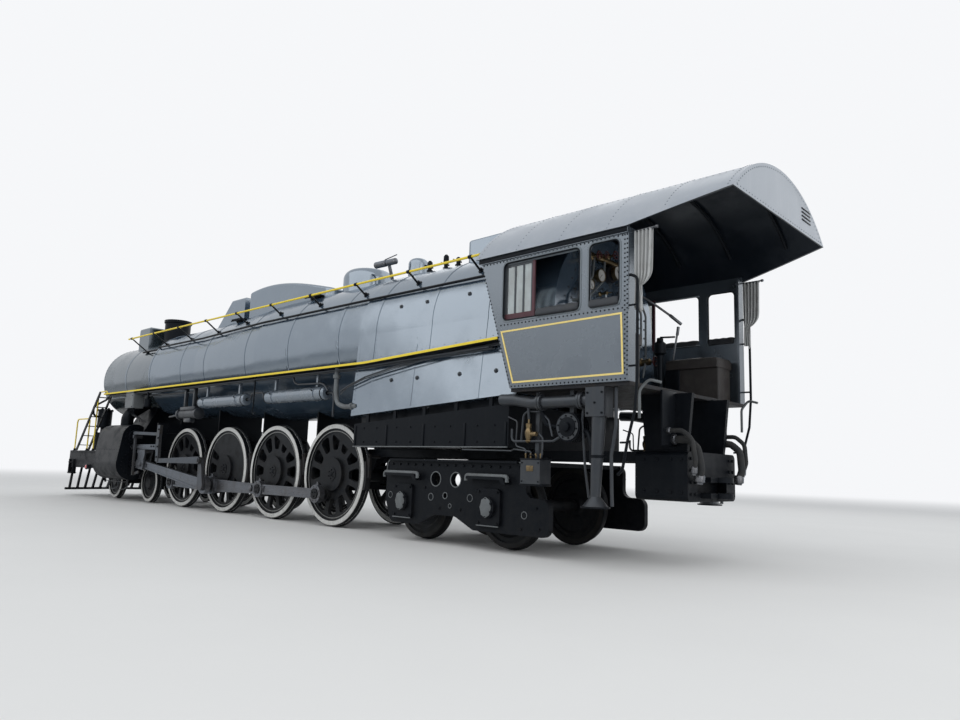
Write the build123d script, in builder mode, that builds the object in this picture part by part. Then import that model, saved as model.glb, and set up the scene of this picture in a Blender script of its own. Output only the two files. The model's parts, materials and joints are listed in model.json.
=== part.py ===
from build123d import *
from math import atan2, cos, degrees, radians, sin, sqrt
import os

# Steam locomotive, 4-8-4. Millimetres, +X towards the pilot, +Y to the engine's left, +Z up.
# The origin is on the floor under the wheel flanges, at the middle of the length and width.

# Wheels and axles
FLANGE_HEIGHT = 28
FLANGE_WIDTH = 33
TYRE_WIDTH = 144
TYRE_CORNER = 10
FLANGE_CORNER = 9
BACK_TO_BACK = 1356
TYRE_THICKNESS = 76
RIM_THICKNESS = 66
RIM_INSET = 22
DRIVER_RADIUS = 889
DRIVER_SPACING = 1956
DRIVER_COUNT = 4
MAIN_DRIVER = 2
DRIVER_4_X = -2450
DRIVER_AXLE_RADIUS = 120
HUB_RADIUS = 290
HUB_PROUD = 20
WEB_THICKNESS = 70
SPOKE_COUNT = 12
SPOKE_WIDTH = 96
WINDOW_INNER_RADIUS = 430
WINDOW_OUTER_RADIUS = 712
WINDOW_INNER_FILLET = 46
WINDOW_OUTER_FILLET = 64
WEIGHT_CHORD = 575
MAIN_WEIGHT_CHORD = 60
WEIGHT_PROUD = 12
WEIGHT_LAP = 2
LEAD_WHEEL_RADIUS = 457
LEAD_WHEELBASE = 2134
LEAD_TRUCK_GAP = 2887
TRAIL_WHEEL_RADIUS = 559
TRAIL_WHEELBASE = 1750
TRAIL_TRUCK_GAP = 3275
TRUCK_AXLE_RADIUS = 90
TRUCK_HUB_RADIUS = 190
DISC_THICKNESS = 42
DISC_FLARE = 20
DISC_FILLET = 10
DISC_EDGE = 35
DISC_LAP = 5
TRUCK_HUB_TAPER = 0.75

# Cranks and rods
CRANK_RADIUS = 406
LEFT_CRANK_ANGLE = -60
RIGHT_CRANK_ANGLE = -150
PIN_RADIUS = 78
MAIN_PIN_RADIUS = 104
PIN_BOSS = 66
PIN_CLEARANCE = 1
PIN_CAP_THICKNESS = 18
PIN_CAP_RIM = 16
PIN_CAP_NECK = 12
SIDE_ROD_Y = 980
SIDE_ROD_THICKNESS = 66
# Depth of the side rods at each crankpin, from the front pair of drivers to the rear
SIDE_ROD_DEPTHS = [175, 265, 185, 170]
ROD_EYE_THICKNESS = 108
ROD_EYE_WALL = 80
ROD_FLUTE_DEPTH = 16
ROD_FLUTE_EDGE = 30
ROD_FLUTE_MARGIN = 40
MAIN_ROD_LENGTH = 3200
MAIN_ROD_Y = 1143
MAIN_ROD_THICKNESS = 96
MAIN_ROD_FRONT_DEPTH = 165
MAIN_ROD_REAR_DEPTH = 250
WRIST_PIN_RADIUS = 60
RETURN_CRANK_THICKNESS = 60
ECCENTRIC_RADIUS = 330
ECCENTRIC_LEAD = 90
ECCENTRIC_ROD_DEPTH = 92
ECCENTRIC_ROD_THICKNESS = 46
GEAR_GAP = 8
RETURN_CRANK_ROOT_DEPTH = 230
RETURN_CRANK_TIP_DEPTH = 130
ECCENTRIC_PIN_RADIUS = 38
ECCENTRIC_PIN_PROUD = 15
ECCENTRIC_ROD_REAR_DEPTH = 150
LINK_X = 3760
LINK_Z = 1560
LINK_FOOT_Z = 1040
LINK_EXTRA_THICKNESS = 24
# Outline of the link about its middle, as (x, z)
LINK_OUTLINE = [
    (-70, -540), (60, -540), (75, -330), (95, -300), (110, 0), (95, 300), (-45, 300), (-30, 0), (-45, -300),
]
RADIUS_ROD_RISE = 90
RADIUS_ROD_DEPTH = 70
LEVER_LEAD = 150
LEVER_LEAN = 40
LEVER_DROP = 240
LEVER_THICKNESS = 40
LEVER_SETBACK = 20
LEVER_TOP_DEPTH = 90
LEVER_FOOT_DEPTH = 70
UNION_LEAD = 60
UNION_DROP = 190
UNION_THICKNESS = 30
UNION_SETBACK = 50
UNION_DEPTH = 60
VALVE_STEM_RADIUS = 36
VALVE_STEM_LAP = 20
VALVE_BLOCK_LENGTH = 70
VALVE_BLOCK_HEIGHT = 80
VALVE_BLOCK_EXTRA = 60

# Cylinders, crossheads and guides
CYLINDER_Y = 1143
CYLINDER_Z = 940
CYLINDER_RADIUS = 405
CYLINDER_HALF_LENGTH = 550
CASING_HALF_LENGTH = 780
CASING_INNER_Y = 960
HEAD_RADIUS = 330
HEAD_THICKNESS = 45
CHEST_Z = 1600
CHEST_RADIUS = 315
CHEST_HEAD_RADIUS = 180
CHEST_HEAD_LENGTH = 90
STEAM_PIPE_RADIUS = 150
STEAM_PIPE_INSET = 60
STEAM_PIPE_RISE = 560
STEAM_PIPE_TOP_DROP = 660
STEAM_PIPE_BEND = 250
SADDLE_HALF_LENGTH = 520
SADDLE_HALF_WIDTH = 560
SADDLE_WAIST = 250
SADDLE_FOOT_RISE = 120
SADDLE_SHOULDER = 60
SADDLE_RIM_LOW = 100
SADDLE_RIM_HIGH = 300
PISTON_ROD_RADIUS = 52
GLAND_RADIUS = 100
GLAND_LENGTH = 90
CROSSHEAD_HALF_LENGTH = 215
CROSSHEAD_WIDTH = 190
CROSSHEAD_BLOCK = 110
CROSSHEAD_GAP = 8
CROSSHEAD_CHEEK_GAP = 6
CROSSHEAD_CHEEK_FOOT = 120
CROSSHEAD_BLOCK_HEIGHT = 200
SLIPPER_LAP = 40
SLIPPER_GAP = 5
SLIPPER_THICKNESS = 80
SLIPPER_EXTRA_WIDTH = 20
WRIST_PIN_EXTRA = 30
GUIDE_Z = 1290
GUIDE_DEPTH = 120
GUIDE_WIDTH = 150
GUIDE_CLEARANCE = 5
GUIDE_FLANGE = 25
YOKE_X = 3992
YOKE_THICKNESS = 56
YOKE_BOTTOM = 1690
YOKE_DEPTH = 230
YOKE_END = 35
YOKE_ARM_MARGIN = 30

# Frame
FRAME_INNER = 420
FRAME_OUTER = 540
FRAME_TOP = 1290
FRAME_BOTTOM = 640
FRONT_FRAME_BOTTOM = 1010
REAR_FRAME_BOTTOM = 1245
FRAME_STEP_FRONT = 420
FRAME_STEP_REAR = 260
FRAME_SLOPE_FRONT = 200
FRAME_SLOPE_REAR = 300
FRAME_RAMP_FRONT = 60
FRAME_RAMP_REAR = 200
FRAME_PAN_GAP = 5
FRAME_SLOT_RISE = 290
FRAME_SLOT_HEIGHT = 330
FRAME_SLOT_MARGIN = 240
PEDESTAL_WIDTH = 380
PEDESTAL_TOP = 1150
PEDESTAL_BOTTOM = 725
PEDESTAL_FILLET = 20
DRIVING_BOX_WIDTH = 340
DRIVING_BOX_RISE = 5
DRIVING_BOX_PROUD = 10
BOX_BORE_CLEARANCE = 6
SHOE_GAP = 8
SHOE_THICKNESS = 45
SHOE_WIDTH = 90
SHOE_REACH = 240
HANGER_SETBACK = 950
HANGER_WIDTH = 80
HANGER_PIN_RADIUS = 26
HANGER_Z = 1240
SPRING_LENGTH = 920
SPRING_TOP = 1620
SPRING_WIDTH = 100
SPRING_CAMBER = 110
SPRING_DEPTH = 190
SPRING_TIP = 45
SPRING_BUCKLE = 110
SPRING_BUCKLE_LAP = 25
SPRING_HANGER = 45
TIE_THICKNESS = 90
TIE_HEIGHT = 130
TIE_DROP = 10
TIE_FRONT = 350
TIE_REAR = 500
WAIST_THICKNESS = 30
WAIST_TOP_DROP = 600

# Boiler
BOILER_Z = 3220
SMOKEBOX_FRONT_X = 8550
SMOKEBOX_LENGTH = 3300
SMOKEBOX_RADIUS = 985
SMOKEBOX_WALL = 22
SMOKEBOX_FRONT_THICKNESS = 45
DOOR_OPENING_RADIUS = 640
DOOR_RADIUS = 700
DOOR_CROWN = 120
DOOR_THICKNESS = 30
DOOR_GAP = 6
HEADLIGHT_STEM_RADIUS = 120
HEADLIGHT_STEM_LENGTH = 60
HEADLIGHT_RADIUS = 190
HEADLIGHT_LENGTH = 170
HEADLIGHT_RIM_RADIUS = 205
HEADLIGHT_LENS_RADIUS = 165
HEADLIGHT_RIM_LENGTH = 30
FIRST_COURSE_RADIUS = 1100
FIRST_COURSE_LENGTH = 2500
TAPER_LENGTH = 2900
SECOND_COURSE_RADIUS = 1255
FIREBOX_FRONT_X = -3600
FIREBOX_LENGTH = 4050
FIREBOX_STEP = 15
FIREBOX_REAR_RADIUS = 1215
FIREBOX_HALF_WIDTH = 1360
FIREBOX_BOTTOM_FRONT = 1880
FIREBOX_BOTTOM_REAR = 2120

# Fittings on top of the boiler
STACK_RADIUS = 330
STACK_BORE = 270
STACK_TOP = 4830
STACK_RIM = 26
STACK_RIM_DEPTH = 70
STACK_RIM_SLOPE = 20
STACK_FLARE = 60
STACK_FLARE_HEIGHT = 140
BELL_RADIUS = 190
BELL_X = 8050
# Outline of the bell, as (radius, height above the smokebox)
BELL_OUTLINE = [(0, 120), (BELL_RADIUS, 120), (160, 180), (110, 330), (70, 400), (0, 420)]
BELL_POST_GAP = 50
BELL_POST_LENGTH = 90
BELL_POST_THICKNESS = 35
BELL_POST_LOW = -60
BELL_POST_TOP = 340
BELL_YOKE_LENGTH = 60
BELL_YOKE_DEPTH = 40
BELL_BASE_LENGTH = 140
BELL_BASE_DEPTH = 60
BELL_BASE_MARGIN = 80
HEATER_X = 7050
HEATER_LENGTH = 640
HEATER_WIDTH = 1150
HEATER_TOP = 4640
HEATER_FILLET = 60
THROTTLE_BOX_FOOT_X = 3380
THROTTLE_BOX_BROW_X = 2770
THROTTLE_BOX_REAR_X = 2120
THROTTLE_BOX_WIDTH = 620
THROTTLE_BOX_TOP = 4890
THROTTLE_BOX_CORNER = 60
# Top line of the sand dome from front to rear, as (x, z)
SAND_DOME_TOP_LINE = [(1760, 4880), (780, 4950), (-40, 4870), (-720, 4740), (-1480, 4560)]
SAND_DOME_WIDTH = 900
SAND_DOME_CORNER = 170
SAND_DOME_EDGE = 60
STEAM_DOME_X = -2120
STEAM_DOME_RADIUS = 500
STEAM_DOME_TOP = 4850
STEAM_DOME_EDGE = 190
SAFETY_X = -3560
SAFETY_RADIUS = 185
SAFETY_TOP = 4860
SAFETY_EDGE = 110
TURRET_BOX_FRONT_X = -5170
TURRET_BOX_LENGTH = 1385
TURRET_BOX_WIDTH = 760
TURRET_BOX_TOP = 4800
TURRET_BOX_CORNER = 90
TURRET_BOX_EDGE = 45
RAIL_Y = 1200
RAIL_Z = 4170
RAIL_RADIUS = 19
RAIL_FRONT_X = 6460
RAIL_REAR_X = -6260
STANCHION_RADIUS = 17
STANCHION_COUNT = 10
STANCHION_FOOT_ANGLE = 40
STANCHION_FOOT_LAP = 60
STANCHION_MARGIN = 200

# Running boards and what hangs under them
BOARD_Z = 2700
BOARD_THICKNESS = 36
BOARD_EDGE = 1470
BOARD_LAP = 250
BOARD_FRONT_X = 7050
BOARD_KINK_X = -4030
BOARD_REAR_X = -6890
BOARD_RISE = 120
TANK_RADIUS = 120
TANK_Y = 1240
TANK_Z = 2310
TANK_1_FRONT_X = 1950
TANK_2_FRONT_X = -780
TANK_LENGTH = 1950
STRAP_WIDTH = 50
STRAP_THICKNESS = 10
STRAP_MARGIN = 290
TANK_END_FILLET = 42
LUBRICATOR_X = 5330
LUBRICATOR_LENGTH = 500
LUBRICATOR_WIDTH = 280
LUBRICATOR_HEIGHT = 400
LUBRICATOR_FILLET = 35

# Ashpan
ASHPAN_SIDE_Y = 1330
ASHPAN_BOTTOM = 1380
ASHPAN_TOP_FRONT = 1750
ASHPAN_TOP_REAR = 1960
ASHPAN_FRONT_X = -3680
ASHPAN_REAR_X = -7010
ASHPAN_PLATE = 30
HOPPER_HALF_WIDTH = 400
HOPPER_BOTTOM = 760
HOPPER_HALF_LENGTH = 420
HOPPER_MOUTH_LENGTH = 630
BRACKET_COUNT = 5
BRACKET_WIDTH = 60
BRACKET_HEIGHT = 220
BRACKET_LAP = 60

# Cab
CAB_Y = 1550
CAB_WALL = 30
CAB_REAR_X = -8960
CAB_FRONT_TOP_X = -6620
CAB_FRONT_BOTTOM_X = -7200
CAB_BOTTOM = 2130
EAVE_Z = 3930
EAVE_OVERHANG = 50
CROWN_Z = 4800
ROOF_THICKNESS = 30
ROOF_FRONT_X = -6560
ROOF_REAR_X = -10150
ROOF_TAIL_Z = 4190
END_PLATE_THICKNESS = 15
GUTTER_DEPTH = 70
GUTTER_WIDTH = 24
WINDOW_BOTTOM = 3030
WINDOW_TOP = 3810
WINDOW_FILLET = 70
FRONT_WINDOW_X = -7050
FRONT_WINDOW_LENGTH = 1230
REAR_WINDOW_X = -8420
REAR_WINDOW_LENGTH = 420
SASH_LENGTH = 510
SASH_THICKNESS = 24
SASH_BORDER = 55
SASH_RAIL = 90
SASH_BAR = 26
SASH_FRONT_LAP = 10
SASH_EDGE_LAP = 20
PANE_COUNT = 3
GLASS_THICKNESS = 8
REAR_FLANGE = 150
FLOOR_THICKNESS = 45
SEAT_WIDTH = 460
SEAT_LENGTH = 800
SEAT_TOP = 2720
SEAT_GAP = 60
SEAT_CUSHION = 100
SEAT_OVERHANG = 40
SEAT_NOSE = 10
SEAT_FILLET = 25
FIRE_DOOR_Z = 2560
# Fire door plate and door: length, width and height
FIRE_DOOR_PLATE = (60, 620, 480)
FIRE_DOOR = (40, 460, 340)
FIRE_DOOR_LAP = 10
GAUGE_STAND_Z = 3900
GAUGE_STAND_RADIUS = 120
GAUGE_STAND_LENGTH = 90
THROTTLE_STUFFING_Y = -420
THROTTLE_STUFFING_Z = 3700
THROTTLE_STUFFING_RADIUS = 45
THROTTLE_STUFFING_LENGTH = 160


# Piping under the cab
PIPING_Y = 1440
DELIVERY_FRONT_X = -6980
DELIVERY_Z = 1940
DELIVERY_FRONT_Z = 2000
DELIVERY_KNEE_LENGTH = 240
DELIVERY_KNEE_Z = 1990
DELIVERY_FALL_LENGTH = 520
DELIVERY_BEND = 120
DELIVERY_RADIUS = 75
VALVE_BOX_X = -8500
VALVE_BOX_BOTTOM = 1740
VALVE_BOX_LENGTH = 260
VALVE_BOX_WIDTH = 190
CHUTE_LEAN = 40
CHUTE_BOTTOM = 690
CHUTE_MOUTH_RADIUS = 165
CHUTE_MOUTH_HEIGHT = 130
CHUTE_NECK_RADIUS = 60
CHUTE_RADIUS = 85
INJECTOR_X = -8050
INJECTOR_Z = 1630
INJECTOR_RADIUS = 160
INJECTOR_LENGTH = 240
INJECTOR_INSET = 110
POST_WIDTH = 60
OILER_X = -7520
OILER_Z = 1080
OILER_LENGTH = 310
OILER_WIDTH = 220
OILER_HEIGHT = 300
OILER_INSET = 60

# Front end
DECK_REAR_X = 7300
DECK_FRONT_X = 9150
DECK_HALF_WIDTH = 1450
DECK_TOP = 1235
DECK_THICKNESS = 30
VALANCE_BOTTOM = 780
BEAM_THICKNESS = 140
PILOT_REACH = 500
PILOT_BOTTOM = 150
PILOT_SLAT_COUNT = 13
PILOT_SLAT_WIDTH = 46
PILOT_MARGIN = 120
PILOT_SWEEP = 0.75
PILOT_SLAT_LAP = 60
PILOT_SLAT_RISE = 20
PILOT_SLAT_TOE = 30
PILOT_SLAT_FOOT = 80
PILOT_RAIL_WIDTH = 90
PILOT_RAIL_HEIGHT = 60
COUPLER_Z = 890
COUPLER_FRONT_X = 10150
COUPLER_SHANK_WIDTH = 160
COUPLER_SHANK_HEIGHT = 180
COUPLER_SHANK_LAP = 20
COUPLER_HEAD_LENGTH = 370
COUPLER_HEAD_HEIGHT = 330
# Outline of the coupler head from above, as (distance behind its front, y)
COUPLER_OUTLINE = [
    (370, 120), (240, 190), (60, 230), (60, 130), (200, 60), (160, -20), (0, -60), (20, -150), (240, -190),
    (370, -120),
]
PUMP_X = 8790
PUMP_Y = 760
PUMP_HEIGHT = 1150
PUMP_WAIST = 86
# Steam and air cylinders of a pump: height of the middle as a share of the pump's, and radius
PUMP_DRUMS = [(0.22, 215), (0.78, 185)]
PUMP_DRUM_HEIGHT = 460
LADDER_Y = 1390
LADDER_WIDTH = 300
LADDER_SETBACK = 1100
LADDER_HEAD_LAP = 60
LADDER_STRINGER_THICKNESS = 24
LADDER_STRINGER_DEPTH = 90
LADDER_TREAD_LENGTH = 150
LADDER_TREAD_THICKNESS = 18
LADDER_FIRST_RUNG = 0.6
LADDER_RUNG_COUNT = 6

# Rear end
DRAG_BEAM_X = -8500
DRAG_BEAM_LENGTH = 700
DRAG_BEAM_HALF_WIDTH = 640
DRAG_BEAM_BOTTOM = 790
DRAG_BEAM_CORNER = 70
DRAG_WEB_Y = 480
DRAG_WEB_THICKNESS = 60
DRAWBAR_BORE = 45
DRAWBAR_LIP = 60
DRAWBAR_SLOT = 130
DRAWBAR_Z = 960
DRAWBAR_REACH = 260
DRAWBAR_LIP_HALF_WIDTH = 312
DRAWBAR_SLOT_HALF_WIDTH = 390

# Trucks
TRUCK_FRAME_Y = 560
TRUCK_FRAME_THICKNESS = 80
LEAD_PEDESTAL_HALF = 190
LEAD_PEDESTAL_DROP = 150
LEAD_PEDESTAL_RISE = 200
LEAD_BAR_REACH = 300
LEAD_BAR_RISE = 60
BOLSTER_LENGTH = 620
BOLSTER_DEPTH = 180
BOLSTER_RISE = 190
CENTRE_PLATE_RADIUS = 230
CENTRE_PLATE_RISE = 320
CENTRE_PLATE_DEPTH = 100
TRAIL_FRAME_Y = 1150
TRAIL_FRAME_THICKNESS = 90
TRAIL_FRAME_TOP = 1210
TRAIL_FRAME_BOTTOM = 260
TRAIL_FRAME_FRONT = 440
TRAIL_FRAME_REAR = 1000
TRAIL_SHOULDER = 620
TRAIL_TAIL_Z = 740
TRAIL_FOOT_LENGTH = 620
TRAIL_ARCH_LENGTH = 420
TRAIL_ARCH_Z = 420
TRAIL_SMALL_CORNER = 120
TRAIL_FLANGE_DEPTH = 60
TRAIL_FLANGE_THICKNESS = 30
TRAIL_PIVOT_X = -3650
JOURNAL_GAP = 10
JOURNAL_COVER_THICKNESS = 45
JOURNAL_COVER_RADIUS = 140
JOURNAL_BOX_WIDTH = 420
JOURNAL_BOX_HEIGHT = 500
JOURNAL_BOX_CORNER = 70
HOOD_DEPTH = 120
HOOD_LENGTH = 720
HOOD_THICKNESS = 55
HOOD_RISE = 425
HOOD_CORNER = 40
TRAIL_HOLE_RADIUS = 95
TRAIL_HOLE_SPREAD = 205
TRAIL_HOLE_Z = 930
TRAIL_BOLT_HOLE_RADIUS = 38
TRAIL_BOLT_HOLE_Z = 700
TRAIL_TIE_WIDTH = 120
TRAIL_TIE_DEPTH = 60
TRAIL_TONGUE_HALF_WIDTH = 560
TRAIL_TONGUE_TIP = 90
TRAIL_TONGUE_DEPTH = 100

# Places worked out from the sizes above
DRIVER_AXLE_Z = FLANGE_HEIGHT + DRIVER_RADIUS
LEAD_AXLE_Z = FLANGE_HEIGHT + LEAD_WHEEL_RADIUS
TRAIL_AXLE_Z = FLANGE_HEIGHT + TRAIL_WHEEL_RADIUS
DRIVER_X = [DRIVER_4_X + DRIVER_SPACING * (DRIVER_COUNT - 1 - i) for i in range(DRIVER_COUNT)]
MAIN_X = DRIVER_X[MAIN_DRIVER - 1]
LEAD_TRUCK_X = DRIVER_X[0] + LEAD_TRUCK_GAP
TRAIL_TRUCK_X = DRIVER_4_X - TRAIL_TRUCK_GAP
LEAD_X = [LEAD_TRUCK_X + LEAD_WHEELBASE / 2, LEAD_TRUCK_X - LEAD_WHEELBASE / 2]
TRAIL_X = [TRAIL_TRUCK_X + TRAIL_WHEELBASE / 2, TRAIL_TRUCK_X - TRAIL_WHEELBASE / 2]
CYLINDER_X = LEAD_TRUCK_X
WHEEL_BACK_Y = BACK_TO_BACK / 2
WHEEL_FACE_Y = WHEEL_BACK_Y + TYRE_WIDTH
SMOKEBOX_REAR_X = SMOKEBOX_FRONT_X - SMOKEBOX_LENGTH
TAPER_FRONT_X = SMOKEBOX_REAR_X - FIRST_COURSE_LENGTH
TAPER_REAR_X = TAPER_FRONT_X - TAPER_LENGTH
FIREBOX_REAR_X = FIREBOX_FRONT_X - FIREBOX_LENGTH
CRANK_ANGLE = {1: LEFT_CRANK_ANGLE, -1: RIGHT_CRANK_ANGLE}
SIDES = {1: "left", -1: "right"}

os.makedirs("parts", exist_ok=True)


def side_plane(y, x=0, z=0, turn=0):
    """Upright plane at y, its local x forward and raised by turn degrees. Extruding goes towards -Y."""
    along = (cos(radians(turn)), 0, sin(radians(turn)))
    return Plane(origin=(x, y, z), x_dir=along, z_dir=(0, -1, 0))


def cross_plane(x, y=0, z=0):
    """Plane across the engine at x: local x to the left, local y up. Extruding goes forward."""
    return Plane(origin=(x, y, z), x_dir=(0, 1, 0), z_dir=(1, 0, 0))


def crank_point(side, angle_ahead=0, radius=CRANK_RADIUS):
    """Offset in x and z of a pin from its axle, on the left (1) or right (-1) wheel."""
    angle = radians(CRANK_ANGLE[side] + angle_ahead)
    return radius * cos(angle), radius * sin(angle)


def tyre_profile(radius, inset=RIM_INSET):
    """Closed profile of tyre and rim: y across the wheel, r from the axle."""
    inner = radius - TYRE_THICKNESS - RIM_THICKNESS
    seat = radius - TYRE_THICKNESS
    crest = WHEEL_BACK_Y + FLANGE_WIDTH
    return [
        (WHEEL_BACK_Y + inset, inner),
        (WHEEL_FACE_Y - inset, inner),
        (WHEEL_FACE_Y - inset, seat),
        (WHEEL_FACE_Y, seat),
        (WHEEL_FACE_Y, radius - TYRE_CORNER),
        (WHEEL_FACE_Y - TYRE_CORNER, radius),
        (crest + TYRE_CORNER, radius),
        (crest - FLANGE_CORNER / 2, radius + FLANGE_HEIGHT - FLANGE_CORNER / 2),
        (crest - FLANGE_CORNER, radius + FLANGE_HEIGHT),
        (WHEEL_BACK_Y + FLANGE_CORNER, radius + FLANGE_HEIGHT),
        (WHEEL_BACK_Y, radius + FLANGE_HEIGHT - FLANGE_CORNER),
        (WHEEL_BACK_Y, seat),
        (WHEEL_BACK_Y + inset, seat),
    ]


def driving_wheels(is_main):
    """A driving axle at x = 0 with both spoked wheels, their counterweights and crankpins."""
    axis = Axis((0, 0, DRIVER_AXLE_Z), (0, 1, 0))
    rim_inner = DRIVER_RADIUS - TYRE_THICKNESS - RIM_THICKNESS
    web_y = WHEEL_BACK_Y + (TYRE_WIDTH + WEB_THICKNESS) / 2
    hub_y = WHEEL_FACE_Y + HUB_PROUD
    pin_radius = MAIN_PIN_RADIUS if is_main else PIN_RADIUS
    chord = MAIN_WEIGHT_CHORD if is_main else WEIGHT_CHORD
    pin_end = SIDE_ROD_Y + ROD_EYE_THICKNESS / 2
    half_spacing = radians(180 / SPOKE_COUNT)
    half_outer = WINDOW_OUTER_RADIUS * sin(half_spacing) - SPOKE_WIDTH / 2
    half_inner = WINDOW_INNER_RADIUS * sin(half_spacing) - SPOKE_WIDTH / 2
    with BuildPart() as wheels:
        with BuildSketch(cross_plane(0, 0, DRIVER_AXLE_Z)):
            with BuildLine():
                Polyline(tyre_profile(DRIVER_RADIUS), close=True)
            make_face()
        revolve(axis=axis)
        with BuildSketch(side_plane(web_y, 0, DRIVER_AXLE_Z)):
            Circle(rim_inner + RIM_THICKNESS / 2)
            with PolarLocations(0, SPOKE_COUNT):
                with BuildSketch(mode=Mode.PRIVATE) as window:
                    with BuildLine():
                        Polyline(
                            (WINDOW_INNER_RADIUS, -half_inner),
                            (WINDOW_INNER_RADIUS, half_inner),
                            (WINDOW_OUTER_RADIUS, half_outer),
                            (WINDOW_OUTER_RADIUS, -half_outer),
                            close=True,
                        )
                    make_face()
                    fillet(window.vertices().group_by(Axis.X)[-1], WINDOW_OUTER_FILLET)
                    fillet(window.vertices().group_by(Axis.X)[0], WINDOW_INNER_FILLET)
                add(window.sketch, mode=Mode.SUBTRACT)
        extrude(amount=WEB_THICKNESS)
        with BuildSketch(side_plane(hub_y, 0, DRIVER_AXLE_Z)):
            Circle(HUB_RADIUS)
        extrude(amount=hub_y - WHEEL_BACK_Y)
        mirror(about=Plane.XZ)
        with BuildSketch(side_plane(hub_y + HUB_PROUD / 2, 0, DRIVER_AXLE_Z)):
            Circle(DRIVER_AXLE_RADIUS)
        extrude(amount=2 * hub_y + HUB_PROUD)
        for side in (1, -1):
            pin_x, pin_z = crank_point(side)
            turn = degrees(atan2(-pin_z, -pin_x))
            outward = -side
            weight_y = web_y + WEIGHT_PROUD
            with BuildSketch(side_plane(side * weight_y, 0, DRIVER_AXLE_Z, turn)):
                Circle(rim_inner + WEIGHT_LAP)
                with Locations((chord - DRIVER_RADIUS, 0)):
                    Rectangle(2 * DRIVER_RADIUS, 3 * DRIVER_RADIUS, mode=Mode.SUBTRACT)
            extrude(amount=-outward * (WEB_THICKNESS + 2 * WEIGHT_PROUD))
            with BuildSketch(side_plane(side * hub_y, pin_x, DRIVER_AXLE_Z + pin_z)):
                Circle(pin_radius + PIN_BOSS)
            extrude(amount=-outward * (hub_y - web_y + WEB_THICKNESS))
            with BuildSketch(side_plane(side * pin_end, pin_x, DRIVER_AXLE_Z + pin_z)):
                Circle(pin_radius)
            extrude(amount=-outward * (pin_end - web_y + WEB_THICKNESS / 2))
            cap_y = pin_end + PIN_CLEARANCE
            with BuildSketch(side_plane(side * pin_end, pin_x, DRIVER_AXLE_Z + pin_z)):
                Circle(pin_radius - PIN_CAP_NECK)
            extrude(amount=outward * (PIN_CAP_THICKNESS + PIN_CLEARANCE))
            with BuildSketch(side_plane(side * cap_y, pin_x, DRIVER_AXLE_Z + pin_z)):
                Circle(pin_radius + PIN_CAP_RIM)
            extrude(amount=outward * PIN_CAP_THICKNESS)
    return wheels.part


def truck_wheels(axle_z, radius, axle_end):
    """A truck axle at x = 0 with two disc wheels; the axle runs out to axle_end on both sides."""
    axis = Axis((0, 0, axle_z), (0, 1, 0))
    rim_inner = radius - TYRE_THICKNESS - RIM_THICKNESS
    web_y = WHEEL_BACK_Y + (TYRE_WIDTH - DISC_THICKNESS) / 2
    hub_y = WHEEL_FACE_Y + HUB_PROUD
    with BuildPart() as wheels:
        with BuildSketch(cross_plane(0, 0, axle_z)):
            with BuildLine():
                Polyline(tyre_profile(radius), close=True)
            make_face()
            with BuildLine():
                Polyline(
                    (WHEEL_BACK_Y, 0),
                    (hub_y, 0),
                    (hub_y, TRUCK_HUB_RADIUS * TRUCK_HUB_TAPER),
                    (web_y + DISC_THICKNESS + DISC_FILLET, TRUCK_HUB_RADIUS),
                    (web_y + DISC_THICKNESS, rim_inner - DISC_EDGE),
                    (web_y + DISC_THICKNESS + DISC_FLARE, rim_inner + DISC_LAP),
                    (web_y - DISC_FILLET, rim_inner + DISC_LAP),
                    (web_y - DISC_FLARE, rim_inner - DISC_EDGE),
                    (web_y - DISC_FLARE, TRUCK_HUB_RADIUS),
                    (WHEEL_BACK_Y, TRUCK_HUB_RADIUS * TRUCK_HUB_TAPER),
                    close=True,
                )
            make_face()
        revolve(axis=axis)
        mirror(about=Plane.XZ)
        with BuildSketch(side_plane(axle_end, 0, axle_z)):
            Circle(TRUCK_AXLE_RADIUS)
        extrude(amount=2 * axle_end)
    return wheels.part


# Driving axles
plain_driver = driving_wheels(False)
main_driver = driving_wheels(True)
for number, axle_x in enumerate(DRIVER_X, start=1):
    pattern = main_driver if number == MAIN_DRIVER else plain_driver
    driver = pattern.moved(Location((axle_x, 0, 0)))
    driver.label = f"driver_{number}"
    export_step(driver, f"parts/driver_{number}.step")

# Truck axles: the leading ones end at the hubs, the trailing ones in journals outside the wheels
lead_pattern = truck_wheels(LEAD_AXLE_Z, LEAD_WHEEL_RADIUS, WHEEL_FACE_Y + HUB_PROUD)
for number, axle_x in enumerate(LEAD_X, start=1):
    lead_axle = lead_pattern.moved(Location((axle_x, 0, 0)))
    lead_axle.label = f"lead_axle_{number}"
    export_step(lead_axle, f"parts/lead_axle_{number}.step")
journal_end = TRAIL_FRAME_Y + TRAIL_FRAME_THICKNESS / 2 - JOURNAL_GAP
trail_pattern = truck_wheels(TRAIL_AXLE_Z, TRAIL_WHEEL_RADIUS, journal_end)
for number, axle_x in enumerate(TRAIL_X, start=1):
    trail_axle = trail_pattern.moved(Location((axle_x, 0, 0)))
    trail_axle.label = f"trail_axle_{number}"
    export_step(trail_axle, f"parts/trail_axle_{number}.step")


def bar_between(y, thickness, start, end, start_depth, end_depth):
    """Tapered flat bar in the open part, between two pins given as (x, z) at their middles."""
    along = Vector(end[0] - start[0], end[1] - start[1])
    length = along.length
    angle = degrees(atan2(along.Y, along.X))
    with BuildSketch(side_plane(y + thickness / 2, start[0], start[1], angle)) as outline:
        with BuildLine():
            Polyline(
                (0, -start_depth / 2),
                (length, -end_depth / 2),
                (length, end_depth / 2),
                (0, start_depth / 2),
                close=True,
            )
        make_face()
        Circle(start_depth / 2)
        with Locations((length, 0)):
            Circle(end_depth / 2)
    extrude(outline.sketch, amount=thickness)


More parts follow.
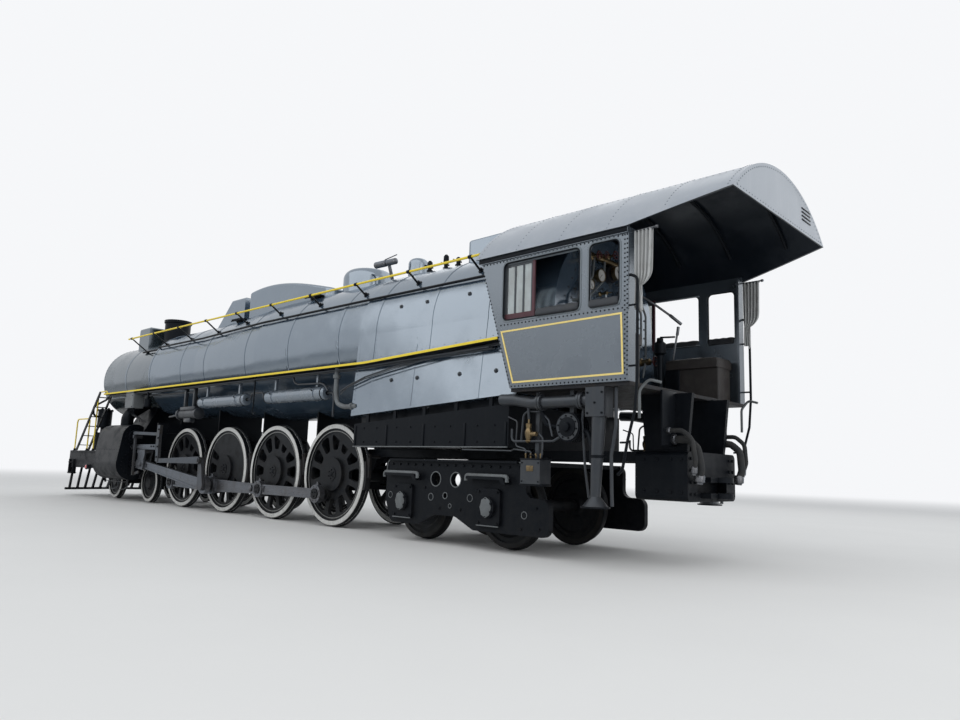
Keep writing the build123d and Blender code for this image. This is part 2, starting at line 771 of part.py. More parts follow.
def flute_between(y, thickness, start, end, start_depth, end_depth, start_margin, end_margin):
    """Sunk panel in the outer face of a bar between two pins, its ends held off by the margins."""
    along = Vector(end[0] - start[0], end[1] - start[1])
    side = 1 if y > 0 else -1
    outer = y + side * thickness / 2
    top_y = outer if side == 1 else outer + ROD_FLUTE_DEPTH
    with BuildSketch(side_plane(top_y, start[0], start[1], degrees(atan2(along.Y, along.X)))) as outline:
        with BuildLine():
            Polyline(
                (start_margin, ROD_FLUTE_EDGE - start_depth / 2),
                (along.length - end_margin, ROD_FLUTE_EDGE - end_depth / 2),
                (along.length - end_margin, end_depth / 2 - ROD_FLUTE_EDGE),
                (start_margin, start_depth / 2 - ROD_FLUTE_EDGE),
                close=True,
            )
        make_face()
        fillet(outline.vertices(), ROD_FLUTE_EDGE)
    extrude(outline.sketch, amount=ROD_FLUTE_DEPTH, mode=Mode.SUBTRACT)


def round_bar(y, thickness, place, radius, mode=Mode.ADD):
    """Short round bar across the engine in the open part, at place (x, z)."""
    with BuildSketch(side_plane(y + thickness / 2, place[0], place[1])) as outline:
        Circle(radius)
    extrude(outline.sketch, amount=thickness, mode=mode)


# Side rods: four eyes round the crankpins, joined by fluted bars that are deepest at the main pin
for side, side_name in SIDES.items():
    pin_x, pin_z = crank_point(side)
    rod_z = DRIVER_AXLE_Z + pin_z
    eye_face = side * SIDE_ROD_Y + ROD_EYE_THICKNESS / 2
    eyes = []
    for number, axle_x in enumerate(DRIVER_X, start=1):
        radius = MAIN_PIN_RADIUS if number == MAIN_DRIVER else PIN_RADIUS
        eyes.append((axle_x + pin_x, radius))
    with BuildPart() as side_rod:
        for front in range(DRIVER_COUNT - 1):
            start, start_radius = eyes[front]
            end, end_radius = eyes[front + 1]
            depths = SIDE_ROD_DEPTHS[front:front + 2]
            margins = [radius + ROD_EYE_WALL + ROD_FLUTE_MARGIN for radius in (start_radius, end_radius)]
            bar_between(side * SIDE_ROD_Y, SIDE_ROD_THICKNESS, (start, rod_z), (end, rod_z), *depths)
            flute_between(side * SIDE_ROD_Y, SIDE_ROD_THICKNESS, (start, rod_z), (end, rod_z), *depths,
                          *margins)
        for eye_x, radius in eyes:
            with BuildSketch(side_plane(eye_face, eye_x, rod_z)):
                Circle(radius + ROD_EYE_WALL)
            extrude(amount=ROD_EYE_THICKNESS)
        for eye_x, radius in eyes:
            with BuildSketch(side_plane(eye_face, eye_x, rod_z)):
                Circle(radius + PIN_CLEARANCE)
            extrude(amount=ROD_EYE_THICKNESS, mode=Mode.SUBTRACT)
    side_rod.part.label = f"side_rod_{side_name}"
    export_step(side_rod.part, f"parts/side_rod_{side_name}.step")

main_pins = {}
wrists = {}
eccentric_pins = {}
for side in SIDES:
    pin_x, pin_z = crank_point(side)
    main_pins[side] = (MAIN_X + pin_x, DRIVER_AXLE_Z + pin_z)
    drop = CYLINDER_Z - main_pins[side][1]
    wrists[side] = (main_pins[side][0] + sqrt(MAIN_ROD_LENGTH**2 - drop**2), CYLINDER_Z)
    ecc_x, ecc_z = crank_point(side, ECCENTRIC_LEAD, ECCENTRIC_RADIUS)
    eccentric_pins[side] = (MAIN_X + ecc_x, DRIVER_AXLE_Z + ecc_z)

# Main rods, from the wrist pins to the outer journals of the main crankpins
with BuildPart() as main_rods:
    for side in SIDES:
        bar_between(side * MAIN_ROD_Y, MAIN_ROD_THICKNESS, wrists[side], main_pins[side],
                    MAIN_ROD_FRONT_DEPTH, MAIN_ROD_REAR_DEPTH)
        round_bar(side * MAIN_ROD_Y, MAIN_ROD_THICKNESS, wrists[side], WRIST_PIN_RADIUS + ROD_EYE_WALL)
        round_bar(side * MAIN_ROD_Y, MAIN_ROD_THICKNESS, main_pins[side], MAIN_PIN_RADIUS + ROD_EYE_WALL)
        flute_between(side * MAIN_ROD_Y, MAIN_ROD_THICKNESS, wrists[side], main_pins[side],
                      MAIN_ROD_FRONT_DEPTH, MAIN_ROD_REAR_DEPTH,
                      WRIST_PIN_RADIUS + 2 * ROD_EYE_WALL, MAIN_PIN_RADIUS + 2 * ROD_EYE_WALL)
    for side in SIDES:
        round_bar(side * MAIN_ROD_Y, MAIN_ROD_THICKNESS, wrists[side],
                  WRIST_PIN_RADIUS + PIN_CLEARANCE, Mode.SUBTRACT)
        round_bar(side * MAIN_ROD_Y, MAIN_ROD_THICKNESS, main_pins[side],
                  MAIN_PIN_RADIUS + PIN_CLEARANCE, Mode.SUBTRACT)
main_rods.part.label = "main_rods"
export_step(main_rods.part, "parts/main_rods.step")

# Crossheads with their wrist pins and piston rods
slipper_z = GUIDE_Z + GUIDE_DEPTH / 2
with BuildPart() as crossheads:
    for side in SIDES:
        wrist_x, wrist_z = wrists[side]
        cheek = MAIN_ROD_THICKNESS / 2 + CROSSHEAD_CHEEK_GAP
        cheek_thickness = (CROSSHEAD_WIDTH - 2 * cheek) / 2
        for cheek_y in (cheek + cheek_thickness / 2, -cheek - cheek_thickness / 2):
            with BuildSketch(side_plane(side * MAIN_ROD_Y + cheek_y + cheek_thickness / 2, wrist_x)):
                with BuildLine():
                    Polyline(
                        (-CROSSHEAD_HALF_LENGTH, slipper_z - GUIDE_DEPTH / 2 - SLIPPER_LAP),
                        (-CROSSHEAD_CHEEK_FOOT, wrist_z - CROSSHEAD_CHEEK_FOOT),
                        (CROSSHEAD_CHEEK_FOOT, wrist_z - CROSSHEAD_CHEEK_FOOT),
                        (CROSSHEAD_HALF_LENGTH, slipper_z - GUIDE_DEPTH / 2 - SLIPPER_LAP),
                        close=True,
                    )
                make_face()
            extrude(amount=cheek_thickness)
        slipper_top = slipper_z - GUIDE_DEPTH / 2 - SLIPPER_GAP
        with Locations((wrist_x, side * MAIN_ROD_Y, slipper_top - SLIPPER_THICKNESS / 2)):
            Box(2 * CROSSHEAD_HALF_LENGTH, CROSSHEAD_WIDTH + SLIPPER_EXTRA_WIDTH, SLIPPER_THICKNESS)
        block_x = wrist_x + WRIST_PIN_RADIUS + ROD_EYE_WALL + CROSSHEAD_GAP + CROSSHEAD_BLOCK / 2
        with Locations((block_x, side * MAIN_ROD_Y, wrist_z)):
            Box(CROSSHEAD_BLOCK, CROSSHEAD_WIDTH, CROSSHEAD_BLOCK_HEIGHT)
        round_bar(side * MAIN_ROD_Y, CROSSHEAD_WIDTH + WRIST_PIN_EXTRA, wrists[side], WRIST_PIN_RADIUS)
        rod_end = CYLINDER_X - CASING_HALF_LENGTH - GLAND_LENGTH
        with BuildSketch(cross_plane(block_x, side * MAIN_ROD_Y, wrist_z)):
            Circle(PISTON_ROD_RADIUS)
        extrude(amount=rod_end - block_x)
crossheads.part.label = "crossheads"
export_step(crossheads.part, "parts/crossheads.step")

# Guides over the crossheads, from the cylinders back to the yoke
guide_front_x = CYLINDER_X - CASING_HALF_LENGTH
guide_rear_x = YOKE_X + YOKE_THICKNESS
with BuildPart() as guides:
    guide_middle = (guide_front_x + guide_rear_x) / 2
    for side in SIDES:
        with Locations((guide_middle, side * MAIN_ROD_Y, slipper_z + GUIDE_CLEARANCE)):
            Box(guide_front_x - guide_rear_x, GUIDE_WIDTH, GUIDE_DEPTH)
            Box(guide_front_x - guide_rear_x, GUIDE_WIDTH + 2 * GUIDE_FLANGE, GUIDE_DEPTH / 3)
guides.part.label = "guides"
export_step(guides.part, "parts/guides.step")

# Yoke behind the first drivers: a cross beam that stands on the frame and carries the guides' rear ends
with BuildPart() as guide_yoke:
    half_yoke = MAIN_ROD_Y + GUIDE_WIDTH / 2 + YOKE_END
    with BuildSketch(cross_plane(YOKE_X)):
        with Locations((0, YOKE_BOTTOM + YOKE_DEPTH / 2)):
            Rectangle(2 * half_yoke, YOKE_DEPTH)
        with Locations((0, (FRAME_TOP + YOKE_BOTTOM) / 2)):
            Rectangle(2 * FRAME_OUTER, YOKE_BOTTOM - FRAME_TOP)
        for side in SIDES:
            arm_y = side * (half_yoke - GUIDE_WIDTH / 2 - YOKE_ARM_MARGIN)
            with Locations((arm_y, (GUIDE_Z + YOKE_BOTTOM) / 2)):
                Rectangle(GUIDE_WIDTH + 2 * YOKE_ARM_MARGIN, YOKE_BOTTOM - GUIDE_Z)
    extrude(amount=YOKE_THICKNESS)
guide_yoke.part.label = "guide_yoke"
export_step(guide_yoke.part, "parts/guide_yoke.step")

# Valve gear: return crank, eccentric rod, link, radius rod, combination lever and union link
crank_y = MAIN_ROD_Y + MAIN_ROD_THICKNESS / 2 + GEAR_GAP + RETURN_CRANK_THICKNESS / 2
ecc_rod_y = crank_y + RETURN_CRANK_THICKNESS / 2 + GEAR_GAP + ECCENTRIC_ROD_THICKNESS / 2
pin_low = crank_y - RETURN_CRANK_THICKNESS / 2
pin_high = ecc_rod_y + ECCENTRIC_ROD_THICKNESS / 2 + ECCENTRIC_PIN_PROUD
stud_y = SIDE_ROD_Y + ROD_EYE_THICKNESS / 2 + PIN_CAP_THICKNESS + GEAR_GAP
with BuildPart() as valve_gear:
    for side in SIDES:
        y_crank = side * crank_y
        y_rod = side * ecc_rod_y
        with BuildSketch(side_plane(side * stud_y, main_pins[side][0], main_pins[side][1])):
            Circle(MAIN_PIN_RADIUS)
        extrude(amount=-side * (crank_y - stud_y))
        bar_between(y_crank, RETURN_CRANK_THICKNESS, main_pins[side], eccentric_pins[side],
                    RETURN_CRANK_ROOT_DEPTH, RETURN_CRANK_TIP_DEPTH)
        round_bar(side * (pin_low + pin_high) / 2, pin_high - pin_low, eccentric_pins[side],
                  ECCENTRIC_PIN_RADIUS)
        bar_between(y_rod, ECCENTRIC_ROD_THICKNESS, eccentric_pins[side], (LINK_X, LINK_FOOT_Z),
                    ECCENTRIC_ROD_REAR_DEPTH, ECCENTRIC_ROD_DEPTH)
        link_thickness = ECCENTRIC_ROD_THICKNESS + LINK_EXTRA_THICKNESS
        with BuildSketch(side_plane(y_rod + link_thickness / 2, LINK_X, LINK_Z)):
            with BuildLine():
                Polyline(LINK_OUTLINE, close=True)
            make_face()
        extrude(amount=link_thickness)
        lever_x = wrists[side][0] + CROSSHEAD_HALF_LENGTH + LEVER_LEAD
        lever_top = (lever_x, CHEST_Z + RADIUS_ROD_RISE)
        lever_foot = (lever_x - LEVER_LEAN, CYLINDER_Z - LEVER_DROP)
        bar_between(y_rod, ECCENTRIC_ROD_THICKNESS, (LINK_X, LINK_Z + RADIUS_ROD_RISE), lever_top,
                    RADIUS_ROD_DEPTH, RADIUS_ROD_DEPTH)
        bar_between(side * (ecc_rod_y - LEVER_SETBACK), LEVER_THICKNESS, lever_top, lever_foot,
                    LEVER_TOP_DEPTH, LEVER_FOOT_DEPTH)
        bar_between(side * (ecc_rod_y - UNION_SETBACK), UNION_THICKNESS, lever_foot,
                    (wrists[side][0] + UNION_LEAD, CYLINDER_Z - UNION_DROP), UNION_DEPTH, UNION_DEPTH)
        stem_end = CYLINDER_X - CASING_HALF_LENGTH - CHEST_HEAD_LENGTH
        stem_start = lever_x - VALVE_STEM_LAP
        with BuildSketch(cross_plane(stem_start, side * CYLINDER_Y, CHEST_Z)):
            Circle(VALVE_STEM_RADIUS)
        extrude(amount=stem_end - stem_start)
        with Locations((lever_x, side * (CYLINDER_Y + ecc_rod_y) / 2, CHEST_Z)):
            Box(VALVE_BLOCK_LENGTH, ecc_rod_y - CYLINDER_Y + VALVE_BLOCK_EXTRA, VALVE_BLOCK_HEIGHT)
valve_gear.part.label = "valve_gear"
export_step(valve_gear.part, "parts/valve_gear.step")

# Boiler jacket courses, turned about the boiler's axis
boiler_axis = Axis((0, 0, BOILER_Z), (1, 0, 0))
with BuildPart() as boiler_barrel:
    with BuildSketch(side_plane(0, 0, BOILER_Z)):
        with BuildLine():
            Polyline(
                (SMOKEBOX_REAR_X, 0),
                (SMOKEBOX_REAR_X, FIRST_COURSE_RADIUS),
                (TAPER_FRONT_X, FIRST_COURSE_RADIUS),
                (TAPER_REAR_X, SECOND_COURSE_RADIUS),
                (FIREBOX_FRONT_X, SECOND_COURSE_RADIUS),
                (FIREBOX_FRONT_X, 0),
                close=True,
            )
        make_face()
    revolve(axis=boiler_axis)
boiler_barrel.part.label = "boiler_barrel"
export_step(boiler_barrel.part, "parts/boiler_barrel.step")

# Smokebox: a drum open at both ends, holed under the stack
smokebox_bore = SMOKEBOX_RADIUS - SMOKEBOX_WALL
with BuildPart() as smokebox:
    with BuildSketch(side_plane(0, 0, BOILER_Z)):
        with BuildLine():
            Polyline(
                (SMOKEBOX_REAR_X, smokebox_bore),
                (SMOKEBOX_REAR_X, SMOKEBOX_RADIUS),
                (SMOKEBOX_FRONT_X - SMOKEBOX_WALL, SMOKEBOX_RADIUS),
                (SMOKEBOX_FRONT_X, smokebox_bore + SMOKEBOX_WALL / 3),
                (SMOKEBOX_FRONT_X, smokebox_bore),
                close=True,
            )
        make_face()
    revolve(axis=boiler_axis)
    with BuildSketch(Plane.XY.offset(BOILER_Z)):
        with Locations((CYLINDER_X, 0)):
            Circle(STACK_BORE)
    extrude(amount=2 * SMOKEBOX_RADIUS, mode=Mode.SUBTRACT)
smokebox.part.label = "smokebox"
export_step(smokebox.part, "parts/smokebox.step")

# Smokebox front: a ring set in the drum, round the doorway
with BuildPart() as smokebox_front:
    with BuildSketch(cross_plane(SMOKEBOX_FRONT_X - SMOKEBOX_FRONT_THICKNESS, 0, BOILER_Z)):
        Circle(smokebox_bore)
        Circle(DOOR_OPENING_RADIUS, mode=Mode.SUBTRACT)
    extrude(amount=SMOKEBOX_FRONT_THICKNESS)
smokebox_front.part.label = "smokebox_front"
export_step(smokebox_front.part, "parts/smokebox_front.step")

# Smokebox door: a dished plate, seen from the side as two concentric arcs
door_face_x = SMOKEBOX_FRONT_X + DOOR_GAP
dish_radius = (DOOR_RADIUS**2 + DOOR_CROWN**2) / (2 * DOOR_CROWN)
dish_centre_x = door_face_x + DOOR_THICKNESS + DOOR_CROWN - dish_radius
inner_dish = dish_radius - DOOR_THICKNESS
with BuildPart() as smokebox_door:
    with BuildSketch(side_plane(0, dish_centre_x, BOILER_Z)):
        Circle(dish_radius)
        Circle(inner_dish, mode=Mode.SUBTRACT)
        with Locations((0, -dish_radius)):
            Rectangle(4 * dish_radius, 2 * dish_radius, mode=Mode.SUBTRACT)
        with Locations((0, DOOR_RADIUS)):
            Rectangle(4 * dish_radius, 2 * dish_radius, align=(Align.CENTER, Align.MIN), mode=Mode.SUBTRACT)
        with Locations((door_face_x - dish_centre_x, 0)):
            Rectangle(4 * dish_radius, 4 * dish_radius, align=(Align.MAX, Align.CENTER), mode=Mode.SUBTRACT)
    revolve(axis=boiler_axis)
smokebox_door.part.label = "smokebox_door"
export_step(smokebox_door.part, "parts/smokebox_door.step")

# Headlight on the middle of the door
headlight_x = door_face_x + DOOR_THICKNESS + DOOR_CROWN
with BuildPart() as headlight:
    start_x = headlight_x
    for radius, length in (
        (HEADLIGHT_STEM_RADIUS, HEADLIGHT_STEM_LENGTH),
        (HEADLIGHT_RADIUS, HEADLIGHT_LENGTH),
        (HEADLIGHT_RIM_RADIUS, HEADLIGHT_RIM_LENGTH),
    ):
        with BuildSketch(cross_plane(start_x, 0, BOILER_Z)):
            Circle(radius)
        extrude(amount=length)
        start_x += length
    with BuildSketch(cross_plane(start_x, 0, BOILER_Z)):
        Circle(HEADLIGHT_LENS_RADIUS)
    extrude(amount=-HEADLIGHT_RIM_LENGTH, mode=Mode.SUBTRACT)
headlight.part.label = "headlight"
export_step(headlight.part, "parts/headlight.step")


def firebox_section(x, radius, half_width, bottom):
    """Firebox cross-section at x: a round top on sides that spread towards the grate."""
    with BuildSketch(cross_plane(x)) as section:
        with BuildLine():
            Line((radius, BOILER_Z), (half_width, bottom))
            Line((half_width, bottom), (-half_width, bottom))
            Line((-half_width, bottom), (-radius, BOILER_Z))
            ThreePointArc((-radius, BOILER_Z), (0, BOILER_Z + radius), (radius, BOILER_Z))
        make_face()
    return section.sketch


with BuildPart() as firebox_casing:
    throat = firebox_section(
        FIREBOX_FRONT_X, SECOND_COURSE_RADIUS + FIREBOX_STEP, FIREBOX_HALF_WIDTH, FIREBOX_BOTTOM_FRONT
    )
    rear = firebox_section(FIREBOX_REAR_X, FIREBOX_REAR_RADIUS, FIREBOX_HALF_WIDTH, FIREBOX_BOTTOM_REAR)
    loft([throat, rear])
firebox_casing.part.label = "firebox_casing"
export_step(firebox_casing.part, "parts/firebox_casing.step")

# Cylinders: a casing round each cylinder and valve chest, the saddle between, and the steam pipes
with BuildPart() as cylinders:
    for half_length, inner_y in ((CYLINDER_HALF_LENGTH, 0), (CASING_HALF_LENGTH, CASING_INNER_Y)):
        with BuildSketch(cross_plane(CYLINDER_X - half_length)):
            with Locations((CYLINDER_Y, CYLINDER_Z)):
                Circle(CYLINDER_RADIUS)
            with Locations((CYLINDER_Y, CHEST_Z)):
                Circle(CHEST_RADIUS)
            make_hull()
            with Locations((inner_y - DRIVER_RADIUS, CHEST_Z)):
                Rectangle(2 * DRIVER_RADIUS, 4 * DRIVER_RADIUS, mode=Mode.SUBTRACT)
        extrude(amount=2 * half_length)
    head_half = CASING_HALF_LENGTH + CHEST_HEAD_LENGTH
    with BuildSketch(cross_plane(CYLINDER_X - head_half, CYLINDER_Y, CHEST_Z)):
        Circle(CHEST_HEAD_RADIUS)
    extrude(amount=2 * head_half)
    with BuildSketch(cross_plane(CYLINDER_X, CYLINDER_Y, CYLINDER_Z)):
        Circle(HEAD_RADIUS)
        with Locations((CASING_INNER_Y - CYLINDER_Y, 0)):
            Rectangle(2 * HEAD_RADIUS, 2 * HEAD_RADIUS, align=(Align.MAX, Align.CENTER), mode=Mode.SUBTRACT)
    extrude(amount=CASING_HALF_LENGTH + HEAD_THICKNESS)
    with BuildSketch(cross_plane(CYLINDER_X - CASING_HALF_LENGTH - GLAND_LENGTH, CYLINDER_Y, CYLINDER_Z)):
        Circle(GLAND_RADIUS)
    extrude(amount=GLAND_LENGTH)
    with BuildLine():
        pipe_path = FilletPolyline(
            (CYLINDER_X, CYLINDER_Y - STEAM_PIPE_INSET, CHEST_Z),
            (CYLINDER_X, CYLINDER_Y - STEAM_PIPE_INSET, CHEST_Z + STEAM_PIPE_RISE),
            (CYLINDER_X, SADDLE_HALF_WIDTH, BOILER_Z - STEAM_PIPE_TOP_DROP),
            radius=STEAM_PIPE_BEND,
        )
    with BuildSketch(Plane.XY.offset(CHEST_Z)):
        with Locations((CYLINDER_X, CYLINDER_Y - STEAM_PIPE_INSET)):
            Circle(STEAM_PIPE_RADIUS)
    sweep(path=pipe_path)
    mirror(about=Plane.XZ)
    with BuildSketch(cross_plane(CYLINDER_X - SADDLE_HALF_LENGTH)):
        with BuildLine():
            Polyline(
                (CYLINDER_Y - SADDLE_WAIST, CYLINDER_Z + SADDLE_FOOT_RISE),
                (CYLINDER_Y - SADDLE_WAIST, CHEST_Z + SADDLE_SHOULDER),
                (SADDLE_HALF_WIDTH, BOILER_Z - SMOKEBOX_RADIUS + SADDLE_RIM_LOW),
                (SADDLE_HALF_WIDTH, BOILER_Z - SMOKEBOX_RADIUS + SADDLE_RIM_HIGH),
                (-SADDLE_HALF_WIDTH, BOILER_Z - SMOKEBOX_RADIUS + SADDLE_RIM_HIGH),
                (-SADDLE_HALF_WIDTH, BOILER_Z - SMOKEBOX_RADIUS + SADDLE_RIM_LOW),
                (-CYLINDER_Y + SADDLE_WAIST, CHEST_Z + SADDLE_SHOULDER),
                (-CYLINDER_Y + SADDLE_WAIST, CYLINDER_Z + SADDLE_FOOT_RISE),
                close=True,
            )
        make_face()
    extrude(amount=2 * SADDLE_HALF_LENGTH)
    with BuildSketch(cross_plane(CYLINDER_X - 2 * SADDLE_HALF_LENGTH, 0, BOILER_Z)):
        Circle(SMOKEBOX_RADIUS)
    extrude(amount=4 * SADDLE_HALF_LENGTH, mode=Mode.SUBTRACT)
    # Room for the frame bars, which pass through the saddle
    for side in SIDES:
        bar_y = side * (FRAME_INNER + FRAME_OUTER) / 2
        with Locations((CYLINDER_X, bar_y, (FRONT_FRAME_BOTTOM + FRAME_TOP) / 2)):
            Box(4 * SADDLE_HALF_LENGTH, FRAME_OUTER - FRAME_INNER, FRAME_TOP - FRONT_FRAME_BOTTOM,
                mode=Mode.SUBTRACT)
cylinders.part.label = "cylinders"
export_step(cylinders.part, "parts/cylinders.step")

# Frame bars with pedestals for the driving boxes, cross ties and waist sheets under the boiler
step_front_x = DRIVER_X[0] + PEDESTAL_WIDTH / 2 + FRAME_STEP_FRONT
step_rear_x = DRIVER_X[-1] - PEDESTAL_WIDTH / 2 - FRAME_STEP_REAR
frame_front_x = DECK_FRONT_X - BEAM_THICKNESS
frame_rear_x = DRAG_BEAM_X
between_x = [x - DRIVER_SPACING / 2 for x in DRIVER_X[:-1]]
with BuildPart() as main_frame:
    for side in SIDES:
        face = FRAME_OUTER if side == 1 else -FRAME_INNER
        with BuildSketch(side_plane(face)):
            with BuildLine():
                Polyline(
                    (frame_rear_x, REAR_FRAME_BOTTOM),
                    (step_rear_x - FRAME_SLOPE_REAR, REAR_FRAME_BOTTOM),
                    (step_rear_x, FRAME_BOTTOM),
                    (step_front_x, FRAME_BOTTOM),
                    (step_front_x + FRAME_SLOPE_FRONT, FRONT_FRAME_BOTTOM),
                    (frame_front_x, FRONT_FRAME_BOTTOM),
                    (frame_front_x, DECK_TOP - DECK_THICKNESS),
                    (CYLINDER_X + SADDLE_HALF_LENGTH + FRAME_RAMP_FRONT, DECK_TOP - DECK_THICKNESS),
                    (CYLINDER_X + SADDLE_HALF_LENGTH, FRAME_TOP),
                    (step_rear_x, FRAME_TOP),
                    (step_rear_x - FRAME_RAMP_REAR, ASHPAN_BOTTOM - FRAME_PAN_GAP),
                    (frame_rear_x, ASHPAN_BOTTOM - FRAME_PAN_GAP),
                    close=True,
                )
            make_face()
            with Locations([(x, (PEDESTAL_TOP + PEDESTAL_BOTTOM) / 2) for x in DRIVER_X]):
                RectangleRounded(PEDESTAL_WIDTH, PEDESTAL_TOP - PEDESTAL_BOTTOM, PEDESTAL_FILLET,
                                 mode=Mode.SUBTRACT)
            with Locations([(x, FRAME_BOTTOM + FRAME_SLOT_RISE) for x in between_x]):
                SlotOverall(DRIVER_SPACING - PEDESTAL_WIDTH - 2 * FRAME_SLOT_MARGIN, FRAME_SLOT_HEIGHT,
                            mode=Mode.SUBTRACT)
        extrude(amount=FRAME_OUTER - FRAME_INNER)
    for tie_x in between_x + [step_front_x + TIE_FRONT, step_rear_x - TIE_REAR]:
        with Locations((tie_x, 0, FRAME_TOP - TIE_DROP - TIE_HEIGHT / 2)):
            Box(TIE_THICKNESS, 2 * FRAME_INNER, TIE_HEIGHT)
    for waist_x in between_x + [step_front_x + TIE_FRONT]:
        with Locations((waist_x, 0, (FRAME_TOP + BOILER_Z - WAIST_TOP_DROP) / 2)):
            Box(WAIST_THICKNESS, 2 * FRAME_OUTER, BOILER_Z - FRAME_TOP - WAIST_TOP_DROP)
    add(boiler_barrel.part, mode=Mode.SUBTRACT)
main_frame.part.label = "main_frame"
export_step(main_frame.part, "parts/main_frame.step")

# Spring rigging: a leaf spring over each driving box, hung from the frame at its ends
spring_y = (FRAME_INNER + FRAME_OUTER) / 2
with BuildPart() as spring_rigging:
    for side in SIDES:
        face = side * spring_y + SPRING_WIDTH / 2
        for axle_x in DRIVER_X:
            with BuildSketch(side_plane(face, axle_x, SPRING_TOP)) as leaves:
                with BuildLine():
                    Polyline(
                        (-SPRING_LENGTH / 2, -SPRING_CAMBER),
                        (-SPRING_LENGTH / 2, -SPRING_CAMBER - SPRING_TIP),
                        (-SPRING_BUCKLE, -SPRING_DEPTH),
                        (SPRING_BUCKLE, -SPRING_DEPTH),
                        (SPRING_LENGTH / 2, -SPRING_CAMBER - SPRING_TIP),
                        (SPRING_LENGTH / 2, -SPRING_CAMBER),
                    )
                    ThreePointArc(
                        (SPRING_LENGTH / 2, -SPRING_CAMBER),
                        (0, 0),
                        (-SPRING_LENGTH / 2, -SPRING_CAMBER),
                    )
                make_face()
            extrude(leaves.sketch, amount=SPRING_WIDTH)
            with Locations((axle_x, side * spring_y, (SPRING_TOP + SPRING_BUCKLE_LAP + FRAME_TOP) / 2)):
                Box(SPRING_BUCKLE, SPRING_WIDTH, SPRING_TOP + SPRING_BUCKLE_LAP - FRAME_TOP)
            for end in (-1, 1):
                hanger_x = axle_x + end * (SPRING_LENGTH / 2 - SPRING_HANGER)
                with Locations((hanger_x, side * spring_y, (SPRING_TOP - SPRING_CAMBER + FRAME_TOP) / 2)):
                    Box(SPRING_HANGER, SPRING_HANGER, SPRING_TOP - SPRING_CAMBER - FRAME_TOP)
spring_rigging.part.label = "spring_rigging"
export_step(spring_rigging.part, "parts/spring_rigging.step")

# Driving boxes: one in each pedestal, bored to clear the axle
with BuildPart() as driving_boxes:
    for axle_x in DRIVER_X:
        for side in SIDES:
            box_y = side * (FRAME_INNER + FRAME_OUTER) / 2
            with Locations((axle_x, box_y, DRIVER_AXLE_Z + DRIVING_BOX_RISE)):
                Box(PEDESTAL_WIDTH, FRAME_OUTER - FRAME_INNER + 2 * DRIVING_BOX_PROUD, DRIVING_BOX_WIDTH)
        with BuildSketch(side_plane(2 * FRAME_OUTER, axle_x, DRIVER_AXLE_Z)):
            Circle(DRIVER_AXLE_RADIUS + BOX_BORE_CLEARANCE)
        extrude(amount=4 * FRAME_OUTER, mode=Mode.SUBTRACT)
driving_boxes.part.label = "driving_boxes"
export_step(driving_boxes.part, "parts/driving_boxes.step")

# Brake shoes behind the driving wheels, outside their flanges, on hangers pinned to the frame
shoe_inner = DRIVER_RADIUS + SHOE_GAP
shoe_y = WHEEL_BACK_Y + FLANGE_WIDTH + SHOE_GAP
with BuildPart() as brake_shoes:
    for axle_x in DRIVER_X:
        hanger_x = axle_x - HANGER_SETBACK
        for side in SIDES:
            face = shoe_y + SHOE_WIDTH if side == 1 else -shoe_y
            with BuildSketch(side_plane(face, axle_x, DRIVER_AXLE_Z)):
                Circle(shoe_inner + SHOE_THICKNESS)
                Circle(shoe_inner, mode=Mode.SUBTRACT)
                with Locations((0, SHOE_REACH + DRIVER_RADIUS), (0, -SHOE_REACH - DRIVER_RADIUS)):
                    Rectangle(3 * DRIVER_RADIUS, 2 * DRIVER_RADIUS, mode=Mode.SUBTRACT)
                with Locations((DRIVER_RADIUS, 0)):
                    Rectangle(2 * DRIVER_RADIUS, 2 * DRIVER_RADIUS, mode=Mode.SUBTRACT)
            extrude(amount=SHOE_WIDTH)
            bar_between(side * (shoe_y + SHOE_WIDTH / 2), SHOE_WIDTH / 2, (hanger_x, HANGER_Z),
                        (hanger_x, DRIVER_AXLE_Z), HANGER_WIDTH, HANGER_WIDTH)
            pin_length = shoe_y + SHOE_WIDTH - FRAME_OUTER
            round_bar(side * (FRAME_OUTER + pin_length / 2), pin_length, (hanger_x, HANGER_Z),
                      HANGER_PIN_RADIUS)
brake_shoes.part.label = "brake_shoes"
export_step(brake_shoes.part, "parts/brake_shoes.step")

# Stack
stack_foot = BOILER_Z + sqrt(SMOKEBOX_RADIUS**2 - (STACK_RADIUS + STACK_FLARE)**2)
with BuildPart() as stack:
    with BuildSketch(side_plane(0, CYLINDER_X)):
        with BuildLine():
            Polyline(
                (STACK_BORE, stack_foot),
                (STACK_RADIUS + STACK_FLARE, stack_foot),
                (STACK_RADIUS, stack_foot + STACK_FLARE_HEIGHT),
                (STACK_RADIUS, STACK_TOP - STACK_RIM_DEPTH - STACK_RIM_SLOPE),
                (STACK_RADIUS + STACK_RIM, STACK_TOP - STACK_RIM_DEPTH),
                (STACK_RADIUS + STACK_RIM, STACK_TOP),
                (STACK_BORE, STACK_TOP),
                close=True,
            )
        make_face()
    revolve(axis=Axis((CYLINDER_X, 0, 0), (0, 0, 1)))
    with BuildSketch(Plane.XY.offset(BOILER_Z)):
        with Locations((CYLINDER_X, 0)):
            Circle(STACK_RADIUS + STACK_FLARE)
            Circle(STACK_BORE, mode=Mode.SUBTRACT)
    extrude(amount=stack_foot - BOILER_Z + 1)
    with BuildSketch(cross_plane(SMOKEBOX_REAR_X, 0, BOILER_Z)):
        Circle(SMOKEBOX_RADIUS)
    extrude(amount=SMOKEBOX_LENGTH, mode=Mode.SUBTRACT)
stack.part.label = "stack"
export_step(stack.part, "parts/stack.step")

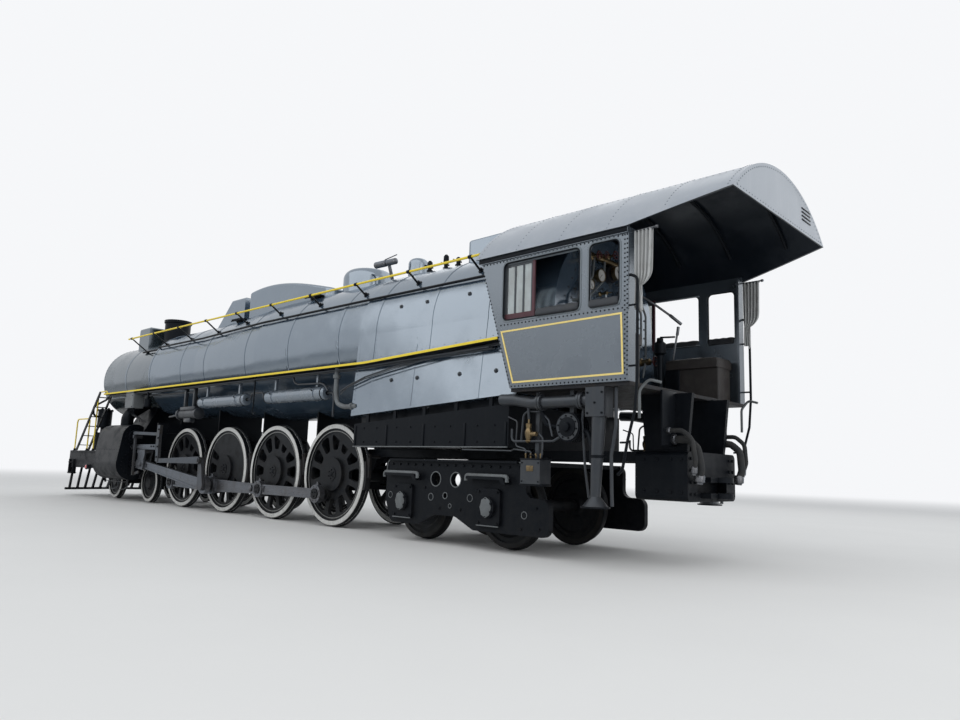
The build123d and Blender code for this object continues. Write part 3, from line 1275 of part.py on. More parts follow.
# Throttle housing behind the stack, its front leaning back
with BuildPart() as throttle_housing:
    with BuildSketch(side_plane(THROTTLE_BOX_WIDTH / 2)):
        with BuildLine():
            Polyline(
                (THROTTLE_BOX_REAR_X, BOILER_Z + FIRST_COURSE_RADIUS / 2),
                (THROTTLE_BOX_FOOT_X, BOILER_Z + FIRST_COURSE_RADIUS / 2),
                (THROTTLE_BOX_FOOT_X, BOILER_Z + FIRST_COURSE_RADIUS),
                (THROTTLE_BOX_BROW_X, THROTTLE_BOX_TOP),
                (THROTTLE_BOX_REAR_X, THROTTLE_BOX_TOP),
                close=True,
            )
        make_face()
    extrude(amount=THROTTLE_BOX_WIDTH)
    fillet(throttle_housing.edges().filter_by(Axis.Z, reverse=True), THROTTLE_BOX_CORNER)
    add(boiler_barrel.part, mode=Mode.SUBTRACT)

# Sand dome: a long housing with rounded ends, its top falling to the rear
with BuildPart() as sand_dome:
    with BuildSketch(side_plane(SAND_DOME_WIDTH / 2)):
        with BuildLine():
            top_line = Spline(*SAND_DOME_TOP_LINE)
            Polyline(
                top_line @ 1,
                (SAND_DOME_TOP_LINE[-1][0], BOILER_Z + FIRST_COURSE_RADIUS / 2),
                (SAND_DOME_TOP_LINE[0][0], BOILER_Z + FIRST_COURSE_RADIUS / 2),
                top_line @ 0,
            )
        make_face()
    extrude(amount=SAND_DOME_WIDTH)
    fillet(sand_dome.edges().filter_by(Axis.Z), SAND_DOME_CORNER)
    fillet(sand_dome.faces().sort_by(Axis.Z)[-1].edges(), SAND_DOME_EDGE)
    add(boiler_barrel.part, mode=Mode.SUBTRACT)

# Steam dome and safety valve turret: round housings with a rounded top edge
with BuildPart() as steam_domes:
    foot_z = BOILER_Z + SECOND_COURSE_RADIUS / 2
    for place_x, radius, top, edge in (
        (STEAM_DOME_X, STEAM_DOME_RADIUS, STEAM_DOME_TOP, STEAM_DOME_EDGE),
        (SAFETY_X, SAFETY_RADIUS, SAFETY_TOP, SAFETY_EDGE),
    ):
        with BuildSketch(Plane.XY.offset(foot_z)):
            with Locations((place_x, 0)):
                Circle(radius)
        dome = extrude(amount=top - foot_z)
        fillet(dome.edges().group_by(Axis.Z)[-1], edge)
    add(boiler_barrel.part, mode=Mode.SUBTRACT)
    add(firebox_casing.part, mode=Mode.SUBTRACT)
steam_domes.part.label = "steam_domes"
export_step(steam_domes.part, "parts/steam_domes.step")

# Turret box on top of the firebox, running back to the cab
with BuildPart() as turret_box:
    box_z = BOILER_Z + FIREBOX_REAR_RADIUS / 2
    with BuildSketch(Plane.XY.offset(box_z)):
        with Locations((TURRET_BOX_FRONT_X - TURRET_BOX_LENGTH / 2, 0)):
            RectangleRounded(TURRET_BOX_LENGTH, TURRET_BOX_WIDTH, TURRET_BOX_CORNER)
    extrude(amount=TURRET_BOX_TOP - box_z)
    fillet(turret_box.edges().group_by(Axis.Z)[-1], TURRET_BOX_EDGE)
    add(firebox_casing.part, mode=Mode.SUBTRACT)

# The three angular housings along the boiler's top
with BuildPart() as boiler_housings:
    add(throttle_housing.part)
    add(sand_dome.part)
    add(turret_box.part)
boiler_housings.part.label = "boiler_housings"
export_step(boiler_housings.part, "parts/boiler_housings.step")

# Bell in its stand on the smokebox
bell_foot = BOILER_Z + SMOKEBOX_RADIUS
with BuildPart() as bell:
    with BuildSketch(side_plane(0, BELL_X, bell_foot)):
        with BuildLine():
            Polyline(BELL_OUTLINE, close=True)
        make_face()
    revolve(axis=Axis((BELL_X, 0, 0), (0, 0, 1)))
    post_y = BELL_RADIUS + BELL_POST_GAP
    for side in SIDES:
        with Locations((BELL_X, side * post_y, bell_foot + (BELL_POST_LOW + BELL_POST_TOP) / 2)):
            Box(BELL_POST_LENGTH, BELL_POST_THICKNESS, BELL_POST_TOP - BELL_POST_LOW)
    with Locations((BELL_X, 0, bell_foot + BELL_POST_TOP)):
        Box(BELL_YOKE_LENGTH, 2 * post_y, BELL_YOKE_DEPTH)
    with Locations((BELL_X, 0, bell_foot)):
        Box(BELL_BASE_LENGTH, 2 * (BELL_RADIUS + BELL_BASE_MARGIN), BELL_BASE_DEPTH)
    with BuildSketch(cross_plane(SMOKEBOX_REAR_X, 0, BOILER_Z)):
        Circle(SMOKEBOX_RADIUS)
    extrude(amount=SMOKEBOX_LENGTH, mode=Mode.SUBTRACT)
bell.part.label = "bell"
export_step(bell.part, "parts/bell.step")

# Feedwater heater on the smokebox between the stack and the bell
with BuildPart() as feedwater_heater:
    with BuildSketch(Plane.XY.offset(BOILER_Z + SMOKEBOX_RADIUS / 2)):
        with Locations((HEATER_X, 0)):
            Rectangle(HEATER_LENGTH, HEATER_WIDTH)
    extrude(amount=HEATER_TOP - BOILER_Z - SMOKEBOX_RADIUS / 2)
    fillet(feedwater_heater.edges().group_by(Axis.Z)[-1], HEATER_FILLET)
    with BuildSketch(cross_plane(SMOKEBOX_REAR_X, 0, BOILER_Z)):
        Circle(SMOKEBOX_RADIUS)
    extrude(amount=SMOKEBOX_LENGTH, mode=Mode.SUBTRACT)
feedwater_heater.part.label = "feedwater_heater"
export_step(feedwater_heater.part, "parts/feedwater_heater.step")

# Running boards, level along the barrel and rising along the firebox
with BuildPart() as running_boards:
    for side in SIDES:
        face = BOARD_EDGE if side == 1 else BOARD_LAP - SMOKEBOX_RADIUS
        with BuildSketch(side_plane(face)):
            with BuildLine():
                Polyline(
                    (BOARD_FRONT_X, BOARD_Z),
                    (BOARD_FRONT_X, BOARD_Z + BOARD_THICKNESS),
                    (BOARD_KINK_X, BOARD_Z + BOARD_THICKNESS),
                    (BOARD_REAR_X, BOARD_Z + BOARD_THICKNESS + BOARD_RISE),
                    (BOARD_REAR_X, BOARD_Z + BOARD_RISE),
                    (BOARD_KINK_X, BOARD_Z),
                    close=True,
                )
            make_face()
        extrude(amount=BOARD_EDGE + BOARD_LAP - SMOKEBOX_RADIUS)
    with BuildSketch(cross_plane(SMOKEBOX_REAR_X, 0, BOILER_Z)):
        Circle(SMOKEBOX_RADIUS)
    extrude(amount=SMOKEBOX_LENGTH, mode=Mode.SUBTRACT)
    add(boiler_barrel.part, mode=Mode.SUBTRACT)
    add(firebox_casing.part, mode=Mode.SUBTRACT)
running_boards.part.label = "running_boards"
export_step(running_boards.part, "parts/running_boards.step")

# Handrails on stanchions that lean out from the jacket
foot_radius = FIRST_COURSE_RADIUS - STANCHION_FOOT_LAP
foot_y = foot_radius * cos(radians(STANCHION_FOOT_ANGLE))
foot_z = BOILER_Z + foot_radius * sin(radians(STANCHION_FOOT_ANGLE))
lean = Vector(0, foot_y - RAIL_Y, foot_z - RAIL_Z)
with BuildPart() as handrails:
    with BuildSketch(cross_plane(RAIL_REAR_X, RAIL_Y, RAIL_Z)):
        Circle(RAIL_RADIUS)
    extrude(amount=RAIL_FRONT_X - RAIL_REAR_X)
    pitch = (RAIL_FRONT_X - RAIL_REAR_X - 2 * STANCHION_MARGIN) / (STANCHION_COUNT - 1)
    for i in range(STANCHION_COUNT):
        post_x = RAIL_REAR_X + STANCHION_MARGIN + i * pitch
        with BuildSketch(Plane(origin=(post_x, RAIL_Y, RAIL_Z), z_dir=lean)):
            Circle(STANCHION_RADIUS)
        extrude(amount=lean.length)
    mirror(about=Plane.XZ)
    with BuildSketch(cross_plane(SMOKEBOX_REAR_X, 0, BOILER_Z)):
        Circle(SMOKEBOX_RADIUS)
    extrude(amount=SMOKEBOX_LENGTH, mode=Mode.SUBTRACT)
    add(boiler_barrel.part, mode=Mode.SUBTRACT)
    add(firebox_casing.part, mode=Mode.SUBTRACT)
handrails.part.label = "handrails"
export_step(handrails.part, "parts/handrails.step")

# Air tanks hung under the running boards by straps
with BuildPart() as air_tanks:
    for side in SIDES:
        for front_x in (TANK_1_FRONT_X, TANK_2_FRONT_X):
            with BuildSketch(cross_plane(front_x - TANK_LENGTH, side * TANK_Y, TANK_Z)):
                Circle(TANK_RADIUS)
            tank = extrude(amount=TANK_LENGTH)
            fillet(tank.edges().filter_by(GeomType.CIRCLE), TANK_END_FILLET)
            for strap_x in (front_x - STRAP_MARGIN, front_x - TANK_LENGTH + STRAP_MARGIN):
                with Locations((strap_x, side * TANK_Y, (TANK_Z + BOARD_Z) / 2)):
                    Box(STRAP_WIDTH, STRAP_WIDTH, BOARD_Z - TANK_Z)
                with BuildSketch(cross_plane(strap_x - STRAP_WIDTH / 2, side * TANK_Y, TANK_Z)):
                    Circle(TANK_RADIUS + STRAP_THICKNESS)
                extrude(amount=STRAP_WIDTH)
air_tanks.part.label = "air_tanks"
export_step(air_tanks.part, "parts/air_tanks.step")

# Lubricators hung under the running boards behind the cylinders
with BuildPart() as lubricators:
    for side in SIDES:
        with Locations((LUBRICATOR_X, side * (BOARD_EDGE - LUBRICATOR_WIDTH / 2),
                        BOARD_Z - LUBRICATOR_HEIGHT / 2)):
            Box(LUBRICATOR_LENGTH, LUBRICATOR_WIDTH, LUBRICATOR_HEIGHT)
    fillet(lubricators.edges().filter_by(Axis.Z), LUBRICATOR_FILLET)
lubricators.part.label = "lubricators"
export_step(lubricators.part, "parts/lubricators.step")

# Ashpan: side plates under the firebox, hung by brackets, and a hopper between the trailing wheels
with BuildPart() as ashpan:
    with BuildSketch(side_plane(ASHPAN_SIDE_Y)):
        with BuildLine():
            Polyline(
                (ASHPAN_FRONT_X, ASHPAN_BOTTOM),
                (ASHPAN_REAR_X, ASHPAN_BOTTOM),
                (ASHPAN_REAR_X, ASHPAN_TOP_REAR),
                (ASHPAN_FRONT_X, ASHPAN_TOP_FRONT),
                close=True,
            )
        make_face()
    extrude(amount=2 * ASHPAN_SIDE_Y)
    with BuildSketch(side_plane(ASHPAN_SIDE_Y - ASHPAN_PLATE)):
        with BuildLine():
            Polyline(
                (ASHPAN_FRONT_X - ASHPAN_PLATE, ASHPAN_BOTTOM + ASHPAN_PLATE),
                (ASHPAN_REAR_X + ASHPAN_PLATE, ASHPAN_BOTTOM + ASHPAN_PLATE),
                (ASHPAN_REAR_X + ASHPAN_PLATE, ASHPAN_TOP_REAR + ASHPAN_PLATE),
                (ASHPAN_FRONT_X - ASHPAN_PLATE, ASHPAN_TOP_FRONT + ASHPAN_PLATE),
                close=True,
            )
        make_face()
    extrude(amount=2 * (ASHPAN_SIDE_Y - ASHPAN_PLATE), mode=Mode.SUBTRACT)
    with BuildSketch(Plane.XY.offset(ASHPAN_BOTTOM)):
        with Locations((TRAIL_TRUCK_X, 0)):
            Rectangle(2 * HOPPER_HALF_LENGTH, 2 * HOPPER_HALF_WIDTH)
    with BuildSketch(Plane.XY.offset(HOPPER_BOTTOM)):
        with Locations((TRAIL_TRUCK_X, 0)):
            Rectangle(HOPPER_MOUTH_LENGTH, HOPPER_HALF_WIDTH)
    loft()
    slope = (ASHPAN_TOP_REAR - ASHPAN_TOP_FRONT) / (ASHPAN_FRONT_X - ASHPAN_REAR_X)
    bracket_pitch = (ASHPAN_FRONT_X - ASHPAN_REAR_X) / BRACKET_COUNT
    for side in SIDES:
        for i in range(BRACKET_COUNT):
            bracket_x = ASHPAN_FRONT_X - bracket_pitch * (i + 0.5)
            low = ASHPAN_TOP_FRONT + slope * (ASHPAN_FRONT_X - bracket_x) - BRACKET_LAP
            with Locations((bracket_x, side * (ASHPAN_SIDE_Y - ASHPAN_PLATE / 2), low + BRACKET_HEIGHT / 2)):
                Box(BRACKET_WIDTH, ASHPAN_PLATE, BRACKET_HEIGHT)
    add(firebox_casing.part, mode=Mode.SUBTRACT)
ashpan.part.label = "ashpan"
export_step(ashpan.part, "parts/ashpan.step")

# Cab roof: an arched sheet reaching back past the cab, where its edges rise to an upright end plate
half_chord = CAB_Y + EAVE_OVERHANG
roof_rise = CROWN_Z - EAVE_Z
roof_radius = (half_chord**2 + roof_rise**2) / (2 * roof_rise)
roof_centre_z = CROWN_Z - roof_radius
with BuildPart() as cab_roof:
    with BuildSketch(cross_plane(ROOF_REAR_X)):
        with Locations((0, roof_centre_z)):
            Circle(roof_radius)
            Circle(roof_radius - ROOF_THICKNESS, mode=Mode.SUBTRACT)
        with Locations((0, EAVE_Z - roof_radius)):
            Rectangle(4 * roof_radius, 2 * roof_radius, mode=Mode.SUBTRACT)
    extrude(amount=ROOF_FRONT_X - ROOF_REAR_X)
    with BuildSketch(cross_plane(ROOF_REAR_X)):
        with Locations((0, roof_centre_z)):
            Circle(roof_radius)
        with Locations((0, EAVE_Z - roof_radius)):
            Rectangle(4 * roof_radius, 2 * roof_radius, mode=Mode.SUBTRACT)
    extrude(amount=END_PLATE_THICKNESS)
    with BuildSketch(side_plane(2 * half_chord)):
        with BuildLine():
            Polyline(
                (CAB_REAR_X, EAVE_Z),
                (ROOF_REAR_X, ROOF_TAIL_Z),
                (2 * ROOF_REAR_X, ROOF_TAIL_Z),
                (2 * ROOF_REAR_X, EAVE_Z / 2),
                (CAB_REAR_X, EAVE_Z / 2),
                close=True,
            )
        make_face()
    extrude(amount=4 * half_chord, mode=Mode.SUBTRACT)
cab_roof.part.label = "cab_roof"
export_step(cab_roof.part, "parts/cab_roof.step")


def under_roof():
    """Cut what the open part has above the underside of the roof."""
    with BuildSketch(cross_plane(ROOF_REAR_X)) as above:
        with Locations((0, EAVE_Z + 2 * half_chord)):
            Rectangle(4 * half_chord, 4 * half_chord)
        with Locations((0, roof_centre_z)):
            Circle(roof_radius - ROOF_THICKNESS, mode=Mode.SUBTRACT)
    extrude(above.sketch, amount=ROOF_FRONT_X - ROOF_REAR_X, mode=Mode.SUBTRACT)


# Cab sides with their window openings and the flanges at their rear edges
window_z = (WINDOW_BOTTOM + WINDOW_TOP) / 2
window_height = WINDOW_TOP - WINDOW_BOTTOM
for side, side_name in SIDES.items():
    face = CAB_Y if side == 1 else -CAB_Y + CAB_WALL
    with BuildPart() as cab_side:
        with BuildSketch(side_plane(face)):
            with BuildLine():
                Polyline(
                    (CAB_REAR_X, CAB_BOTTOM),
                    (CAB_REAR_X, CROWN_Z),
                    (CAB_FRONT_TOP_X, CROWN_Z),
                    (CAB_FRONT_TOP_X, EAVE_Z),
                    (CAB_FRONT_BOTTOM_X, CAB_BOTTOM),
                    close=True,
                )
            make_face()
            with Locations((FRONT_WINDOW_X - FRONT_WINDOW_LENGTH / 2, window_z)):
                RectangleRounded(FRONT_WINDOW_LENGTH, window_height, WINDOW_FILLET, mode=Mode.SUBTRACT)
            with Locations((REAR_WINDOW_X - REAR_WINDOW_LENGTH / 2, window_z)):
                RectangleRounded(REAR_WINDOW_LENGTH, window_height, WINDOW_FILLET, mode=Mode.SUBTRACT)
        extrude(amount=CAB_WALL)
        under_roof()
        with Locations((CAB_REAR_X + CAB_WALL / 2, side * (CAB_Y - REAR_FLANGE / 2),
                        (CAB_BOTTOM + EAVE_Z) / 2)):
            Box(CAB_WALL, REAR_FLANGE, EAVE_Z - CAB_BOTTOM)
        gutter_length = CAB_FRONT_TOP_X - CAB_REAR_X
        with Locations((CAB_REAR_X + gutter_length / 2, side * (CAB_Y + GUTTER_WIDTH / 2),
                        EAVE_Z - GUTTER_DEPTH / 2)):
            Box(gutter_length, GUTTER_WIDTH, GUTTER_DEPTH)
    cab_side.part.label = f"cab_side_{side_name}"
    export_step(cab_side.part, f"parts/cab_side_{side_name}.step")

# Cab front: a sloping sheet round the firebox
with BuildPart() as cab_front:
    with BuildSketch(side_plane(CAB_Y - CAB_WALL)):
        with BuildLine():
            Polyline(
                (CAB_FRONT_BOTTOM_X, CAB_BOTTOM),
                (CAB_FRONT_BOTTOM_X - CAB_WALL, CAB_BOTTOM),
                (CAB_FRONT_TOP_X - CAB_WALL, EAVE_Z),
                (CAB_FRONT_TOP_X - CAB_WALL, CROWN_Z),
                (CAB_FRONT_TOP_X, CROWN_Z),
                (CAB_FRONT_TOP_X, EAVE_Z),
                close=True,
            )
        make_face()
    extrude(amount=2 * (CAB_Y - CAB_WALL))
    under_roof()
    add(firebox_casing.part, mode=Mode.SUBTRACT)
    add(turret_box.part, mode=Mode.SUBTRACT)
cab_front.part.label = "cab_front"
export_step(cab_front.part, "parts/cab_front.step")

# Cab floor behind the firebox
with BuildPart() as cab_floor:
    with BuildSketch(Plane.XY.offset(CAB_BOTTOM - FLOOR_THICKNESS)):
        with BuildLine():
            Polyline(
                (CAB_FRONT_BOTTOM_X, CAB_Y - CAB_WALL),
                (CAB_REAR_X, CAB_Y - CAB_WALL),
                (CAB_REAR_X, -CAB_Y + CAB_WALL),
                (CAB_FRONT_BOTTOM_X, -CAB_Y + CAB_WALL),
                close=True,
            )
        make_face()
    extrude(amount=FLOOR_THICKNESS)
    add(firebox_casing.part, mode=Mode.SUBTRACT)
cab_floor.part.label = "cab_floor"
export_step(cab_floor.part, "parts/cab_floor.step")

# Sliding sashes in the front windows, and their panes
sash_x = FRONT_WINDOW_X - SASH_LENGTH / 2 + SASH_FRONT_LAP
pane_area = SASH_LENGTH - 2 * SASH_BORDER
pane_width = (pane_area - (PANE_COUNT - 1) * SASH_BAR) / PANE_COUNT
pane_height = window_height - SASH_BORDER - SASH_RAIL
pane_z = (SASH_RAIL - SASH_BORDER) / 2
with BuildPart() as cab_sashes:
    for side in SIDES:
        face = CAB_Y - CAB_WALL if side == 1 else -CAB_Y + CAB_WALL + SASH_THICKNESS
        with BuildSketch(side_plane(face, sash_x, window_z)):
            Rectangle(SASH_LENGTH, window_height + 2 * SASH_EDGE_LAP)
            with Locations((0, pane_z)):
                with GridLocations(pane_width + SASH_BAR, 0, PANE_COUNT, 1):
                    Rectangle(pane_width, pane_height, mode=Mode.SUBTRACT)
        extrude(amount=SASH_THICKNESS)
cab_sashes.part.label = "cab_sashes"
export_step(cab_sashes.part, "parts/cab_sashes.step")
with BuildPart() as cab_glass:
    for side in SIDES:
        middle = side * (CAB_Y - CAB_WALL - SASH_THICKNESS / 2)
        with BuildSketch(side_plane(middle + GLASS_THICKNESS / 2, sash_x, window_z)):
            with Locations((0, pane_z)):
                with GridLocations(pane_width + SASH_BAR, 0, PANE_COUNT, 1):
                    Rectangle(pane_width, pane_height)
        extrude(amount=GLASS_THICKNESS)
cab_glass.part.label = "cab_glass"
export_step(cab_glass.part, "parts/cab_glass.step")

# Seat boxes along the cab sides
with BuildPart() as cab_seats:
    for side in SIDES:
        seat_y = side * (CAB_Y - CAB_WALL - SEAT_WIDTH / 2 - SEAT_GAP)
        seat_x = CAB_REAR_X + SEAT_LENGTH / 2 + REAR_FLANGE
        with Locations((seat_x, seat_y, (CAB_BOTTOM + SEAT_TOP - SEAT_CUSHION) / 2)):
            Box(SEAT_LENGTH, SEAT_WIDTH - 2 * SEAT_OVERHANG, SEAT_TOP - CAB_BOTTOM - SEAT_CUSHION)
        with Locations((seat_x, seat_y, SEAT_TOP - SEAT_CUSHION / 2)):
            Box(SEAT_LENGTH + 2 * SEAT_NOSE, SEAT_WIDTH, SEAT_CUSHION)
    fillet(cab_seats.edges().filter_by(Axis.Z), SEAT_FILLET)
cab_seats.part.label = "cab_seats"
export_step(cab_seats.part, "parts/cab_seats.step")

# Backhead: firing door, throttle rod and gauges on the firebox's rear end
with BuildPart() as backhead:
    with Locations((FIREBOX_REAR_X - FIRE_DOOR_PLATE[0] / 2, 0, FIRE_DOOR_Z)):
        Box(*FIRE_DOOR_PLATE)
    with Locations((FIREBOX_REAR_X - FIRE_DOOR_PLATE[0] - FIRE_DOOR_LAP, 0, FIRE_DOOR_Z)):
        Box(*FIRE_DOOR)
    with BuildSketch(cross_plane(FIREBOX_REAR_X - GAUGE_STAND_LENGTH, 0, GAUGE_STAND_Z)):
        Circle(GAUGE_STAND_RADIUS)
    extrude(amount=GAUGE_STAND_LENGTH)
    with BuildSketch(cross_plane(FIREBOX_REAR_X - THROTTLE_STUFFING_LENGTH, THROTTLE_STUFFING_Y,
                                 THROTTLE_STUFFING_Z)):
        Circle(THROTTLE_STUFFING_RADIUS)
    extrude(amount=THROTTLE_STUFFING_LENGTH)
backhead.part.label = "backhead"
export_step(backhead.part, "parts/backhead.step")

# Drag beam under the cab, with the pocket and pin hole for a drawbar
beam_rear_x = DRAG_BEAM_X - DRAG_BEAM_LENGTH
pin_x = beam_rear_x - DRAWBAR_REACH / 2
lip_height = DRAWBAR_SLOT + 2 * DRAWBAR_LIP
web_top = CAB_BOTTOM - FLOOR_THICKNESS
with BuildPart() as drag_beam:
    with BuildSketch(cross_plane(beam_rear_x, 0, (DRAG_BEAM_BOTTOM + ASHPAN_BOTTOM) / 2)):
        RectangleRounded(2 * DRAG_BEAM_HALF_WIDTH, ASHPAN_BOTTOM - DRAG_BEAM_BOTTOM, DRAG_BEAM_CORNER)
    extrude(amount=DRAG_BEAM_LENGTH)
    for side in SIDES:
        with BuildSketch(side_plane(side * DRAG_WEB_Y + DRAG_WEB_THICKNESS / 2)):
            with BuildLine():
                Polyline(
                    (DRAG_BEAM_X - DRAG_BEAM_CORNER, ASHPAN_BOTTOM),
                    (DRAG_BEAM_X, web_top),
                    (beam_rear_x, web_top),
                    (beam_rear_x + DRAG_BEAM_CORNER, ASHPAN_BOTTOM),
                    close=True,
                )
            make_face()
        extrude(amount=DRAG_WEB_THICKNESS)
    with BuildSketch(Plane.XY.offset(DRAWBAR_Z - lip_height / 2)):
        with Locations((beam_rear_x - DRAWBAR_REACH / 4, 0)):
            Rectangle(DRAWBAR_REACH / 2, 2 * DRAWBAR_LIP_HALF_WIDTH)
        with Locations((pin_x, 0)):
            Circle(DRAWBAR_REACH / 2)
    extrude(amount=lip_height)
    with Locations((pin_x, 0, DRAWBAR_Z)):
        Box(2 * DRAWBAR_REACH, 2 * DRAWBAR_SLOT_HALF_WIDTH, DRAWBAR_SLOT, mode=Mode.SUBTRACT)
    with BuildSketch(Plane.XY.offset(DRAWBAR_Z - lip_height)):
        with Locations((pin_x, 0)):
            Circle(DRAWBAR_BORE)
    extrude(amount=2 * lip_height, mode=Mode.SUBTRACT)
drag_beam.part.label = "drag_beam"
export_step(drag_beam.part, "parts/drag_beam.step")

# Front deck with its valances, and the ladders up to the running boards
with BuildPart() as front_deck:
    deck_middle = (DECK_FRONT_X - BEAM_THICKNESS + DECK_REAR_X) / 2
    deck_length = DECK_FRONT_X - BEAM_THICKNESS - DECK_REAR_X
    with Locations((deck_middle, 0, DECK_TOP - DECK_THICKNESS / 2)):
        Box(deck_length, 2 * DECK_HALF_WIDTH, DECK_THICKNESS)
    for side in SIDES:
        with Locations((deck_middle, side * (DECK_HALF_WIDTH - DECK_THICKNESS / 2),
                        (DECK_TOP + VALANCE_BOTTOM) / 2)):
            Box(deck_length, DECK_THICKNESS, DECK_TOP - VALANCE_BOTTOM)
front_deck.part.label = "front_deck"
export_step(front_deck.part, "parts/front_deck.step")
with BuildPart() as ladders:
    for side in SIDES:
        foot = (DECK_REAR_X + LADDER_SETBACK, DECK_TOP)
        head = (BOARD_FRONT_X + LADDER_HEAD_LAP, BOARD_Z + BOARD_THICKNESS)
        for stringer in (-1, 1):
            bar_between(side * LADDER_Y + stringer * LADDER_WIDTH / 2, LADDER_STRINGER_THICKNESS, foot, head,
                        LADDER_STRINGER_DEPTH, LADDER_STRINGER_DEPTH)
        for i in range(LADDER_RUNG_COUNT):
            share = (i + LADDER_FIRST_RUNG) / LADDER_RUNG_COUNT
            rung = (foot[0] + (head[0] - foot[0]) * share, foot[1] + (head[1] - foot[1]) * share)
            with Locations((rung[0], side * LADDER_Y, rung[1])):
                Box(LADDER_TREAD_LENGTH, LADDER_WIDTH, LADDER_TREAD_THICKNESS)
    split(bisect_by=Plane.XY.offset(DECK_TOP))
ladders.part.label = "ladders"
export_step(ladders.part, "parts/ladders.step")

# Pilot beam and slatted pilot
beam_bottom = VALANCE_BOTTOM
beam_middle_x = DECK_FRONT_X - BEAM_THICKNESS / 2
with BuildPart() as pilot:
    with Locations((beam_middle_x, 0, (DECK_TOP + beam_bottom) / 2)):
        Box(BEAM_THICKNESS, 2 * DECK_HALF_WIDTH, DECK_TOP - beam_bottom)
    slat_pitch = 2 * (DECK_HALF_WIDTH - PILOT_MARGIN) / (PILOT_SLAT_COUNT - 1)
    for i in range(PILOT_SLAT_COUNT):
        slat_y = PILOT_MARGIN - DECK_HALF_WIDTH + i * slat_pitch
        reach = PILOT_REACH * (1 - PILOT_SWEEP * abs(slat_y) / DECK_HALF_WIDTH)
        with BuildSketch(side_plane(slat_y + PILOT_SLAT_WIDTH / 2)):
            with BuildLine():
                Polyline(
                    (DECK_FRONT_X - PILOT_SLAT_LAP, beam_bottom + PILOT_SLAT_RISE),
                    (DECK_FRONT_X, beam_bottom + PILOT_SLAT_RISE),
                    (DECK_FRONT_X + reach, PILOT_BOTTOM + PILOT_SLAT_TOE),
                    (DECK_FRONT_X + reach, PILOT_BOTTOM),
                    (DECK_FRONT_X + reach - PILOT_SLAT_FOOT, PILOT_BOTTOM),
                    close=True,
                )
            make_face()
        extrude(amount=PILOT_SLAT_WIDTH)
    with BuildSketch(Plane.XY.offset(PILOT_BOTTOM)):
        with BuildLine():
            tip = DECK_FRONT_X + PILOT_REACH
            side_x = DECK_FRONT_X + PILOT_REACH * (1 - PILOT_SWEEP)
            Polyline(
                (tip, 0),
                (side_x, DECK_HALF_WIDTH),
                (side_x - PILOT_RAIL_WIDTH, DECK_HALF_WIDTH),
                (tip - PILOT_RAIL_WIDTH, 0),
                (side_x - PILOT_RAIL_WIDTH, -DECK_HALF_WIDTH),
                (side_x, -DECK_HALF_WIDTH),
                close=True,
            )
        make_face()
    extrude(amount=PILOT_RAIL_HEIGHT)
pilot.part.label = "pilot"
export_step(pilot.part, "parts/pilot.step")

# Front coupler: shank, head and knuckle
shank_length = COUPLER_FRONT_X - COUPLER_HEAD_LENGTH - DECK_FRONT_X
with BuildPart() as front_coupler:
    with Locations((DECK_FRONT_X, 0, COUPLER_Z)):
        Box(shank_length + COUPLER_SHANK_LAP, COUPLER_SHANK_WIDTH, COUPLER_SHANK_HEIGHT,
            align=(Align.MIN, Align.CENTER, Align.CENTER))
    with BuildSketch(Plane.XY.offset(COUPLER_Z - COUPLER_HEAD_HEIGHT / 2)):
        with BuildLine():
            Polyline([(COUPLER_FRONT_X - back, across) for back, across in COUPLER_OUTLINE], close=True)
        make_face()
    extrude(amount=COUPLER_HEAD_HEIGHT)
front_coupler.part.label = "front_coupler"
export_step(front_coupler.part, "parts/front_coupler.step")

# Air pumps on the front deck
with BuildPart() as air_pumps:
    for side in SIDES:
        with Locations((PUMP_X, side * PUMP_Y, DECK_TOP + PUMP_HEIGHT / 2)):
            Cylinder(PUMP_WAIST, PUMP_HEIGHT)
        for share, radius in PUMP_DRUMS:
            with Locations((PUMP_X, side * PUMP_Y, DECK_TOP + PUMP_HEIGHT * share)):
                Cylinder(radius, PUMP_DRUM_HEIGHT)
air_pumps.part.label = "air_pumps"
export_step(air_pumps.part, "parts/air_pumps.step")

# Leading truck frame, inside the wheels
with BuildPart() as lead_truck_frame:
    for side in SIDES:
        with BuildSketch(side_plane(side * TRUCK_FRAME_Y + TRUCK_FRAME_THICKNESS / 2, 0, LEAD_AXLE_Z)):
            with BuildLine():
                Polyline(
                    (LEAD_X[1] - LEAD_PEDESTAL_HALF, -LEAD_PEDESTAL_DROP),
                    (LEAD_X[1] + LEAD_PEDESTAL_HALF, -LEAD_PEDESTAL_DROP),
                    (LEAD_X[1] + LEAD_BAR_REACH, LEAD_BAR_RISE),
                    (LEAD_X[0] - LEAD_BAR_REACH, LEAD_BAR_RISE),
                    (LEAD_X[0] - LEAD_PEDESTAL_HALF, -LEAD_PEDESTAL_DROP),
                    (LEAD_X[0] + LEAD_PEDESTAL_HALF, -LEAD_PEDESTAL_DROP),
                    (LEAD_X[0] + LEAD_PEDESTAL_HALF, LEAD_PEDESTAL_RISE),
                    (LEAD_X[1] - LEAD_PEDESTAL_HALF, LEAD_PEDESTAL_RISE),
                    close=True,
                )
            make_face()
            with Locations([(x, 0) for x in LEAD_X]):
                Circle(TRUCK_AXLE_RADIUS + BOX_BORE_CLEARANCE, mode=Mode.SUBTRACT)
        extrude(amount=TRUCK_FRAME_THICKNESS)
    with Locations((LEAD_TRUCK_X, 0, LEAD_AXLE_Z + BOLSTER_RISE)):
        Box(BOLSTER_LENGTH, 2 * TRUCK_FRAME_Y, BOLSTER_DEPTH)
    with Locations((LEAD_TRUCK_X, 0, LEAD_AXLE_Z + CENTRE_PLATE_RISE)):
        Cylinder(CENTRE_PLATE_RADIUS, CENTRE_PLATE_DEPTH)
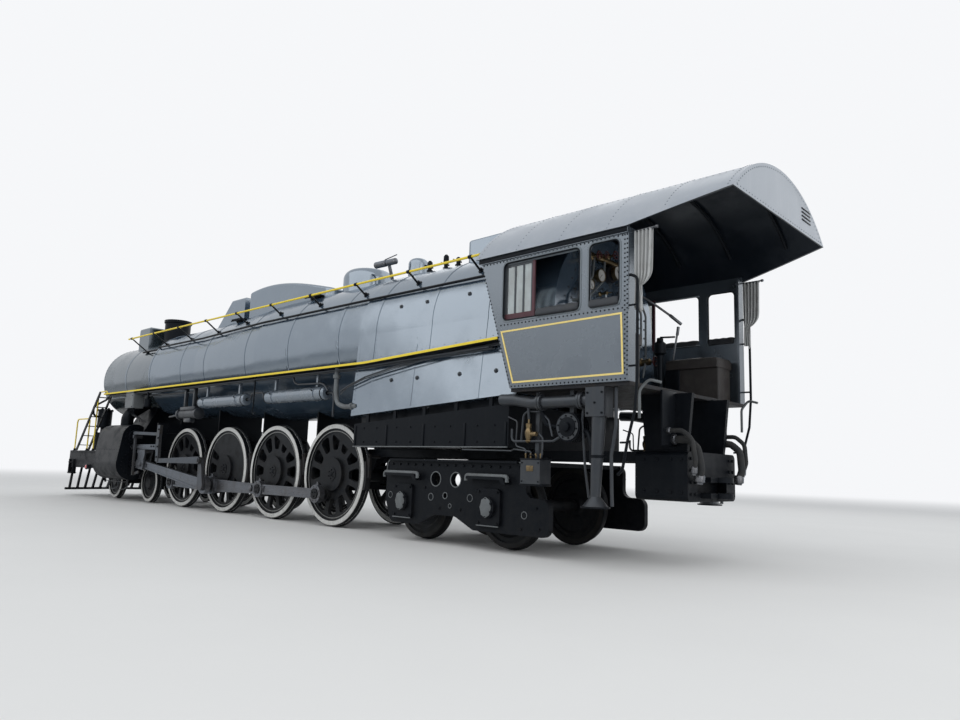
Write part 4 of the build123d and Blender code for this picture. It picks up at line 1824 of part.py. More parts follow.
lead_truck_frame.part.label = "lead_truck_frame"
export_step(lead_truck_frame.part, "parts/lead_truck_frame.step")

# Trailing truck frame: cast sides outside the wheels with journal boxes, and a tongue to the pivot
trail_middle = (TRAIL_X[0] + TRAIL_X[1]) / 2
tongue_front_x = TRAIL_X[0] + TRAIL_FRAME_FRONT - TRAIL_TIE_WIDTH
with BuildPart() as trail_truck_frame:
    for side in SIDES:
        face = side * TRAIL_FRAME_Y + TRAIL_FRAME_THICKNESS / 2
        with BuildSketch(side_plane(face)) as outline:
            with BuildLine():
                Polyline(
                    (TRAIL_X[0] + TRAIL_FRAME_FRONT, TRAIL_FRAME_TOP),
                    (TRAIL_X[0] + TRAIL_FRAME_FRONT, TRAIL_AXLE_Z),
                    (TRAIL_X[0] + TRAIL_FOOT_LENGTH / 2, TRAIL_FRAME_BOTTOM),
                    (TRAIL_X[0] - TRAIL_FOOT_LENGTH / 2, TRAIL_FRAME_BOTTOM),
                    (trail_middle + TRAIL_ARCH_LENGTH / 2, TRAIL_ARCH_Z),
                    (trail_middle - TRAIL_ARCH_LENGTH / 2, TRAIL_ARCH_Z),
                    (TRAIL_X[1] + TRAIL_FOOT_LENGTH / 2, TRAIL_FRAME_BOTTOM),
                    (TRAIL_X[1] - TRAIL_FRAME_REAR, TRAIL_FRAME_BOTTOM),
                    (TRAIL_X[1] - TRAIL_FRAME_REAR, TRAIL_TAIL_Z),
                    (TRAIL_X[1] - TRAIL_SHOULDER, TRAIL_TAIL_Z),
                    (TRAIL_X[1] - TRAIL_SHOULDER, TRAIL_FRAME_TOP),
                    close=True,
                )
            make_face()
            fillet(outline.vertices(), TRAIL_SMALL_CORNER)
            with Locations((trail_middle - TRAIL_HOLE_SPREAD, TRAIL_HOLE_Z),
                           (trail_middle + TRAIL_HOLE_SPREAD, TRAIL_HOLE_Z)):
                Circle(TRAIL_HOLE_RADIUS, mode=Mode.SUBTRACT)
            with Locations((trail_middle, TRAIL_BOLT_HOLE_Z)):
                Circle(TRAIL_BOLT_HOLE_RADIUS, mode=Mode.SUBTRACT)
            with Locations([(x, TRAIL_AXLE_Z) for x in TRAIL_X]):
                Circle(TRUCK_AXLE_RADIUS + BOX_BORE_CLEARANCE, mode=Mode.SUBTRACT)
        extrude(amount=TRAIL_FRAME_THICKNESS)
        outer_y = TRAIL_FRAME_Y + TRAIL_FRAME_THICKNESS / 2
        flange_y = side * (outer_y + TRAIL_FLANGE_DEPTH / 2) + TRAIL_FLANGE_DEPTH / 2
        with BuildSketch(side_plane(flange_y)):
            with Locations(((TRAIL_X[0] + TRAIL_FRAME_FRONT + TRAIL_X[1] - TRAIL_SHOULDER) / 2,
                            TRAIL_FRAME_TOP - TRAIL_FLANGE_THICKNESS / 2)):
                Rectangle(TRAIL_X[0] - TRAIL_X[1] + TRAIL_FRAME_FRONT + TRAIL_SHOULDER
                          - 2 * TRAIL_SMALL_CORNER, TRAIL_FLANGE_THICKNESS)
        extrude(amount=TRAIL_FLANGE_DEPTH)
        for axle_x in TRAIL_X:
            journal_places = (
                (outer_y, RectangleRounded, (JOURNAL_BOX_WIDTH, JOURNAL_BOX_HEIGHT, JOURNAL_BOX_CORNER)),
                (outer_y + JOURNAL_COVER_THICKNESS, Circle, (JOURNAL_COVER_RADIUS,)),
            )
            for inner_y, shape, sizes in journal_places:
                plate_y = side * (inner_y + JOURNAL_COVER_THICKNESS / 2) + JOURNAL_COVER_THICKNESS / 2
                with BuildSketch(side_plane(plate_y, axle_x, TRAIL_AXLE_Z)):
                    shape(*sizes)
                extrude(amount=JOURNAL_COVER_THICKNESS)
            hood_y = side * (outer_y + HOOD_DEPTH / 2) + HOOD_DEPTH / 2
            hood_z = TRAIL_AXLE_Z + HOOD_RISE
            with BuildSketch(side_plane(hood_y, axle_x, hood_z)) as hood:
                with BuildLine():
                    Polyline(
                        (HOOD_LENGTH / 2, 0),
                        (-HOOD_LENGTH / 2 + HOOD_THICKNESS, 0),
                        (-HOOD_LENGTH / 2, -2 * HOOD_THICKNESS),
                        (-HOOD_LENGTH / 2 + HOOD_THICKNESS, -2 * HOOD_THICKNESS),
                        (-HOOD_LENGTH / 2 + 2 * HOOD_THICKNESS, -HOOD_THICKNESS),
                        (HOOD_LENGTH / 2, -HOOD_THICKNESS),
                        close=True,
                    )
                make_face()
                fillet(hood.vertices().sort_by(Axis.Y)[-2:], HOOD_CORNER)
            extrude(hood.sketch, amount=HOOD_DEPTH)
    for tie_x in (tongue_front_x, TRAIL_X[1] - TRAIL_SHOULDER + TRAIL_TIE_WIDTH):
        with Locations((tie_x, 0, TRAIL_FRAME_TOP - TRAIL_TIE_DEPTH / 2)):
            Box(TRAIL_TIE_WIDTH, 2 * TRAIL_FRAME_Y, TRAIL_TIE_DEPTH)
    with BuildSketch(Plane.XY.offset(TRAIL_FRAME_TOP - TRAIL_TONGUE_DEPTH)):
        with BuildLine():
            Polyline(
                (tongue_front_x, TRAIL_TONGUE_HALF_WIDTH),
                (tongue_front_x, -TRAIL_TONGUE_HALF_WIDTH),
                (TRAIL_PIVOT_X, -TRAIL_TONGUE_TIP),
                (TRAIL_PIVOT_X, TRAIL_TONGUE_TIP),
                close=True,
            )
        make_face()
        with Locations((TRAIL_PIVOT_X, 0)):
            Circle(TRAIL_TONGUE_TIP)
    extrude(amount=TRAIL_TONGUE_DEPTH)
trail_truck_frame.part.label = "trail_truck_frame"
export_step(trail_truck_frame.part, "parts/trail_truck_frame.step")

# Piping under the cab: a delivery pipe, its valve box, an injector, a lubricator and the overflow chute
with BuildPart() as cab_piping:
    for side in SIDES:
        with BuildLine():
            delivery = FilletPolyline(
                (DELIVERY_FRONT_X, side * PIPING_Y, DELIVERY_FRONT_Z),
                (DELIVERY_FRONT_X - DELIVERY_KNEE_LENGTH, side * PIPING_Y, DELIVERY_KNEE_Z),
                (DELIVERY_FRONT_X - DELIVERY_FALL_LENGTH, side * PIPING_Y, DELIVERY_Z),
                (VALVE_BOX_X, side * PIPING_Y, DELIVERY_Z),
                radius=DELIVERY_BEND,
            )
        with BuildSketch(Plane(origin=delivery @ 0, z_dir=delivery % 0)):
            Circle(DELIVERY_RADIUS)
        sweep(path=delivery)
        floor_z = CAB_BOTTOM - FLOOR_THICKNESS
        with Locations((VALVE_BOX_X, side * PIPING_Y, floor_z)):
            Box(VALVE_BOX_LENGTH, VALVE_BOX_WIDTH, floor_z - VALVE_BOX_BOTTOM,
                align=(Align.CENTER, Align.CENTER, Align.MAX))
        # Bell mouth, neck and top of the chute, from below
        chute = [
            (VALVE_BOX_X + CHUTE_LEAN, CHUTE_BOTTOM, CHUTE_MOUTH_RADIUS),
            (VALVE_BOX_X + CHUTE_LEAN, CHUTE_BOTTOM + CHUTE_MOUTH_HEIGHT, CHUTE_NECK_RADIUS),
            (VALVE_BOX_X, VALVE_BOX_BOTTOM, CHUTE_RADIUS),
        ]
        for low, high in zip(chute[:-1], chute[1:]):
            for ring_x, ring_z, radius in (low, high):
                with BuildSketch(Plane.XY.offset(ring_z)):
                    with Locations((ring_x, side * PIPING_Y)):
                        Circle(radius)
            loft()
        # The injector hangs from a post, and so does the lubricator in front of it
        post_y = side * (PIPING_Y - INJECTOR_INSET)
        round_bar(post_y, INJECTOR_LENGTH, (INJECTOR_X, INJECTOR_Z), INJECTOR_RADIUS)
        for post_x, foot_z in ((INJECTOR_X, INJECTOR_Z), (OILER_X, OILER_Z)):
            with Locations((post_x, post_y, floor_z)):
                Box(POST_WIDTH, POST_WIDTH, floor_z - foot_z, align=(Align.CENTER, Align.CENTER, Align.MAX))
        with Locations((OILER_X, side * (PIPING_Y - OILER_INSET), OILER_Z)):
            Box(OILER_LENGTH, OILER_WIDTH, OILER_HEIGHT)
cab_piping.part.label = "cab_piping"
export_step(cab_piping.part, "parts/cab_piping.step")
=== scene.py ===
"""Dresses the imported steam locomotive: paint, steel, piping, rivets, lights and cab fittings."""

import json
import math

import bpy
from mathutils import Matrix, Vector

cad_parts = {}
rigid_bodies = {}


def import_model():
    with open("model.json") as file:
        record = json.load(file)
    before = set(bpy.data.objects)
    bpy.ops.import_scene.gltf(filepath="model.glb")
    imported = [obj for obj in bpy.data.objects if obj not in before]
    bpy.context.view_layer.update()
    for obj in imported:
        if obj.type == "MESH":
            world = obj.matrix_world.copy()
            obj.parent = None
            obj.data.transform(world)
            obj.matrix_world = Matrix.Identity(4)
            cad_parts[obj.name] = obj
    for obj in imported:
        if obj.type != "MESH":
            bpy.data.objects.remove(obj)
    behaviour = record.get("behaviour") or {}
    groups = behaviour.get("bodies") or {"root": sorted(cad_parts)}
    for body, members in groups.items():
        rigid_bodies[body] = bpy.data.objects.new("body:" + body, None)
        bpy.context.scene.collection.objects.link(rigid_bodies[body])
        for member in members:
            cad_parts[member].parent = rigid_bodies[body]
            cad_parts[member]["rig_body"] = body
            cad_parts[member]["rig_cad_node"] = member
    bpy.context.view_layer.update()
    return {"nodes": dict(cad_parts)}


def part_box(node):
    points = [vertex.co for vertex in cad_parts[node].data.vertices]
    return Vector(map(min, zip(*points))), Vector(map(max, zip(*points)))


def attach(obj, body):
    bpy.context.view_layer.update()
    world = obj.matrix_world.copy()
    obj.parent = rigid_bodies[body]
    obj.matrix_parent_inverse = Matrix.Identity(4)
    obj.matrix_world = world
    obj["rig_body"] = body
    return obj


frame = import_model()
nodes = frame["nodes"]
SIDES = (1, -1)
AHEAD, ASTERN = (1, 0, 0), (-1, 0, 0)
LEFTWARD, RIGHTWARD = (0, 1, 0), (0, -1, 0)
UPWARD, DOWNWARD = (0, 0, 1), (0, 0, -1)

# Places taken over from the CAD model, in metres
DRIVER_X = (3.418, 1.462, -0.494, -2.45)
DRIVER_Z = 0.917
DRIVER_RADIUS = 0.889
LEAD_X = (7.372, 5.238)
LEAD_Z = 0.485
LEAD_RADIUS = 0.457
TRAIL_X = (-4.85, -6.6)
TRAIL_Z = 0.587
TRAIL_RADIUS = 0.559
BOILER_Z = 3.22
FIREBOX_FRONT_X = -3.6
SMOKEBOX_REAR_X = 5.25
CAB_Y = 1.55
ROD_Y = 0.98
CYLINDER_Y, CYLINDER_Z, CHEST_Z = 1.143, 0.94, 1.60
TANK_Y, TANK_Z, TANK_LENGTH = 1.24, 2.31, 1.95
TANK_FRONTS = (1.95, -0.78)
DELIVERY_Y, DELIVERY_Z = 1.44, 1.94
INJECTOR_X, INJECTOR_Z = -8.05, 1.63
LUBRICATOR_X = 5.33
PUMP_X, PUMP_Y = 8.79, 0.76
DOOR_HINGE_X, DOOR_HINGE_Y = 8.556, 0.74
TRUCK_FACE_Y, TRUCK_COVER_Y = 1.195, 1.285
ROOF_CENTRE_Z, ROOF_RADIUS = 2.8937, 1.9063
ROOF_END_X, END_RIVETS_RADIUS = -10.149, 1.865
SASH_RAIL_TOP, SASH_STILE_FRONT = 3.122, -7.512
JACKET_LOW_Z, FIREBOX_SKIN_X = 2.69, -3.61
RAIL_YELLOW_Z, BOARD_EDGE_Y = 4.146, 1.464


# Shaping tools


def pick_nothing():
    """Leave every object unselected."""
    bpy.ops.object.select_all(action="DESELECT")


def pick(*pieces):
    """Select the pieces, the first of them active."""
    pick_nothing()
    for piece in pieces:
        piece.select_set(True)
    bpy.context.view_layer.objects.active = pieces[0]


def settled(name):
    """Name the new piece and put its place into its mesh."""
    piece = bpy.context.object
    piece.name = name
    piece.data.name = name
    bpy.ops.object.transform_apply(location=True, rotation=True, scale=True)
    return piece


def ease_corners(piece, width, segments=2, angle=40):
    """Bevel the piece's sharp edges and shade it smooth by angle."""
    pick(piece)
    bevel = piece.modifiers.new("eased", "BEVEL")
    bevel.width = width
    bevel.segments = segments
    bevel.limit_method = "ANGLE"
    bevel.angle_limit = math.radians(angle)
    bpy.ops.object.modifier_apply(modifier=bevel.name)
    bpy.ops.object.shade_smooth_by_angle(angle=math.radians(50))
    return piece


def plate(name, low, high, edge=0.004, segments=2):
    """Flat-sided piece between two corners, its edges eased."""
    pick_nothing()
    middle = [(a + b) / 2 for a, b in zip(low, high)]
    size = [abs(b - a) for a, b in zip(low, high)]
    bpy.ops.mesh.primitive_cube_add(size=1, location=middle, scale=size)
    piece = settled(name)
    return ease_corners(piece, min(edge, min(size) * 0.4), segments)


def bar(name, start, end, radius, sides=24, edge=0.003, end_radius=None):
    """Round bar between two points, its ends eased."""
    pick_nothing()
    run = Vector(end) - Vector(start)
    bpy.ops.mesh.primitive_cone_add(
        vertices=sides,
        radius1=radius,
        radius2=radius if end_radius is None else end_radius,
        depth=run.length,
        location=(Vector(start) + Vector(end)) / 2,
        rotation=run.to_track_quat("Z", "Y").to_euler(),
    )
    piece = settled(name)
    return ease_corners(piece, min(edge, run.length * 0.3), 2)


def turned(name, base, axis, outline, sides=32):
    """Round piece turned about an axis: the outline lists (distance along the axis, radius)."""
    pick_nothing()
    way = Vector(axis).normalized()
    first = outline[0]
    bpy.ops.mesh.primitive_circle_add(
        vertices=sides,
        radius=first[1],
        fill_type="NGON",
        location=Vector(base) + way * first[0],
        rotation=way.to_track_quat("Z", "Y").to_euler(),
    )
    piece = settled(name)
    bpy.ops.object.mode_set(mode="EDIT")
    bpy.ops.mesh.select_mode(type="FACE")
    bpy.ops.mesh.select_all(action="SELECT")
    for (at, radius), (next_at, next_radius) in zip(outline, outline[1:]):
        bpy.ops.mesh.extrude_region_move(TRANSFORM_OT_translate={"value": way * (next_at - at)})
        factor = next_radius / radius
        centre = Vector(base) + way * next_at
        bpy.ops.transform.resize(value=(factor, factor, factor), center_override=centre)
    bpy.ops.mesh.select_all(action="SELECT")
    bpy.ops.mesh.normals_make_consistent(inside=False)
    bpy.ops.object.mode_set(mode="OBJECT")
    bpy.ops.object.shade_smooth_by_angle(angle=math.radians(35))
    return piece


def collar(name, place, axis, half, inner, outer, slope, sides):
    """Flange or band round a pipe: half as long as given to each side, its edges sloping inwards."""
    outline = ((-half, inner), (slope - half, outer), (half - slope, outer), (half, inner))
    return turned(name, place, axis, outline, sides)


def pipe(name, route, radius, bend=0.08, sides=14):
    """Pipe along a route of points, with round bends: runs are extruded and bends spun."""
    points = [Vector(p) for p in route]
    runs = [b - a for a, b in zip(points, points[1:])]
    trims = []
    for a, b in zip(runs, runs[1:]):
        half = a.angle(b) / 2
        trims.append(min(bend * math.tan(half), 0.48 * a.length, 0.48 * b.length))
    pick_nothing()
    bpy.ops.mesh.primitive_circle_add(
        vertices=sides,
        radius=radius,
        fill_type="NGON",
        location=points[0],
        rotation=runs[0].to_track_quat("Z", "Y").to_euler(),
    )
    piece = settled(name)
    bpy.ops.object.mode_set(mode="EDIT")
    bpy.ops.mesh.select_mode(type="FACE")
    bpy.ops.mesh.select_all(action="SELECT")
    for i, run in enumerate(runs):
        before = trims[i - 1] if i else 0
        after = trims[i] if i < len(trims) else 0
        straight = run.normalized() * (run.length - before - after)
        bpy.ops.mesh.extrude_region_move(TRANSFORM_OT_translate={"value": straight})
        if i < len(trims) and trims[i] > 1e-6:
            coming, going = runs[i].normalized(), runs[i + 1].normalized()
            axis = coming.cross(going).normalized()
            turn = coming.angle(going)
            arc = trims[i] / math.tan(turn / 2)
            inward = axis.cross(coming).normalized()
            centre = points[i + 1] - coming * trims[i] + inward * arc
            bpy.ops.mesh.spin(
                steps=max(2, int(math.degrees(turn) / 15)), angle=-turn, center=centre, axis=axis
            )
    bpy.ops.mesh.select_all(action="SELECT")
    bpy.ops.mesh.remove_doubles(threshold=0.0002)
    bpy.ops.mesh.normals_make_consistent(inside=False)
    bpy.ops.object.mode_set(mode="OBJECT")
    bpy.ops.object.shade_smooth_by_angle(angle=math.radians(40))
    return piece


def ring_of(name, centre, axis, radius, thickness, sides=32):
    """Round-edged ring, such as the rim of a hole."""
    pick_nothing()
    stand = Vector(axis).to_track_quat("Z", "Y").to_euler()
    bpy.ops.mesh.primitive_torus_add(
        major_radius=radius, minor_radius=thickness, major_segments=sides, minor_segments=8, location=centre,
        rotation=stand,
    )
    piece = settled(name)
    bpy.ops.object.shade_smooth()
    return piece


def joined(name, pieces):
    """Make one piece of several."""
    pick(*pieces)
    if len(pieces) > 1:
        bpy.ops.object.join()
    piece = bpy.context.object
    piece.name = name
    piece.data.name = name
    return piece


def copied(piece, place):
    """Copy a piece, with its own mesh, by a matrix put into that mesh."""
    twin = piece.copy()
    twin.data = piece.data.copy()
    twin.data.transform(place)
    if place.determinant() < 0:
        twin.data.flip_normals()
    bpy.context.collection.objects.link(twin)
    return twin


def mirrored(piece):
    """The same piece on the engine's other side."""
    return copied(piece, Matrix.Scale(-1, 4, LEFTWARD))


def both_sides(name, pieces):
    """Join the pieces with their mirror images across the middle."""
    one = joined(name, pieces)
    return joined(name, [one, mirrored(one)])


def skin(node, origin, way):
    """Place and outward direction where a ray meets a solid, or nothing."""
    solid = nodes[node]
    inward = solid.matrix_world.inverted()
    met, place, facing, _ = solid.ray_cast(inward @ Vector(origin), inward.to_3x3() @ Vector(way))
    return (solid.matrix_world @ place, (solid.matrix_world.to_3x3() @ facing).normalized()) if met else None


def spaced(start, end, pitch):
    """Even places from one point to another, about a pitch apart."""
    run = Vector(end) - Vector(start)
    count = max(1, int(round(run.length / pitch)))
    return [Vector(start) + run * k / count for k in range(count + 1)]


def on_skin(node, places, way):
    """Spots where rays from the places meet a solid."""
    return [spot for spot in (skin(node, place, way) for place in places) if spot]


def studded(name, outline, sides, spots):
    """Small turned piece, made once and copied onto spots (place, outward direction)."""
    first = turned(name, (0, 0, 0), UPWARD, outline, sides)
    copies = []
    for place, outward in spots:
        stand = Vector(outward).to_track_quat("Z", "Y").to_matrix().to_4x4()
        copies.append(copied(first, Matrix.Translation(place) @ stand))
    bpy.data.objects.remove(first)
    return joined(name, copies)


def rivets(spots, radius=0.011):
    """Low round rivet heads on spots."""
    return studded(
        "rivets", ((-0.002, radius), (radius * 0.35, radius * 0.8), (radius * 0.6, radius * 0.35)), 7, spots
    )


def bolts(spots, radius=0.016, height=0.014):
    """Hexagonal bolt heads on spots."""
    return studded("bolts", ((-0.004, radius), (height * 0.85, radius), (height, radius * 0.8)), 6, spots)


def ring_spots(centre, axis, ring_radius, count, start=0.0):
    """Spots round a centre, looking along the axis."""
    way = Vector(axis).normalized()
    side = way.orthogonal().normalized() * ring_radius
    return [(Vector(centre) + Matrix.Rotation(start + math.tau * k / count, 3, way) @ side, way) for k in range(count)]


def rounded_frame(name, low, high, y, corner, width, thickness):
    """Flat frame with round corners on a side wall, between two (x, z) corners."""
    pick_nothing()
    middle = ((low[0] + high[0]) / 2, y, (low[1] + high[1]) / 2)
    size = (high[0] - low[0], high[1] - low[1], 1)
    bpy.ops.mesh.primitive_plane_add(size=1, location=middle, rotation=(math.pi / 2, 0, 0))
    bpy.context.object.scale = size
    piece = settled(name)
    bpy.ops.object.mode_set(mode="EDIT")
    bpy.ops.mesh.select_all(action="SELECT")
    bpy.ops.mesh.bevel(offset=corner, segments=6, affect="VERTICES")
    bpy.ops.mesh.select_all(action="SELECT")
    bpy.ops.mesh.inset(thickness=width, depth=0)
    bpy.ops.mesh.delete(type="FACE")
    bpy.ops.object.mode_set(mode="OBJECT")
    shell = piece.modifiers.new("thickness", "SOLIDIFY")
    shell.thickness = thickness
    shell.offset = 0
    bpy.ops.object.modifier_apply(modifier=shell.name)
    return ease_corners(piece, thickness * 0.2, 1, 60)


def strip_of(node, name, low_x, high_x, proud, keep=None):
    """Band that follows a solid's skin between two cross planes, standing a little proud of it."""
    source = nodes[node]
    band = source.copy()
    band.data = source.data.copy()
    band.parent = None
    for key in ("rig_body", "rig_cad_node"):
        if key in band:
            del band[key]
    bpy.context.collection.objects.link(band)
    pick(band)
    bpy.ops.object.mode_set(mode="EDIT")
    bpy.ops.mesh.select_all(action="SELECT")
    bpy.ops.mesh.remove_doubles(threshold=0.0005)
    cuts = [((low_x, 0, 0), ASTERN), ((high_x, 0, 0), AHEAD)] + list(keep or ())
    for point, away in cuts:
        bpy.ops.mesh.select_all(action="SELECT")
        bpy.ops.mesh.bisect(plane_co=point, plane_no=away, clear_outer=True)
    bpy.ops.object.mode_set(mode="OBJECT")
    shell = band.modifiers.new("thickness", "SOLIDIFY")
    shell.thickness = proud + 0.004
    shell.offset = proud / (proud + 0.004) * 2 - 1
    bpy.ops.object.modifier_apply(modifier=shell.name)
    bpy.ops.object.shade_smooth_by_angle(angle=math.radians(35))
    band.name = name
    band.data.name = name
    band.data.materials.clear()
    return band


# Effects that several finishes share


def effect(name, inputs, outputs):
    """Start a shared effect with its named sockets; an input's default is a number or a vector."""
    group = bpy.data.node_groups.new(name, "ShaderNodeTree")
    for label, default in inputs:
        kind = "NodeSocketVector" if isinstance(default, tuple) else "NodeSocketFloat"
        socket = group.interface.new_socket(name=label, in_out="INPUT", socket_type=kind)
        socket.default_value = default
    for label in outputs:
        group.interface.new_socket(name=label, in_out="OUTPUT", socket_type="NodeSocketFloat")
    return group, group.nodes.new("NodeGroupInput"), group.nodes.new("NodeGroupOutput")


def put(tree, kind, values=(), **settings):
    """Place a node: values are (socket, number or another node's output)."""
    node = tree.nodes.new(kind)
    for key, value in settings.items():
        setattr(node, key, value)
    for socket, value in values:
        if isinstance(value, bpy.types.NodeSocket):
            tree.links.new(value, node.inputs[socket])
        else:
            node.inputs[socket].default_value = value
    return node


def math_node(tree, operation, *values):
    """Arithmetic on values or outputs."""
    return put(tree, "ShaderNodeMath", list(enumerate(values)), operation=operation).outputs[0]


def spread(tree, value, low, high, to_low=0.0, to_high=1.0):
    """Map a value from one range smoothly to another, clamped."""
    return put(
        tree,
        "ShaderNodeMapRange",
        (("Value", value), ("From Min", low), ("From Max", high), ("To Min", to_low), ("To Max", to_high)),
        interpolation_type="SMOOTHSTEP",
    ).outputs[0]


def weather_effect():
    """Clouds of grime, streaks that run down, dust low on the engine and a fine grain."""
    group, given, out = effect(
        "weather",
        (("Place", (0.0, 0.0, 0.0)), ("Size", 3.0), ("Dust Top", 1.2)),
        ("Clouds", "Streaks", "Dust", "Grain"),
    )
    place = given.outputs["Place"]
    clouds = put(
        group, "ShaderNodeTexNoise",
        (("Vector", place), ("Scale", given.outputs["Size"]), ("Detail", 5.0), ("Roughness", 0.62)),
    )
    group.links.new(spread(group, clouds.outputs[0], 0.42, 0.72), out.inputs["Clouds"])
    falling = put(group, "ShaderNodeVectorMath", ((0, place), (1, (7.0, 7.0, 0.45))), operation="MULTIPLY")
    streaks = put(
        group, "ShaderNodeTexNoise",
        (("Vector", falling.outputs[0]), ("Scale", 1.6), ("Detail", 4.0), ("Roughness", 0.6)),
    )
    group.links.new(spread(group, streaks.outputs[0], 0.5, 0.74), out.inputs["Streaks"])
    parts = put(group, "ShaderNodeSeparateXYZ", ((0, place),))
    low = put(
        group, "ShaderNodeMapRange",
        (
            ("Value", parts.outputs[2]), ("From Min", 0.1), ("From Max", given.outputs["Dust Top"]), ("To Min", 1.0),
            ("To Max", 0.0),
        ),
    )
    specks = put(
        group, "ShaderNodeTexNoise", (("Vector", place), ("Scale", 11.0), ("Detail", 6.0), ("Roughness", 0.7))
    )
    dusty = math_node(group, "MULTIPLY", low.outputs[0], spread(group, specks.outputs[0], 0.35, 0.7))
    group.links.new(dusty, out.inputs["Dust"])
    grain = put(group, "ShaderNodeTexNoise", (("Vector", place), ("Scale", 140.0), ("Detail", 2.0)))
    group.links.new(grain.outputs[0], out.inputs["Grain"])
    return group


def ring_effect():
    """Mask of a ring round an axle, on the faces that look sideways."""
    group, given, out = effect(
        "ring",
        (
            ("Place", (0.0, 0.0, 0.0)), ("Facing", (0.0, 0.0, 0.0)), ("Axle X", 0.0), ("Axle Z", 0.0), ("Inner", 0.4),
            ("Outer", 0.5),
        ),
        ("Mask",),
    )
    parts = put(group, "ShaderNodeSeparateXYZ", ((0, given.outputs["Place"]),))
    across = math_node(group, "SUBTRACT", parts.outputs[0], given.outputs["Axle X"])
    up = math_node(group, "SUBTRACT", parts.outputs[2], given.outputs["Axle Z"])
    squares = math_node(
        group, "ADD", math_node(group, "MULTIPLY", across, across), math_node(group, "MULTIPLY", up, up)
    )
    radius = math_node(group, "SQRT", squares)
    facing = put(group, "ShaderNodeSeparateXYZ", ((0, given.outputs["Facing"]),))
    sideways = math_node(group, "GREATER_THAN", math_node(group, "ABSOLUTE", facing.outputs[1]), 0.5)
    mask = math_node(
        group, "MULTIPLY", math_node(group, "GREATER_THAN", radius, given.outputs["Inner"]),
        math_node(group, "LESS_THAN", radius, given.outputs["Outer"]),
    )
    group.links.new(math_node(group, "MULTIPLY", mask, sideways), out.inputs["Mask"])
    return group


WEATHER = weather_effect()
RING = ring_effect()
DUST_COLOUR = (0.052, 0.048, 0.043)


def begin_finish(name, metallic=0.0, coat=0.0, specular=0.3, ior=1.5):
    """Start a finish: its tree, its shader and the object's coordinates."""
    finish = bpy.data.materials.new(name)
    finish.use_nodes = True
    tree = finish.node_tree
    shader = tree.nodes["Principled BSDF"]
    shader.inputs["Metallic"].default_value = metallic
    shader.inputs["Coat Weight"].default_value = coat
    shader.inputs["Coat Roughness"].default_value = 0.06
    shader.inputs["Specular IOR Level"].default_value = specular
    # Reflections are tinted blue in every finish: a painted sky reflection.
    shader.inputs["Specular Tint"].default_value = (0.80, 0.90, 1.0, 1.0)
    shader.inputs["IOR"].default_value = ior
    coordinates = put(tree, "ShaderNodeTexCoord")
    return finish, tree, shader, coordinates


def mix_colour(tree, amount, first, second):
    """Blend two colours, each an output or an RGB triple, by an amount."""
    blend = put(tree, "ShaderNodeMix", data_type="RGBA")
    for socket, value in ((0, amount), (6, first), (7, second)):
        if isinstance(value, bpy.types.NodeSocket):
            tree.links.new(value, blend.inputs[socket])
        elif isinstance(value, (int, float)):
            blend.inputs[socket].default_value = value
        else:
            blend.inputs[socket].default_value = (*value, 1.0)
    return blend.outputs[2]


def painted(
    name, colour, grime, roughness, coat=0.0, size=3.0, clouds=0.5, streaks=0.3, dust=0.3,
    dust_top=1.2, wave=0.0, wave_size=1.3, grain=0.0006, metallic=0.0, specular=0.3, ior=1.5,
    marks=None, gloss_above=None,
):
    """Weathered paint: a colour, its grime, dust near the rails and the sheet's slight waves."""
    finish, tree, shader, coordinates = begin_finish(name, metallic, coat, specular, ior)
    place = coordinates.outputs["Object"]
    weather = put(tree, "ShaderNodeGroup", node_tree=WEATHER)
    tree.links.new(place, weather.inputs["Place"])
    weather.inputs["Size"].default_value = size
    weather.inputs["Dust Top"].default_value = dust_top
    body = mix_colour(tree, math_node(tree, "MULTIPLY", weather.outputs["Clouds"], clouds), colour, grime)
    body = mix_colour(tree, math_node(tree, "MULTIPLY", weather.outputs["Streaks"], streaks), body, grime)
    if marks:
        body = marks(tree, coordinates, body)
    body = mix_colour(tree, math_node(tree, "MULTIPLY", weather.outputs["Dust"], dust), body, DUST_COLOUR)
    tree.links.new(body, shader.inputs["Base Color"])
    worn = math_node(
        tree, "MULTIPLY", math_node(tree, "ADD", weather.outputs["Clouds"], weather.outputs["Dust"]), 0.22
    )
    tree.links.new(math_node(tree, "ADD", worn, roughness), shader.inputs["Roughness"])
    # Ahead of the firebox and below the given height the reflection is turned almost off: painted shade on the lower
    # half of the boiler.
    if gloss_above:
        height, behind = gloss_above
        parts = put(tree, "ShaderNodeSeparateXYZ", ((0, place),))
        kept = math_node(
            tree, "MAXIMUM", math_node(tree, "GREATER_THAN", parts.outputs[2], height),
            math_node(tree, "LESS_THAN", parts.outputs[0], behind),
        )
        tree.links.new(spread(tree, kept, 0.0, 1.0, 0.03, specular), shader.inputs["Specular IOR Level"])
    fine = put(tree, "ShaderNodeBump", (("Height", weather.outputs["Grain"]), ("Distance", grain), ("Strength", 1.0)))
    normal = fine.outputs[0]
    if wave:
        sheet = put(tree, "ShaderNodeTexNoise", (("Vector", place), ("Scale", wave_size), ("Detail", 1.5)))
        bend = put(
            tree, "ShaderNodeBump",
            (("Height", sheet.outputs[0]), ("Distance", wave), ("Strength", 1.0), ("Normal", normal)),
        )
        normal = bend.outputs[0]
        tree.links.new(normal, shader.inputs["Coat Normal"])
    tree.links.new(normal, shader.inputs["Normal"])
    return finish


